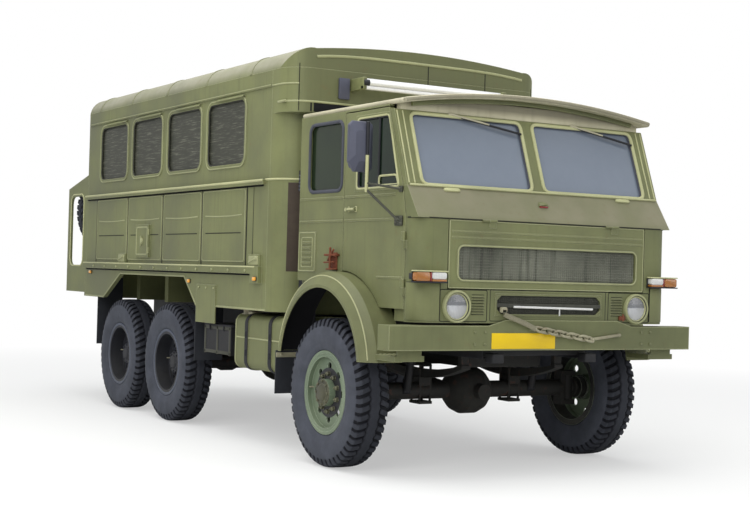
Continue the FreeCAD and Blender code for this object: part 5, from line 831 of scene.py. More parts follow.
gasket_path = outline_loop((back(0.985), 1.880), (back(1.460), 2.355), 0.06, -CAB_SIDE, steps=6)
piece("side_window_gaskets",
      both_sides([carried(gasket_path, half_round(0.026, 0.011), up=OUT_RIGHT, closed=True)]), gasket_rubber)
inner_frame = rounded_corners([(back(0.262), 1.890), (back(0.780), 1.890), (back(0.780), 2.345),
                               (back(0.392), 2.345)], 0.025)
seal = carried(np.hstack([np.full((len(inner_frame), 1), -CAB_SIDE + 0.010), inner_frame]),
               round_section(0.009, 6), up=OUT_RIGHT, closed=True)
vent_loop = rounded_corners([(back(0.272), 1.896), (back(0.515), 1.896), (back(0.515), 1.958),
                             (back(0.300), 1.958)], 0.022)
vent_path = np.hstack([np.full((len(vent_loop), 1), -CAB_SIDE + 0.010), vent_loop])
vent = [carried(vent_path, round_section(0.0075), up=OUT_RIGHT, closed=True)]
post = [rod(at(-CAB_SIDE + 0.012, 0.523, 1.885), at(-CAB_SIDE + 0.012, 0.523, 2.35), 0.008)]
on_doors([("door_glass_seal", [seal], "flap_rubber", black_trim),
          ("quarter_vent_frame", vent, "olive_paint", pale_wear_and_highlight),
          ("quarter_vent_post", post, "flap_rubber", black_trim)])
print("door window frame:", len(frame_bead[1]), "faces")

# %% [markdown]
# A door handle is a pull cast in one piece with its two feet, beside a push button. Low on the right side is
# a rust-red bracket that once held a tool.

# %% Handles and tool bracket
pull = [at(-CAB_SIDE - 0.002, 0.785, 1.747), at(-CAB_SIDE - 0.016, 0.795, 1.747),
        at(-CAB_SIDE - 0.020, 0.835, 1.747), at(-CAB_SIDE - 0.016, 0.875, 1.747),
        at(-CAB_SIDE - 0.002, 0.886, 1.747)]
handle = [carried(pull, rounded_loop(0.009, 0.006, 0.004, 2)),
          block(at(-CAB_SIDE - 0.004, 0.775, 1.728), at(-CAB_SIDE + 0.002, 0.80, 1.766), 0.002, 0.008, "x"),
          block(at(-CAB_SIDE - 0.004, 0.872, 1.728), at(-CAB_SIDE + 0.002, 0.897, 1.766), 0.002, 0.008, "x"),
          lathe([(-0.002, 0.013), (0.006, 0.013), (0.008, 0.010)], at(-CAB_SIDE - 0.007, 0.918, 1.747),
                sides=14)]
on_doors([("door_handle_detail", handle, "olive_paint", pale_wear_and_highlight)])

hatch = [bead(outline_loop((back(1.341), 1.324), (back(1.579), 1.594), 0.012, -CAB_SIDE - 0.006), 0.008, 0.003,
              OUT_RIGHT, closed=True),
         bead(outline_loop((back(1.380), 1.352), (back(1.540), 1.560), 0.012, -CAB_SIDE - 0.006), 0.008, 0.003,
              OUT_RIGHT, closed=True)]
piece("side_vent_beads", both_sides(hatch), olive_wear_and_highlight)

bracket = [block(at(-CAB_SIDE - 0.008, 1.02, 1.335), at(-CAB_SIDE + 0.001, 1.10, 1.455), 0.002, 0.006, "x"),
           block(at(-CAB_SIDE - 0.045, 1.01, 1.335), at(-CAB_SIDE - 0.002, 1.11, 1.345), 0.002, 0.006, "z"),
           block(at(-CAB_SIDE - 0.040, 0.985, 1.43), at(-CAB_SIDE - 0.002, 1.15, 1.445), 0.003, 0.007, "z"),
           rod(at(-CAB_SIDE - 0.038, 1.06, 1.34), at(-CAB_SIDE - 0.038, 1.06, 1.49), 0.008),
           rod(at(-CAB_SIDE - 0.045, 1.0, 1.475), at(-CAB_SIDE - 0.010, 1.14, 1.40), 0.007),
           rod(at(-CAB_SIDE - 0.030, 1.02, 1.39), at(-CAB_SIDE - 0.030, 1.16, 1.385), 0.006)]
piece("tool_bracket", bracket, rusted_steel)
print("fittings on the cab's side done")

# %% [markdown]
# ## Cab front
# The front is one flat wall with the windscreen leaning back above it. What breaks it up is the seam at the
# waist, the hinged grille panel with two creases, wire mesh in rounded frames, louvres, lamps in deep rings
# and the bumper with its tow gear.

# %% Windscreen beads and wipers
BASE = np.array(at(0.0, 0.150, 1.885))
TOP = np.array(at(0.0, 0.335, 2.385))
LEAN = (TOP - BASE) / np.linalg.norm(TOP - BASE)
FACE_OUT = np.cross((1, 0, 0), LEAN)
FACE_OUT = FACE_OUT if FACE_OUT[1] < 0 else -FACE_OUT


def on_screen(x, height, lift=0.0):
    """A point on the windscreen's outer plane at x and a height, lifted off it along its normal."""
    slope = (height - BASE[2]) / (TOP[2] - BASE[2])
    return BASE + (TOP - BASE) * slope + np.array((x, 0, 0)) + FACE_OUT * lift


panes = []
for side in (-1, 1):
    corners = [(side * 0.048, 1.896), (side * 0.930, 1.896), (side * 0.930, 2.368), (side * 0.048, 2.368)]
    flat = rounded_corners(corners, 0.05, 6)
    panes.append(np.array([on_screen(x, z) for x, z in flat]))
piece("windscreen_beads", [bead(path, 0.026, 0.010, FACE_OUT, closed=True) for path in panes], pale_wear_and_highlight)
inner = [path + (path.mean(0) - path) * 0.022 - FACE_OUT * 0.012 for path in panes]
piece("windscreen_seals", [carried(path, round_section(0.010, 6), up=FACE_OUT, closed=True)
                           for path in inner], gasket_rubber)
wiper_arms, wiper_blades = [], []
for pivot_x, tip_x in ((-0.62, -0.16), (0.40, 0.80)):
    pivot = on_screen(pivot_x, 2.378, 0.012)
    tip = on_screen(tip_x, 2.300, 0.018)
    wiper_arms += [rod(pivot, pivot * 0.35 + tip * 0.65, 0.006),
                   rod(on_screen(pivot_x, 2.378, 0.0), pivot, 0.012)]
    middle = pivot * 0.3 + tip * 0.7
    run = (tip - pivot) / np.linalg.norm(tip - pivot)
    wiper_blades.append(rod(middle - run * 0.24 - FACE_OUT * 0.008, middle + run * 0.24 - FACE_OUT * 0.008,
                            0.008, 6))
piece("wiper_arms", wiper_arms, cab_cream)
piece("wiper_blades", wiper_blades, black_trim)
print("windscreen plane leans", round(math.degrees(math.atan2(LEAN[1], LEAN[2])), 1), "degrees")

# %% Pillar folds, roof gutter and waist
pillar = [[on_screen(side * x, 1.90, 0.001), on_screen(side * x, 2.375, 0.001)] for side in (-1, 1)
          for x in (0.985, 1.028)]
folds = [bead(path, 0.010, 0.004, FACE_OUT) for path in pillar]
sill = [on_screen(x, 1.889, 0.004) for x in (-1.03, 1.03)]
folds.append(bead(sill, 0.016, 0.009, FACE_OUT))
piece("pillar_folds", folds, pale_wear_and_highlight)


def crowned(x, rise=0.090, half=1.030, edge=2.420):
    """Height of the cab roof's underside: edge at the sides, rise higher in the middle, as a circle's arc."""
    radius = (half ** 2 + rise ** 2) / (2 * rise)
    return edge + rise - radius + np.sqrt(radius ** 2 - x ** 2)


span = np.linspace(-1.026, 1.026, 41)
front_edge = np.stack([span, np.full(41, back(0.238)), crowned(span) + 0.014], -1)
piece("cab_roof_rolled_edge", [carried(front_edge, round_section(0.017))]
      + both_sides([rod(at(-1.024, 0.24, 2.434), at(-1.024, 1.598, 2.434), 0.017)]), cab_cream)
header = np.stack([span[2:-2], np.full(37, back(0.315)), crowned(span[2:-2]) - 0.012], -1)
piece("cab_header_fold", [carried(header, rounded_loop(0.012, 0.016, 0.006, 2))], olive_enamel)
corner = [(-CAB_SIDE + 0.12 - 0.122 * math.cos(a), back(0.13) - 0.122 * math.sin(a), 1.681)
          for a in np.linspace(0, math.pi / 2, 8)]
seam_line = np.array(corner + [at(x, 0.008, 1.681) for x in np.linspace(-0.90, 0.90, 9)]
                     + [(-x, y, z) for x, y, z in corner[::-1]])
piece("waist_seam", [carried(seam_line, rounded_loop(0.0035, 0.004, 0.002, 2))], seam_and_shade_black)
print("gutter runs", len(span), "points over the roof")

# %% [markdown]
# The mesh is woven: every second wire passes over, the next under, so both families of wires are waves that
# are half a period apart. A wave is cheap to carry a small diamond section along.

# %% Grille panel: frame bead, hem and woven mesh
PANEL_FACE = back(0.010)
OUT_FRONT = (0, -1, 0)
frame_path = outline_loop((-0.741, 1.291), (0.741, 1.513), 0.044, PANEL_FACE - 0.006, "y", 6)
piece("grille_frame_bead", [bead(frame_path, 0.011, 0.004, OUT_FRONT, closed=True)], olive_wear_and_highlight,
      body="grille_panel")
edge_path = outline_loop((-0.806, 1.243), (0.806, 1.672), 0.008, PANEL_FACE, "y", 3)
piece("grille_panel_hem", [bead(edge_path, 0.007, 0.003, OUT_FRONT, closed=True)], olive_wear_and_highlight,
      body="grille_panel")


def woven(low, high, plane, pitch, wire, amplitude):
    """Woven mesh in one plane: wire k runs along one axis and swings amplitude * (-1) ** (j + k) in y."""
    low, high = np.asarray(low, float), np.asarray(high, float)
    counts = np.maximum(((high - low) / pitch).astype(int), 2)
    lines = [low[i] + (np.arange(counts[i]) + 0.5) * (high[i] - low[i]) / counts[i] for i in (0, 1)]
    shapes = []
    diamond = round_section(wire, 4)
    for own, other, phase in ((0, 1, 0), (1, 0, 1)):
        stops = np.concatenate([[low[other]], lines[other], [high[other]]])
        for k, place in enumerate(lines[own]):
            swing = amplitude * np.where((np.arange(len(stops)) + k + phase) % 2, 1.0, -1.0)
            columns = [np.full(len(stops), place), np.full(len(stops), plane) + swing, stops]
            if own == 1:
                columns = [stops, columns[1], np.full(len(stops), place)]
            shapes.append(carried(np.stack(columns, -1), diamond, up=(0, 1, 0)))
    return shapes


mesh_wires = woven((-0.73, 1.302), (0.73, 1.502), back(0.019), 0.017, 0.0022, 0.0022)
piece("woven_grille_mesh", mesh_wires, mesh_wire, "grille_panel")
print("mesh wires:", len(mesh_wires))

# %% Lower grille and louvres
corner_fill = []
for sx in (-1, 1):
    for z0, z1 in ((1.080, 1.112), (1.200, 1.168)):
        tri = np.array([(sx * 0.431, PANEL_FACE - 0.0055, z0), (sx * 0.394, PANEL_FACE - 0.0055, z0),
                        (sx * 0.431, PANEL_FACE - 0.0055, z1)])
        corner_fill.append(skin(np.stack([tri, tri + (0, 0.014, 0)])))
piece("lower_grille_corners", corner_fill, olive_enamel)
panel_seam = outline_loop((-0.480, 1.035), (0.480, 1.236), 0.008, PANEL_FACE + 0.0005, "y", 3)
piece("lower_grille_seam", [bead(panel_seam, 0.006, 0.0015, OUT_FRONT, closed=True)], seam_and_shade_black)
lower_wires = woven((-0.425, 1.085), (0.425, 1.195), back(0.016), 0.015, 0.002, 0.002)
piece("woven_lower_mesh", lower_wires, dark_mesh)
bars = [rod(at(-0.30, -0.002, 1.128), at(0.36, -0.002, 1.118), 0.008),
        rod(at(0.08, 0.000, 1.122), at(0.08, 0.000, 1.072), 0.005)]
piece("lower_grille_bars", bars, white_lens)
lamp_plates = []
for side in (-1, 1):
    inner, outer = sorted((side * 0.505, side * 0.868))
    path = outline_loop((inner, 1.030), (outer, 1.232), 0.012, PANEL_FACE, "y", 3)
    lamp_plates.append(bead(path, 0.006, 0.0015, OUT_FRONT, closed=True))
piece("lamp_plate_seams", lamp_plates, seam_and_shade_black)
print("lower mesh wires:", len(lower_wires))

# %% [markdown]
# ## Lamps
# A headlamp is a deep pressed ring with a polished bowl behind a ribbed, slightly domed glass. All of it is
# turned work, so each piece is one profile swept round: (out, radius) pairs, out being towards the front.

# %% Headlamps
LAMP_X, LAMP_Z = 0.745, 1.125


def facing(profile, x, z, sides=56, plane=PANEL_FACE):
    """Turned work that looks forwards: (out, radius) becomes a ring of that radius at y = plane - out."""
    return lathe([(-out, radius) for out, radius in profile], (x, plane, z), "y", sides=sides,
                 closed_profile=True)


def dish(out, radius, depth, thick, hole=0.003, steps=9):
    """A paraboloid shell: out + depth * (1 - (r / radius) ** 2) in front, that less the thickness behind."""
    r = np.linspace(hole, radius, steps)
    front = out + depth * (1 - (r / radius) ** 2)
    return list(zip(front, r)) + list(zip(front[::-1] - thick, r[::-1]))


BEZEL = [(-0.003, 0.1045), (0.018, 0.1045), (0.024, 0.1025), (0.0275, 0.0975), (0.0275, 0.0935),
         (0.024, 0.0895), (0.012, 0.0865), (-0.003, 0.0860)]
LAMP_RIM = [(0.002, 0.0790), (0.013, 0.0790), (0.0165, 0.0815), (0.0165, 0.0845), (0.013, 0.0865),
            (0.002, 0.0865)]
bezels, rims, bowls, glasses = [], [], [], []
for x in (-LAMP_X, LAMP_X):
    bezels.append(facing(BEZEL, x, LAMP_Z))
    rims.append(facing(LAMP_RIM, x, LAMP_Z))
    bowls += [facing(dish(-0.052, 0.080, 0.056, -0.002)[::-1], x, LAMP_Z),
              facing([(-0.050, 0.002), (-0.020, 0.002), (-0.012, 0.010), (-0.020, 0.017), (-0.048, 0.017)], x,
                     LAMP_Z, 24)]
    glasses.append(facing(dish(0.008, 0.0815, 0.011, 0.004), x, LAMP_Z))
    for angle in (35, 155, 275):
        turn = math.radians(angle)
        bezels.append(facing([(0.024, 0.0015), (0.0295, 0.0015), (0.0295, 0.0045), (0.024, 0.0055)],
                             x + 0.0955 * math.cos(turn), LAMP_Z + 0.0955 * math.sin(turn), 10))
bezel = piece("headlamp_bezels", bezels, olive_wear_and_highlight, sharp=50)
seal = [facing([(0.001, 0.0855), (0.0215, 0.0865), (0.0215, 0.0885), (0.001, 0.0885)], x, LAMP_Z)
        for x in (-LAMP_X, LAMP_X)]
piece("headlamp_seals", seal, black_trim)
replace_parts(bezel, "headlamps")
piece("headlamp_rims", rims, pale_wear_and_highlight, sharp=50)
piece("headlamp_bowls", bowls, lamp_chrome, sharp=60)
piece("headlamp_glasses", glasses, headlamp_glass, sharp=60)
print("headlamps stand", round(PANEL_FACE - 0.0275 - NOSE, 4), "m from the bumper's face")

# %% [markdown]
# The indicators are amber outside and white inside, under a small hood. Flat side markers and tail lamps are
# the same: a dark base with moulded lens blocks whose edges are rounded.

# %% Indicators, markers and tail lamps
dark, amber, marker, white, red, hoods = [], [], [], [], [], []
front = PANEL_FACE
dark.append(block((0.843, front - 0.010, 1.2795), (1.087, front - 0.0005, 1.3410), 0.002, 0.006, "y"))
dark.append(block((0.935, front - 0.002, 1.290), (1.062, front + 0.070, 1.330), 0.004, 0.008, "y"))
dark.append(block((0.840, front - 0.052, 1.2712), (1.0905, front - 0.0005, 1.2795), 0.003, 0.006, "z"))
amber.append(block((0.972, front - 0.048, 1.2800), (1.084, front - 0.006, 1.3395), 0.008, 0.014, "y"))
red.append(block((0.960, front - 0.044, 1.2805), (0.971, front - 0.006, 1.3390), 0.002, 0.004, "y"))
white.append(block((0.848, front - 0.048, 1.2950), (0.959, front - 0.006, 1.3395), 0.008, 0.014, "y"))
amber.append(block((0.848, front - 0.047, 1.2800), (0.959, front - 0.006, 1.2945), 0.004, 0.006, "y"))
hoods.append(block((0.840, front - 0.0525, 1.3405), (1.0905, front - 0.0005, 1.3488), 0.003, 0.010, "z"))
for place, height, out in ((2.000, 1.235, 0.036), (3.300, 1.195, 0.0), (5.700, 1.235, 0.0)):
    face = 1.1405 + out
    dark.append(block(at(face, place, height), at(face + 0.005, place + 0.060, height + 0.034), 0.001,
                      0.004, "x"))
    marker.append(block(at(face + 0.004, place + 0.004, height + 0.003),
                        at(face + 0.0135, place + 0.056, height + 0.031), 0.003, 0.006, "x"))
rear = back(6.4805)
dark.append(block((0.910, rear, 1.100), (1.090, rear + 0.012, 1.180), 0.002, 0.008, "y"))
for shapes, x0, x1 in ((red, 1.032, 1.086), (amber, 0.974, 1.029), (white, 0.914, 0.971)):
    shapes.append(block((x0, rear + 0.010, 1.104), (x1, rear + 0.0295, 1.176), 0.006, 0.008, "y"))
SIGNALS = [("signal_lamp_bases", dark, "dark_plastic", black_trim),
           ("amber_lenses", amber, "amber_lens", amber_lens),
           ("marker_lenses", marker, "amber_lens", marker_lens),
           ("white_lenses", white, "amber_lens", white_lens), ("red_lenses", red, "amber_lens", red_lens),
           ("signal_lamp_hoods", hoods, "olive_paint", pale_wear_and_highlight)]
for name, shapes, slot, finish in SIGNALS:
    made = piece(name, both_sides(shapes), finish)
    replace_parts(made, "signal_lamps")
print("signal lamps:", sum(len(row[1]) for row in SIGNALS) * 2, "blocks")

# %% [markdown]
# ## Bumper and tow gear
# A webbing strap runs from a hook on the lower grille to a chain that hangs in front of the bumper, ending
# in a toggle pin. A chain link is a round bar bent into a loop with straight sides, so its path is a
# stadium; neighbouring links are turned a quarter turn from each other.

# %% Chain, strap, hook and plate
CHAIN_START = np.array(at(-0.120, -0.0236, 0.985))
CHAIN_END = np.array(at(0.345, -0.0236, 0.915))
LINKS, LINK_HALF, LINK_RUN, LINK_WIRE = 9, 0.0205, 0.0145, 0.0085


def stadium(half_run, radius, steps=7):
    """Two half circles of one radius, their centres half_run either side of the middle."""
    t = np.linspace(-np.pi / 2, np.pi / 2, steps)
    right = np.stack([half_run + radius * np.cos(t), radius * np.sin(t)], -1)
    return np.vstack([right, -right])


aim = (CHAIN_END - CHAIN_START) / np.linalg.norm(CHAIN_END - CHAIN_START)
wide = np.array((0.0, 1.0, 0.0))
tall = np.cross(aim, wide)
links = []
for k in range(LINKS):
    roll = math.radians((45, 135)[k % 2] + 5 * math.sin(3.1 * k))
    across_link = wide * math.cos(roll) + tall * math.sin(roll)
    normal = np.cross(aim, across_link)
    middle = CHAIN_START + (CHAIN_END - CHAIN_START) * (k + 0.5) / LINKS
    flat = stadium(LINK_RUN, LINK_HALF)
    path = middle + flat[:, :1] * aim + flat[:, 1:] * across_link
    links.append(carried(path, round_section(LINK_WIRE), up=normal, closed=True))
pin_start = CHAIN_END + (-0.008, 0.0122, 0.0)
pin_aim = np.array((math.cos(0.1194), 0.0, math.sin(0.1194)))
pin = rod(pin_start, pin_start + pin_aim * 0.268, 0.0105, 12)
knob = [rod(pin_start + pin_aim * s, pin_start + pin_aim * (s + 0.012), 0.0112, 12) for s in (0.002, 0.252)]
chain = piece("tow_chain_links", links + [pin] + knob, worn_steel, sharp=50)
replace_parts(chain, "tow_chain")

STRAP_ROUTE = np.array([(-0.390, 1.0800), (-0.330, 1.0540), (-0.235, 1.0330), (-0.134, 0.9850)])
STRAP_FACE = back(-0.0235)


def cubic(route, steps=17):
    """A cubic Bezier curve through the first and last of four points, pulled towards the middle two."""
    t = np.linspace(0, 1, steps)[:, None]
    a, b, c, d = route
    return (1 - t) ** 3 * a + 3 * t * (1 - t) ** 2 * b + 3 * t ** 2 * (1 - t) * c + t ** 3 * d


straps = []
for sink, out, half in ((0.0, 0.0, 0.0165), (-0.006, -0.0050, 0.0095)):
    line = cubic(STRAP_ROUTE + (0, sink))
    path = np.stack([line[:, 0], np.full(len(line), STRAP_FACE + out), line[:, 1]], -1)
    straps.append(carried(path, rounded_loop(0.0022, half, 0.0018, 2)))
webbing = piece("webbing_tow_strap", straps, beige_webbing, sharp=50)
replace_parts(webbing, "tow_strap")
t = np.linspace(-0.35 * np.pi, 1.05 * np.pi, 14)
curl = np.stack([-0.390 + 0.020 * np.cos(t), back(-0.012) - 0.006 * np.sin(t), 1.1 + 0.020 * np.sin(t)], -1)
hook = [carried(curl, round_section(0.0072), up=(0, 1, 0)),
        block(at(-0.415, -0.029, 1.090), at(-0.366, -0.004, 1.126), 0.006, 0.010, "y")]
piece("strap_hook", hook, worn_steel)

plate = [block(at(-0.468, -0.0035, 0.8545), at(0.048, 0.0005, 0.9575), 0.0015, 0.004, "y")]
piece("blank_front_plate", plate, plate_yellow)
lip = [rod(at(-1.240, 0.004, 0.8495), at(1.240, 0.004, 0.8495), 0.0045, 8)]
for x in (-1.240, 1.240):
    lip.append(rod(at(x, 0.004, 0.8495), at(x, 0.004, 1.0005), 0.0045, 8))
top = [(-1.240, 1.0005), (-0.490, 1.0005), (-0.360, 1.0385), (0.580, 1.0385), (0.710, 1.0005), (1.240, 1.0005)]
lip.append(carried([at(x, 0.004, z) for x, z in top], round_section(0.0045), up=(0, -1, 0)))
heads = [facing([(0.0, 0.0015), (0.007, 0.0015), (0.007, 0.009), (0.0, 0.011)], x, z, 6, plane=NOSE)
         for x in (-0.60, -0.52, 0.80, 0.88) for z in (0.885, 0.965)]
piece("bumper_folds", lip, olive_wear_and_highlight)
piece("bumper_bolts", heads, shaded_olive)
print("chain links:", len(links), "strap bands:", len(straps))

# %% [markdown]
# Small fittings break up the front: curved corner panels under the indicators, two oval lids on the sill of
# the windscreen, a hooded vent in the middle of the cowl and a rusty latch beside the left headlamp.

# %% Corner panels, lids, vent and latch
turn = np.linspace(0, np.pi / 2, 12)
plan = np.vstack([[(0.872, back(0.010))], np.stack([0.925 + 0.120 * np.sin(turn),
                                                    back(0.130) - 0.120 * np.cos(turn)], -1)])
corner_path = np.column_stack([plan, np.full(len(plan), 1.152)])
corner_plate = carried(corner_path, rounded_loop(0.0042, 0.118, 0.003, 2))
piece("bulged_corner_panels", both_sides([corner_plate]), olive_enamel)
seam_path = np.column_stack([plan + (0, -0.0005), np.full(len(plan), 1.272)])
panel_lines = [carried(seam_path, round_section(0.003, 6)),
               rod(at(0.8715, 0.0065, 1.036), at(0.8715, 0.0065, 1.272), 0.0032, 6)]
piece("corner_panel_seams", both_sides(panel_lines), seam_and_shade_black)
# dark strips in the louvres: painted shade
louvre_shades = [block((x0, PANEL_FACE - 0.0012, 1.0735 + 0.018 * k),
               (x0 + 0.095, PANEL_FACE + 0.001, 1.0775 + 0.018 * k), 0.0005, 0.001, "y", steps=2)
         for x0 in (-0.625, 0.530) for k in range(8)]
piece("louvre_painted_shade", louvre_shades, seam_and_shade_black)


def cowl_point(x, height, lift=0.0):
    """A point on the cowl between the waist and the windscreen, lifted off it along its normal."""
    share = (height - 1.680) / 0.205
    return np.array(at(x, 0.010 + 0.140 * share, height)) + np.array((0, -0.826, 0.564)) * lift


lids = []
for x in (-0.715, 0.715):
    ring = stadium(0.050, 0.013, 8)
    rings = [np.array([cowl_point(x + a * k, 1.868 + 0.8 * b * k, lift) for a, b in ring])
             for k, lift in ((1.0, -0.002), (1.0, 0.007), (0.9, 0.011), (0.3, 0.012))]
    lids.append(skin(np.array(rings)))
piece("sill_lids", lids, pale_wear_and_highlight)
scoop = []
for k in np.linspace(0, np.pi, 9):
    scoop.append([cowl_point(-0.010 + 0.042 * math.cos(k) * w, 1.792 + z, 0.024 * math.sin(k) * h)
                  for w, h, z in ((1.0, 1.0, 0.0), (1.0, 1.0, 0.010), (0.7, 0.3, 0.030), (0.6, -0.1, 0.030),
                                  (0.86, 0.0, 0.0))])
piece("cowl_vent_hood", [skin(np.array(scoop))], olive_enamel)
hollow = block(at(-0.044, 0.078, 1.786), at(0.024, 0.098, 1.806), 0.002, 0.004, "y")
piece("cowl_vent_inside", [hollow], red_lens)
latch = [block(at(0.598, -0.006, 1.046), at(0.650, 0.012, 1.074), 0.003, 0.005, "y"),
         rod(at(0.624, -0.010, 1.040), at(0.624, -0.010, 1.088), 0.006, 8)]
piece("rusty_latch", latch, rusted_steel)
print("front fittings done")

# %% [markdown]
# ## Mirror
# The mirror hangs on an upright bar that two arms hold off the door. Its housing is moulded, with wide
# chamfers that catch the light as facets; the glass faces the rear.

# %% Mirror
MIRROR_X, MIRROR_Y = -1.180, 0.430


def facet_shell(low, high, cut, depth_cut):
    """An eight-cornered outline in x and z, its corners cut, drawn in towards the front face by a chamfer."""
    (x0, y0, z0), (x1, y1, z1) = low, high
    outline = np.array([(x0 + cut, z0), (x1 - cut * 0.6, z0), (x1, z0 + cut * 0.6), (x1, z1 - cut * 0.5),
                        (x1 - cut * 0.5, z1), (x0 + cut * 0.6, z1), (x0, z1 - cut * 0.6), (x0, z0 + cut * 1.4)])
    middle = outline.mean(0)
    rings = []
    for y, share in ((y0, 0.60), (y0 + depth_cut, 0.97), (y0 + depth_cut + 0.006, 1.0), (y1 - 0.003, 1.0),
                     (y1, 0.975)):
        flat = middle + (outline - middle) * share
        rings.append(np.column_stack([flat[:, 0], np.full(8, y), flat[:, 1]]))
    return skin(np.array(rings))


housing = facet_shell(at(-1.3015, 0.4345, 1.971), at(-1.1225, 0.486, 2.299), 0.045, 0.026)
pane = block(at(-1.290, 0.4845, 1.990), at(-1.134, 0.4888, 2.282), 0.0015, 0.030, "y")
upper = rod(at(MIRROR_X, MIRROR_Y, 2.080), at(MIRROR_X, MIRROR_Y, 2.298), 0.0118, 12)
lower = rod(at(MIRROR_X, MIRROR_Y, 1.842), at(MIRROR_X, MIRROR_Y, 2.082), 0.0112, 12)
arms = [rod(at(-CAB_SIDE - 0.012, 0.230, 1.660), at(MIRROR_X, MIRROR_Y, 1.858), 0.0085, 10),
        rod(at(-CAB_SIDE - 0.012, 0.215, 1.862), at(MIRROR_X, MIRROR_Y, 1.900), 0.0080, 10),
        block(at(-CAB_SIDE - 0.0125, 0.188, 1.628), at(-CAB_SIDE - 0.0003, 0.278, 1.692), 0.002, 0.008, "x"),
        block(at(-CAB_SIDE - 0.0125, 0.195, 1.842), at(-CAB_SIDE - 0.0003, 0.235, 1.882), 0.002, 0.008, "x")]
arms += [bolt_head(at(-CAB_SIDE - 0.012, y, z), 0.008, 0.005, 0.007, 0.005) for y in (0.202, 0.264)
         for z in (1.642, 1.678)]
PARTS = [("mirror_housing", [housing], grey_trim, 20), ("mirror_pane", [pane], mirror_glass, 35),
         ("mirror_bar_top", [upper], black_trim, 35), ("mirror_bar_foot", [lower], pale_wear_and_highlight, 35),
         ("mirror_arms", arms, dark_bracket, 35)]
for name, shapes, finish, crease in PARTS:
    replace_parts(piece(name, shapes, finish, "door_right", sharp=crease), "mirror")
print("mirror stands out to x =", housing[0][:, 0].min().round(3))

# %% [markdown]
# ## Cargo body
# The solids hold the pressed sides, rails, window frames and roof seams. What makes such a body look built is
# what closes it: rubber round each pane, dark seams between the pressed panels, rolled edges drawn pale as
# rubbed paint with a painted highlight, bolts along the rail, and the thin rain rail that runs on round the
# front corners. The dark lines in the panel creases and under the rails are painted shade.

# %% Window rubbers and panel seams
BODY_SIDE, TOP_SIDE = 1.140, 1.130
BAYS = [2.293 + 0.830 * k for k in range(4)]
WINDOW_LOW, WINDOW_HIGH = 2.108, 2.655
rubbers, frames, seams = [], [], []
for bay in BAYS:
    inner = outline_loop((back(bay + 0.078), WINDOW_LOW + 0.030), (back(bay + 0.752), WINDOW_HIGH - 0.030),
                         0.066, -TOP_SIDE + 0.002)
    rubbers.append(carried(inner, half_round(0.016, 0.007), up=OUT_RIGHT, closed=True))
    outer = outline_loop((back(bay + 0.052), WINDOW_LOW + 0.004), (back(bay + 0.778), WINDOW_HIGH - 0.004),
                         0.090, -TOP_SIDE - 0.0065)
    frames.append(bead(outer, 0.010, 0.004, OUT_RIGHT, closed=True))
for bay in BAYS + [BAYS[-1] + 0.830]:
    y = back(bay - 0.020)
    seams.append(block((-BODY_SIDE - 0.0015, y - 0.009, 1.350), (-BODY_SIDE + 0.002, y + 0.009, 1.952), 0.0005,
                       0.001, "x"))
seams.append(block(at(-BODY_SIDE - 0.0012, 2.157, 1.350), at(-BODY_SIDE + 0.002, 2.164, 1.952), 0.0005,
                   0.001, "x"))
folds, lines = [], []
for bay in BAYS:
    y0, y1 = back(bay - 0.003), back(bay + 0.793)
    panel = outline_loop((y0 + 0.006, 1.380), (y1 - 0.006, 1.934), 0.030, -BODY_SIDE - 0.0055)
    folds.append(bead(panel, 0.008, 0.0025, OUT_RIGHT, closed=True))
    arc = [(-BODY_SIDE - 0.006, y, 1.742 - 0.012 * math.cos((y - (y0 + y1) / 2) * 3.6)) for y in
           np.linspace(y0 + 0.06, y1 - 0.06, 9)]
    folds.append(bead(arc, 0.011, 0.004, OUT_RIGHT))
    # a dark line along each panel's crease: painted shade
    lines.append(bead([(-BODY_SIDE - 0.006, y0 + 0.07, 1.600), (-BODY_SIDE - 0.006, y1 - 0.07, 1.600)], 0.008,
                      0.0025, OUT_RIGHT))
piece("pressed_panel_folds", both_sides(folds), olive_wear_and_highlight)
piece("pressed_panel_crease_shade", both_sides(lines), seam_and_shade_black)
piece("body_window_rubbers", both_sides(rubbers), dark_gasket)
piece("body_window_beads", both_sides(frames), olive_wear_and_highlight)
piece("panel_seams", both_sides(seams), seam_and_shade_black)
print("bays a side:", len(BAYS))

# %% Rolled rails
CORNER = 0.200


def round_the_corner(half, front, along_side, reach, height, stop=np.pi / 2, steps=9):
    """A plan path down the right side, round the front corner (an arc of one radius) and in to x = reach."""
    t = np.linspace(0, stop, steps)
    arc = np.stack([-half + CORNER - CORNER * np.cos(t), back(front + CORNER) - CORNER * np.sin(t)], -1)
    runs = [[(-half, back(along_side))], arc] + ([[(reach, back(front))]] if stop > 1.5 else [])
    plan = np.vstack(runs)
    return np.column_stack([plan, np.full(len(plan), height)])


rails = [rod(at(-BODY_SIDE - 0.026, 1.964, 1.984), at(-BODY_SIDE - 0.026, 5.860, 1.984), 0.0105),
         rod(at(-BODY_SIDE - 0.033, 2.052, 1.3415), at(-BODY_SIDE - 0.033, 5.862, 1.3415), 0.0065),
         carried(round_the_corner(BODY_SIDE, 1.720, 1.970, -0.02, 1.990), round_section(0.0085))]
piece("rolled_body_rails", both_sides(rails), pale_wear_and_highlight)
rain = [carried(round_the_corner(TOP_SIDE, 1.620, 1.925, 0, 2.683, stop=0.95), round_section(0.0065)),
        rod(at(-TOP_SIDE - 0.010, 1.925, 2.6885), at(-TOP_SIDE - 0.010, 5.868, 2.6885), 0.0040)]
piece("rain_rails", both_sides(rain), olive_wear_and_highlight)
arch = np.array([(3.182, 1.019), (3.441, 1.250), (4.929, 1.250), (5.368, 1.019)])
arch_path = np.column_stack([np.full(4, -BODY_SIDE), back(arch[:, 0]), arch[:, 1]])
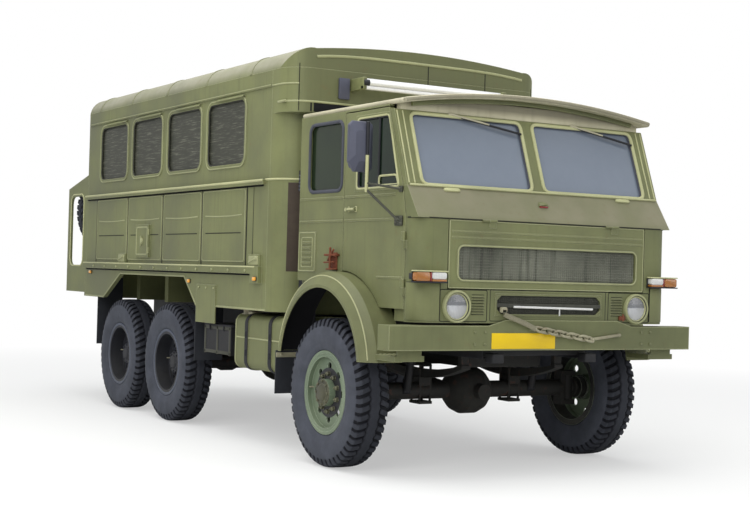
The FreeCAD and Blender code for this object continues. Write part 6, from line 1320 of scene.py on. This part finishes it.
skirt = [bead(arch_path, 0.016, 0.005, OUT_RIGHT),
         bead([at(-BODY_SIDE, 1.925, 1.023), at(-BODY_SIDE, 3.178, 1.023)], 0.014, 0.004, OUT_RIGHT),
         bead([at(-BODY_SIDE, 5.376, 1.023), at(-BODY_SIDE, 5.860, 1.023)], 0.014, 0.004, OUT_RIGHT)]
piece("skirt_folds", both_sides(skirt), olive_wear_and_highlight)
bolts = []
for y in np.arange(2.20, 5.86, 0.305):
    bolts.append(bolt_head(at(-BODY_SIDE - 0.036, y, 1.312), 0.011, 0.006, 0.0085, 0.008))
for y in (2.82, 2.965, 3.11):
    bolts.append(bolt_head(at(-BODY_SIDE - 0.010, y, 1.165), 0.010, 0.005, 0.0075, 0.007))
piece("rail_bolts", both_sides(bolts[:-3]) + bolts[-3:], olive_wear_and_highlight, sharp=30)
print("bolts a side:", len(bolts))

# %% [markdown]
# Two latches hold each side down to the rail: a plate, a pivot and a lever that points back. A small hatch
# with a turned knob sits above the rear wheels on the right.

# %% Latches and side hatch
latches = []
for place, width in ((2.000, 0.190), (4.765, 0.180)):
    face = -BODY_SIDE - 0.020
    latches += [block(at(face - 0.005, place + 0.018, 1.356), at(face + 0.001, place + width - 0.018, 1.424),
                      0.002, 0.008, "x"),
                rod(at(face - 0.010, place + 0.045, 1.404), at(face - 0.010, place + width - 0.030, 1.374),
                    0.007),
                lathe([(0.004, 0.014), (-0.014, 0.014), (-0.016, 0.010)], at(face, place + 0.045, 1.404),
                      sides=14)]
piece("side_latches", both_sides(latches), olive_wear_and_highlight)
lid = outline_loop((back(4.225), 1.425), (back(4.475), 1.665), 0.014, -BODY_SIDE - 0.026)
knob = [(0.001, 0.030), (-0.004, 0.030), (-0.005, 0.020), (-0.011, 0.018), (-0.013, 0.012)]
hatch = [bead(lid, 0.014, 0.005, OUT_RIGHT, closed=True),
         lathe(knob, at(-BODY_SIDE - 0.026, 4.350, 1.545), sides=20),
         block(at(-BODY_SIDE - 0.042, 4.343, 1.500), at(-BODY_SIDE - 0.030, 4.357, 1.590), 0.003, 0.005, "x")]
hatch += [rod(at(-BODY_SIDE - 0.022, 4.204, z), at(-BODY_SIDE - 0.022, 4.204, z + 0.05), 0.007)
          for z in (1.44, 1.60)]
piece("side_hatch_fittings", hatch, olive_wear_and_highlight)
print("latches and hatch done")

# %% [markdown]
# The hard top stands out over the cab as one blunt box. Its face has a fold near the top, two welded seams
# and a rolled lower edge; the lamp bar in front of it is an opal tube between two black holders.

# %% Overhang and lamp bar
low_edge = np.vstack([round_the_corner(TOP_SIDE - 0.004, 1.624, 1.716, -0.4, 2.482),
                      round_the_corner(TOP_SIDE - 0.004, 1.624, 1.716, 0.4, 2.482)[:-1][::-1] * (-1, 1, 1)])
low_edge = np.delete(low_edge, 10, 0)
# a black strip under the overhang's front: painted shadow
seal = low_edge[6:-6] + (0, 0, 0.033)
low_edge = low_edge + (0, 0, 0.072)
piece("overhang_painted_shadow_strip", [carried(seal, rounded_loop(0.005, 0.036, 0.003, 2))], underseal_and_painted_shade)
# dark lines under the belt rail and the side rail: painted shade
rail_shadow_strips = [block(at(-BODY_SIDE - 0.004, 2.0, low), at(-BODY_SIDE + 0.002, 5.860, low + 0.012), 0.001, 0.002,
                 "x") for low in (1.942, 1.276)]
piece("rail_painted_shadows", both_sides(rail_shadow_strips), underseal_and_painted_shade)
face = back(1.620)
overhang = [carried(low_edge, round_section(0.010))]
spot = np.array((-TOP_SIDE + CORNER - CORNER * math.cos(0.95), back(1.620 + CORNER) - CORNER * math.sin(0.95)))
lip = [rod((*spot, 2.486), (*spot, 2.830), 0.0035, 6)]
# dark brown strips on the body's front corners: painted shade
corner_shade_path = round_the_corner(BODY_SIDE, 1.720, 1.9, 0, 1.640, stop=1.49)[-4:]
strip = carried(corner_shade_path, rounded_loop(0.003, 0.325, 0.002, 2))
piece("front_corner_painted_shade", both_sides([strip]), corner_painted_shade)
overhang += both_sides(lip)
overhang += [block((x - 0.004, face - 0.0012, 2.495), (x + 0.004, face + 0.002, 2.925), 0.0005, 0.001, "y")
             for x in (0.040, 0.570)]
piece("overhang_edge", overhang[:1], olive_wear_and_highlight)
piece("overhang_seams", overhang[1:], seam_and_shade_black)
fold_line = [(x, face, 2.915 - 0.03 * (x / 0.92) ** 4) for x in np.linspace(-0.925, 0.925, 21)]
piece("overhang_fold", [bead(fold_line, 0.022, 0.007, OUT_FRONT)], olive_wear_and_highlight)

tube_y, tube_z = back(1.440), 2.705
opal = [lathe([(-0.595, 0.0205), (0.595, 0.0205)], (0, tube_y, tube_z), "x", sides=24)]
holders = []
for side in (-1, 1):
    ends = [(side * s, r) for s, r in ((0.590, 0.0235), (0.628, 0.0235), (0.634, 0.0195))]
    holders.append(lathe(ends, (0, tube_y, tube_z), "x", sides=24))
tray = [block(at(-0.640, 1.431, 2.656), at(0.640, 1.469, 2.684), 0.004, 0.008, "x"),
        block(at(-0.640, 1.4635, 2.680), at(0.640, 1.4695, 2.740), 0.002, 0.003, "x")]
arms = [block(at(x, 1.4305, 2.6555), at(x + 0.030, 1.6195, 2.7445), 0.003, 0.006, "x") for x in (-0.640, 0.610)]
plate = [block(at(-0.742, 1.600, 2.590), at(-0.655, 1.6205, 2.745), 0.003, 0.008, "y")]
tube = piece("opal_light_tube", opal, opal_tube)
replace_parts(tube, "light_bar")
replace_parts(piece("light_tube_holders", holders, black_trim), "light_bar")
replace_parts(piece("light_bar_tray", tray, opal_tube), "light_bar")
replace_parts(piece("light_bar_arms", arms, olive_enamel), "light_bar")
piece("light_bar_plate", plate, grey_trim)
print("lamp bar spans", 2 * 0.640, "m")

# %% [markdown]
# ## Below the body
# The fuel tank is a rolled box whose ends are seamed on, held by two dark steel straps over rubber. The
# mudguards are pressed in one piece and their outer edge is rolled round a wire, drawn as a pale line: rubbed
# paint with a painted highlight.

# %% Fuel tank
TANK_LOW, TANK_HIGH, TANK_CORNER = (-1.095, 0.560), (-0.535, 0.980), 0.070


def tank_loop(grow, y):
    """The tank's rounded outline in x and z, grown outwards, as a closed path at one y."""
    low, high = np.array(TANK_LOW), np.array(TANK_HIGH)
    half = (high - low) / 2 + grow
    flat = rounded_loop(half[0], half[1], TANK_CORNER + grow, 6) + (low + high) / 2
    return np.column_stack([flat[:, 0], np.full(len(flat), back(y)), flat[:, 1]])


def hoop(grow, y, width, thick):
    """A flat band round the tank: for each point of the outline, four corners in and out, before and behind."""
    rings = np.stack([tank_loop(grow + thick * a, y + width * b)
                      for a, b in ((0, -0.5), (1, -0.5), (1, 0.5), (0, 0.5))], 1)
    return skin(rings, along=True)


bands = [hoop(0.0055, y, 0.050, 0.0030) for y in (1.903, 2.303)]
buckles = [rod(at(-1.104, y, z), at(-1.104, y, z + 0.05), 0.008, 8) for y in (1.903, 2.303)
           for z in (0.66, 0.80)]
piece("tank_straps", bands + buckles, chassis_black)
seams = [hoop(-0.002, y, 0.012, 0.006) for y in (1.712, 2.498)]
seams.append(bead([at(-1.095, 1.72, 0.800), at(-1.095, 2.49, 0.800)], 0.012, 0.005, OUT_RIGHT))
piece("tank_end_seams", seams, olive_wear_and_highlight)
filler = [(0.000, 0.060), (0.006, 0.060), (0.006, 0.048), (0.034, 0.048), (0.036, 0.053), (0.052, 0.053),
          (0.057, 0.048), (0.057, 0.004), (0.000, 0.004)]
neck = [lathe(filler, at(-1.010, 2.440, 0.975), "z", sides=32, closed_profile=True),
        block(at(-1.018, 2.395, 1.030), at(-1.002, 2.485, 1.040), 0.003, 0.005, "z"),
        block(at(-1.060, 2.30, 0.978), at(-0.960, 2.37, 1.000), 0.004, 0.008, "z")]
piece("fuel_filler", neck, worn_steel)

# %% Battery box, air tanks and silencer
posts = []
for y in (2.606, 2.838, 3.070):
    posts.append(block(at(-1.0945, y, 0.640), at(-1.082, y + 0.028, 0.872), 0.002, 0.004, "z"))
for z in (0.645, 0.838):
    posts.append(block(at(-1.0945, 2.600, z), at(-1.082, 3.100, z + 0.026), 0.002, 0.004, "y"))
piece("battery_box_frame", posts, dark_bracket)
lid = [block(at(-1.096, 2.594, 0.862), at(-0.606, 3.106, 0.880), 0.006, 0.012, "z")]
lid += [rod(at(-1.099, y, 0.828), at(-1.099, y, 0.872), 0.006, 8) for y in (2.72, 2.98)]
piece("battery_box_lid", lid, chassis_black)
air = []
for z in (0.700, 0.900):
    dome = [(s, 0.0905 * math.sqrt(max(1 - s / 0.034, 0.0)) + 0.002) for s in (0.0, 0.012, 0.022, 0.030, 0.034)]
    air.append(lathe(dome, at(0.760, 2.5298, z), "y", sides=40))
    air.append(lathe([(-s, r) for s, r in dome], at(0.760, 1.7502, z), "y", sides=40))
    air += [lathe(ring_profile(0.0895, 0.0925, y, y + 0.030, 0.001), (0.760, NOSE, z), "y", sides=40,
                  closed_profile=True) for y in (1.860, 2.360)]
    air.append(rod(at(0.760, 2.12, z - 0.100), at(0.760, 2.12, z - 0.086), 0.010, 8))
piece("air_tank_ends", air, chassis_black)
drum = [lathe(ring_profile(0.108, 0.1135, y, y + 0.016, 0.002), (0.640, NOSE, 0.720), "y", sides=44,
              closed_profile=True) for y in (2.700, 2.900, 3.104)]
drum.append(lathe([(0.395, 0.0335), (0.430, 0.0335), (0.430, 0.028), (0.395, 0.028)], at(0.640, 2.760, 0.720),
                  "x", sides=24, closed_profile=True))
piece("silencer_bands", drum, rusty_pipe)
print("tank hoops:", len(bands) + len(seams))

# %% Mudguard edges, mudflap strips, steps
ARCH_Y, ARCH_Z = 0.960, 0.665
low_angle = math.asin((0.752 - ARCH_Z) / 0.556)
t = np.linspace(low_angle, np.pi - low_angle, 40)
edge = np.column_stack([np.full(40, -1.2180), back(ARCH_Y) - 0.5560 * np.cos(t), ARCH_Z + 0.5560 * np.sin(t)])
fold = np.column_stack([np.full(40, -1.1895), back(ARCH_Y) - 0.6305 * np.cos(t), ARCH_Z + 0.6305 * np.sin(t)])
fold = fold[fold[:, 2] > 0.752]
guard = [carried(edge, round_section(0.0068), up=(1, 0, 0)),
         carried(fold, round_section(0.0048, 6), up=(1, 0, 0))]
piece("mudguard_rolled_edges", both_sides(guard), pale_wear_and_highlight)
sweep = np.linspace(low_angle - 0.02, np.pi - low_angle + 0.02, 40)
# the near-black linings are underseal, and their darkness inside the arches is partly painted shade
lining = np.array([(-0.951, 0.6455), (-1.131, 0.6455), (-1.1835, 0.6150), (-1.2105, 0.5690),
                   (-1.2095, 0.5680), (-1.1820, 0.6130), (-1.1300, 0.6435), (-0.951, 0.6435)])
rings = np.stack([np.column_stack([lining[:, 0], back(ARCH_Y) - lining[:, 1] * math.cos(a),
                                   ARCH_Z + lining[:, 1] * math.sin(a)]) for a in sweep])
piece("mudguard_linings", both_sides([skin(rings)]), underseal_and_painted_shade)
strips, nuts = [], []
for y, x0, x1, z in ((1.602, -1.200, -0.850, 0.700), (3.285, -1.095, -0.845, 1.200),
                     (5.630, -1.095, -0.845, 1.200)):
    strips.append(block(at(x0, y - 0.006, z), at(x1, y + 0.0005, z + 0.035), 0.002, 0.004, "y"))
    for x in np.linspace(x0 + 0.04, x1 - 0.04, 3):
        nuts.append(bolt_head(at(x, y - 0.006, z + 0.0175), 0.009, 0.006, 0.008, 0.006, "y"))
piece("mudflap_strips", both_sides(strips + nuts), worn_steel)
tread = []
for x in np.linspace(0.955, 1.125, 6):
    for y in np.linspace(0.090, 0.285, 6):
        tread.append(block(at(x - 0.004, y - 0.010, 0.806), at(x + 0.004, y + 0.010, 0.8105), 0.0015, 0.002,
                           "z", steps=2))
piece("step_treads", both_sides(tread), pale_wear_and_highlight)
intake = [block(at(-1.014, 1.6135, 1.905 + 0.026 * k), at(-0.856, 1.6165, 1.917 + 0.026 * k), 0.001, 0.002, "y")
          for k in range(5)]
intake += [block(at(-1.0125, 1.618, 1.905 + 0.026 * k), at(-1.0085, 1.686, 1.917 + 0.026 * k), 0.001, 0.002,
                 "x") for k in range(5)]
piece("air_intake_slats", intake, grey_trim)
print("step treads:", len(tread) * 2)

# %% [markdown]
# ## Rear
# Nothing of the rear shows from the front corner, so it is finished as such trucks are: a ribbed door with a
# drop handle, rolled edges on the carrier's plates, a clamp on the spare wheel and a pin coupling.

# %% Spare wheel
def turned_to_rear(shape, centre):
    """Turns a shape made round the x axis so that its outside, +x, looks to +y: (x, y, z) to (-y, x, z)."""
    points, faces = shape
    return np.stack([-points[:, 1], points[:, 0], points[:, 2]], -1) + np.asarray(centre), faces


shapes, nuts, valve = rim_trim((0.0, 0.0, 0.0), 1, FRONT_DISC, FRONT_DISC - 0.004)
spare = TYRE_CENTRE["spare"]
piece("spare_rim_ring", [turned_to_rear(shape, spare) for shape in shapes[:2] + [valve]], rim_green)
clamp_y = spare[1] + FRONT_DISC
clamp = [block((spare[0] - 0.150, clamp_y + 0.002, spare[2] - 0.030),
               (spare[0] + 0.150, clamp_y + 0.014, spare[2] + 0.030), 0.003, 0.012, "y"),
         lathe([(0.014, 0.052), (0.020, 0.052), (0.024, 0.030), (0.060, 0.026), (0.064, 0.020)],
               (spare[0], clamp_y, spare[2]), "y", sides=6),
         rod((spare[0] - 0.09, clamp_y + 0.052, spare[2]), (spare[0] + 0.09, clamp_y + 0.052, spare[2]), 0.009)]
piece("spare_wheel_clamp", clamp, worn_steel)
print("spare wheel at", spare.round(3))

# %% Rear door and carrier
REAR_FACE = back(5.905)
OUT_REAR = (0, 1, 0)
ribs = [bead([(x, REAR_FACE, 1.44), (x, REAR_FACE, 2.50)], 0.030, 0.007, OUT_REAR) for x in (0.24, 0.47, 0.70)]
ribs.append(bead(outline_loop((0.085, 1.375), (0.855, 2.575), 0.05, REAR_FACE, "y"), 0.020, 0.007, OUT_REAR,
                 closed=True))
piece("rear_door_ribs", ribs, olive_enamel, body="rear_door")
grip = [rod((0.133, REAR_FACE + 0.026, 1.79), (0.133, REAR_FACE + 0.026, 1.93), 0.009),
        rod((0.133, REAR_FACE + 0.020, 1.86), (0.250, REAR_FACE + 0.020, 1.83), 0.010),
        lathe([(0.0, 0.030), (0.006, 0.030), (0.009, 0.022)], (0.133, REAR_FACE, 1.86), "y", sides=20)]
piece("rear_door_latch", grip, olive_wear_and_highlight, "rear_door")
wall = [bead([(x, REAR_FACE, 1.30), (x, REAR_FACE, 1.93)], 0.040, 0.006, OUT_REAR) for x in (-0.25, -1.00)]
wall += [bead([(x, REAR_FACE, 2.06), (x, REAR_FACE, 2.74)], 0.030, 0.005, OUT_REAR)
         for x in (-1.00, -0.20, 1.00)]
wall.append(bead([(-1.12, REAR_FACE, 1.995), (0.04, REAR_FACE, 1.995)], 0.028, 0.010, OUT_REAR))
frame_line = [(0.045, REAR_FACE, 1.34), (0.045, REAR_FACE, 2.615), (0.900, REAR_FACE, 2.615)]
wall.append(bead(rounded_corners(frame_line + [(0.900, REAR_FACE, 2.614)], 0.0005, 2)[2:-2], 0.014, 0.006,
                 OUT_REAR))
piece("rear_wall_ribs", wall, olive_enamel)
OPENING_LOW, OPENING_HIGH = (back(6.015), 1.310), (back(6.395), 2.020)
carrier = [bead(outline_loop(OPENING_LOW, OPENING_HIGH, 0.080, x, steps=6), 0.014, 0.006, out, closed=True)
           for x, out in ((-1.130, OUT_RIGHT), (-0.055, (1, 0, 0)))]
piece("carrier_opening_beads", carrier, pale_wear_and_highlight)
box_trim = [rod(at(-1.125, 6.474, z), at(1.125, 6.474, z), 0.0055, 8) for z in (1.057, 1.234)]
box_trim += [rod(at(x, 6.474, 1.057), at(x, 6.474, 1.234), 0.0055, 8) for x in (-1.125, 1.125)]
steps = [block(at(x - 0.004, y - 0.012, 1.2385), at(x + 0.004, y + 0.012, 1.243), 0.0015, 0.002, "z", steps=2)
         for x in np.linspace(0.10, 0.84, 14) for y in np.linspace(6.02, 6.42, 8)]
piece("carrier_box_edges", box_trim, olive_wear_and_highlight)
piece("rear_step_treads", steps, olive_wear_and_highlight)
coupling = [lathe(ring_profile(0.0265, 0.048, 0.845, 0.852, 0.001), at(0.0, 6.020, 0.0), "z", sides=28,
                  closed_profile=True),
            lathe(ring_profile(0.0265, 0.048, 0.9195, 0.9265, 0.001), at(0.0, 6.020, 0.0), "z", sides=28,
                  closed_profile=True)]
piece("coupling_bushes", coupling, worn_steel)
print("rear pieces done")

# %% [markdown]
# ## Seats
# Each seat is a sprung cushion, a tall back and a small headrest on a steel box. A pad is cloth round
# stuffing: the stuffing pushes evenly, the seams hold the edge, so the faces crown and the sides pull in
# between the corners. Blender's cloth with pressure does just that, from a form a little smaller than the
# finished pad. The sewn channels are pressed in afterwards, because remeshing would wipe them out.

# %% Pad by cloth pressure
# metres: grid of the remesh, how much smaller the form starts, how far a point may move; then force and frames
VOXEL, SHRINK, SWELL, PRESSURE, STEPS = 0.008, 0.016, 0.022, 4.0, 20


def modified_mesh(thing):
    """A new mesh as the object's modifiers leave it."""
    seen = thing.evaluated_get(bpy.context.evaluated_depsgraph_get())
    return bpy.data.meshes.new_from_object(seen)


def points_of(mesh):
    """The mesh's points as rows of x, y, z."""
    flat = np.empty(len(mesh.vertices) * 3, np.float32)
    mesh.vertices.foreach_get("co", flat)
    return flat.reshape(-1, 3).astype(float)


def swollen(low, high, axis, corner):
    """A rounded block, remeshed and blown up by cloth pressure; no point moves further than SWELL."""
    start = block(low + SHRINK, high - SHRINK, 0.030, corner, axis, steps=6)
    mesh = bpy.data.meshes.new("pad_start")
    mesh.from_pydata(start[0].tolist(), [], start[1])
    thing = bpy.data.objects.new("pad_start", mesh)
    bpy.context.scene.collection.objects.link(thing)
    grid = thing.modifiers.new("grid", "REMESH")
    grid.mode, grid.voxel_size = "VOXEL", VOXEL
    thing.data = modified_mesh(thing)
    thing.modifiers.clear()
    before = points_of(thing.data)
    cloth = thing.modifiers.new("cloth", "CLOTH")
    cloth.settings.use_pressure = True
    cloth.settings.uniform_pressure_force = PRESSURE
    cloth.settings.effector_weights.gravity = 0.0
    for step in range(1, STEPS + 1):
        bpy.context.scene.frame_set(step)
    after = points_of(modified_mesh(thing))
    bpy.context.scene.frame_set(1)
    step = after - before
    far = np.linalg.norm(step, axis=1, keepdims=True)
    before = before + step * np.minimum(1.0, SWELL / np.maximum(far, 1e-9))
    loops = [list(face.vertices) for face in thing.data.polygons]
    bpy.data.objects.remove(thing)
    return np.clip(before, low + 0.0005, high - 0.0005), loops


def channelled(points, low, high, across, out, lines, depth=0.009, wide=0.010):
    """Sewn channels: out' = out - depth * sum exp(-((across - line) / wide)^2), on the half facing out."""
    made = points.copy()
    side, way = out
    middle = (low[side] + high[side]) / 2
    share = np.clip((points[:, side] - middle) * way / (high[side] - low[side]) * 4, 0, 1)
    press = sum(np.exp(-((points[:, across] - line) / wide) ** 2) for line in lines)
    made[:, side] -= way * depth * share * press
    return made


print("pads swell by at most", SWELL, "m")

# %% Seat pads
BASE_TOP, SEAT_BACK = 1.525, back(1.330)
# name, low and high corner, axis across the form, corner radius, the side that faces out, x of the sewn lines
PADS = [("cushion", at(-0.870, 0.860, BASE_TOP), at(-0.400, 1.3285, 1.655), "z", 0.070, (2, 1),
         (-0.76, -0.51)),
        ("back", (-0.870, SEAT_BACK, 1.566), at(-0.400, 1.440, 2.203), "y", 0.075, (1, -1), (-0.76, -0.51)),
        ("head", at(-0.740, 1.340, 2.205), at(-0.530, 1.430, 2.354), "y", 0.035, (1, -1), ())]
for kind, low, high, axis, corner, out, lines in PADS:
    low, high = np.array(low), np.array(high)
    shape, loops = swollen(low, high, axis, corner)
    if lines:
        shape = channelled(shape, low, high, 0, out, lines)
        cross = 1 if kind == "cushion" else 2
        shape = channelled(shape, low, high, cross, out, ((low[cross] + high[cross]) / 2,), depth=0.006)
    for name, turned in (("right", (shape, loops)), ("left", flipped((shape, loops)))):
        pad = piece(f"seat_{kind}_{name}", [turned], seat_cloth, sharp=180)
        smooth = pad.modifiers.new("smooth", "SUBSURF")
        smooth.levels = smooth.render_levels = 1
        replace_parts(pad, "seats")
    print(kind, len(shape), "points")

# %% [markdown]
# Piping, a cord sewn into the seam, runs round the top edge of each cushion and the front edge of each back.
# The pads stand on folded steel boxes with a flanged foot and a pressed rib round the sides.

# %% Piping, boxes and backs
piping, metalwork, posts = [], [], []
front, rear = back(0.860) + 0.010, back(1.3285) - 0.012
ring = rounded_corners([(-0.860, front), (-0.410, front), (-0.410, rear), (-0.860, rear)], 0.065)
piping.append(carried(np.column_stack([ring, np.full(len(ring), 1.627)]), round_section(0.0055), closed=True))
ring = rounded_corners([(-0.860, 1.580), (-0.410, 1.580), (-0.410, 2.190), (-0.860, 2.190)], 0.070)
piping.append(carried(np.column_stack([ring[:, 0], np.full(len(ring), SEAT_BACK + 0.026), ring[:, 1]]),
                      round_section(0.0055), up=(0, 1, 0), closed=True))
CAB_FLOOR = 1.2653
metalwork.append(block(at(-0.849, 0.901, CAB_FLOOR), at(-0.421, 1.339, BASE_TOP - 0.0003), 0.004, 0.030, "z"))
metalwork.append(block(at(-0.8495, 0.9005, CAB_FLOOR), at(-0.4205, 1.3395, CAB_FLOOR + 0.006), 0.002, 0.020,
                       "z"))
for height in (1.330, 1.455):
    loop = rounded_corners([(-0.8492, back(0.9008)), (-0.4208, back(0.9008)), (-0.4208, back(1.3392)),
                            (-0.8492, back(1.3392))], 0.030)
    metalwork.append(carried(np.column_stack([loop, np.full(len(loop), height)]), round_section(0.005),
                             closed=True))
for x in (-0.70, -0.57):
    posts.append(rod(at(x, 1.385, 2.180), at(x, 1.385, 2.225), 0.008))
for name, shapes, slot, finish in (("seat_piping", piping, "seat_cloth", seat_cloth),
                                   ("seat_boxes", metalwork, "olive_paint", olive_enamel),
                                   ("headrest_posts", posts, "bare_steel", worn_steel)):
    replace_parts(piece(name, both_sides(shapes), finish), "seats")

# %% [markdown]
# The dashboard carries round instruments in bezels in front of the driver and a rail for the passenger; the
# floor is covered by a ribbed rubber mat on each side.

# %% Instruments and mats
DASH = back(0.358)
dials, glasses = [], []
for x, z, radius in ((-0.700, 1.735, 0.050), (-0.575, 1.735, 0.050), (-0.470, 1.745, 0.028),
                     (-0.470, 1.680, 0.028), (-0.640, 1.660, 0.022)):
    ring = [(0.0, radius * 0.86), (0.006, radius * 0.90), (0.006, radius), (0.0, radius * 1.02)]
    dials.append(lathe(ring, (x, DASH, z), "y", sides=32, closed_profile=True))
    glasses.append(lathe([(0.0002, radius * 0.85), (0.003, radius * 0.85)], (x, DASH, z), "y", sides=32))
rail = carried([(0.34, DASH + 0.002, 1.700), (0.35, DASH + 0.030, 1.700), (0.40, DASH + 0.038, 1.700),
                (0.80, DASH + 0.038, 1.700), (0.85, DASH + 0.030, 1.700), (0.86, DASH + 0.002, 1.700)],
               round_section(0.009, 10))
piece("instrument_bezels", dials, worn_steel)
piece("instrument_faces", glasses, black_trim)
piece("passenger_rail", [rail], worn_steel)
mats = []
for start in np.arange(0.45, 0.84, 0.03):
    mats.append(block(at(0.44, start, 1.2654), at(0.92, start + 0.018, 1.2710), 0.002, 0.004, "z"))
piece("floor_mat_ribs", both_sides(mats), flap_rubber)

# %% [markdown]
# ## Under the truck
# The front axle hangs on two leaf springs. U-bolts clamp each spring to its pad, clips hold the leaves
# together, and a telescopic damper stands beside it. All of it is black and oily.

# %% Springs and dampers
AXLE_Y, SPRING_X, AXLE_Z = back(0.945), 0.385, 0.505
bolts, clips, dampers = [], [], []
for y in (-0.052, 0.052):
    for x in (-0.043, 0.043):
        bolts.append(rod((-SPRING_X + x, AXLE_Y + y, AXLE_Z - 0.085), (-SPRING_X + x, AXLE_Y + y, 0.690), 0.009,
                         10))
    bolts.append(rod((-SPRING_X - 0.050, AXLE_Y + y, 0.686), (-SPRING_X + 0.050, AXLE_Y + y, 0.686), 0.010, 10))
clips.append(block((-SPRING_X - 0.055, AXLE_Y - 0.070, AXLE_Z - 0.090),
                   (-SPRING_X + 0.055, AXLE_Y + 0.070, AXLE_Z - 0.070), 0.003, 0.010, "z"))
top, foot = np.array((-0.540, AXLE_Y - 0.140, 0.900)), np.array((-0.540, AXLE_Y - 0.050, 0.505))
dampers += [rod(top, top + (foot - top) * 0.52, 0.036, 20), rod(top + (foot - top) * 0.50, foot, 0.029, 20)]
dampers += [rod(top + (-0.035, 0, 0), top + (0.125, 0, 0), 0.016, 14),
            rod(foot + (-0.032, 0, 0), foot + (0.032, 0, 0), 0.020, 14)]
piece("spring_bolts", both_sides(bolts), dark_casting)
piece("spring_plates", both_sides(clips), dark_casting)
piece("front_dampers", both_sides(dampers), chassis_black)
ring = [(0.0, 0.150), (-0.010, 0.156), (-0.018, 0.150), (-0.018, 0.135), (0.0, 0.135)]
cover = [lathe(ring, (0, AXLE_Y - 0.060, AXLE_Z), "y", sides=40, closed_profile=True)]
piece("axle_cover_ring", cover, dark_casting)
brackets = [block(at(-0.43, 0.030, 0.760), at(-0.34, 0.120, 0.820), 0.005, 0.010, "z")]
piece("bumper_brackets", both_sides(brackets), chassis_black)

# %% [markdown]
# ## Measure and finish
# Every added piece is printed with its number of faces. The visual model has to stay
# inside the box of the CAD model.

# %% Face counts
for made_name, face_count in MADE:
    print(f"{made_name}: {face_count} faces")
print("pieces:", len(MADE), "faces:", sum(count for _, count in MADE))
bpy.context.view_layer.update()
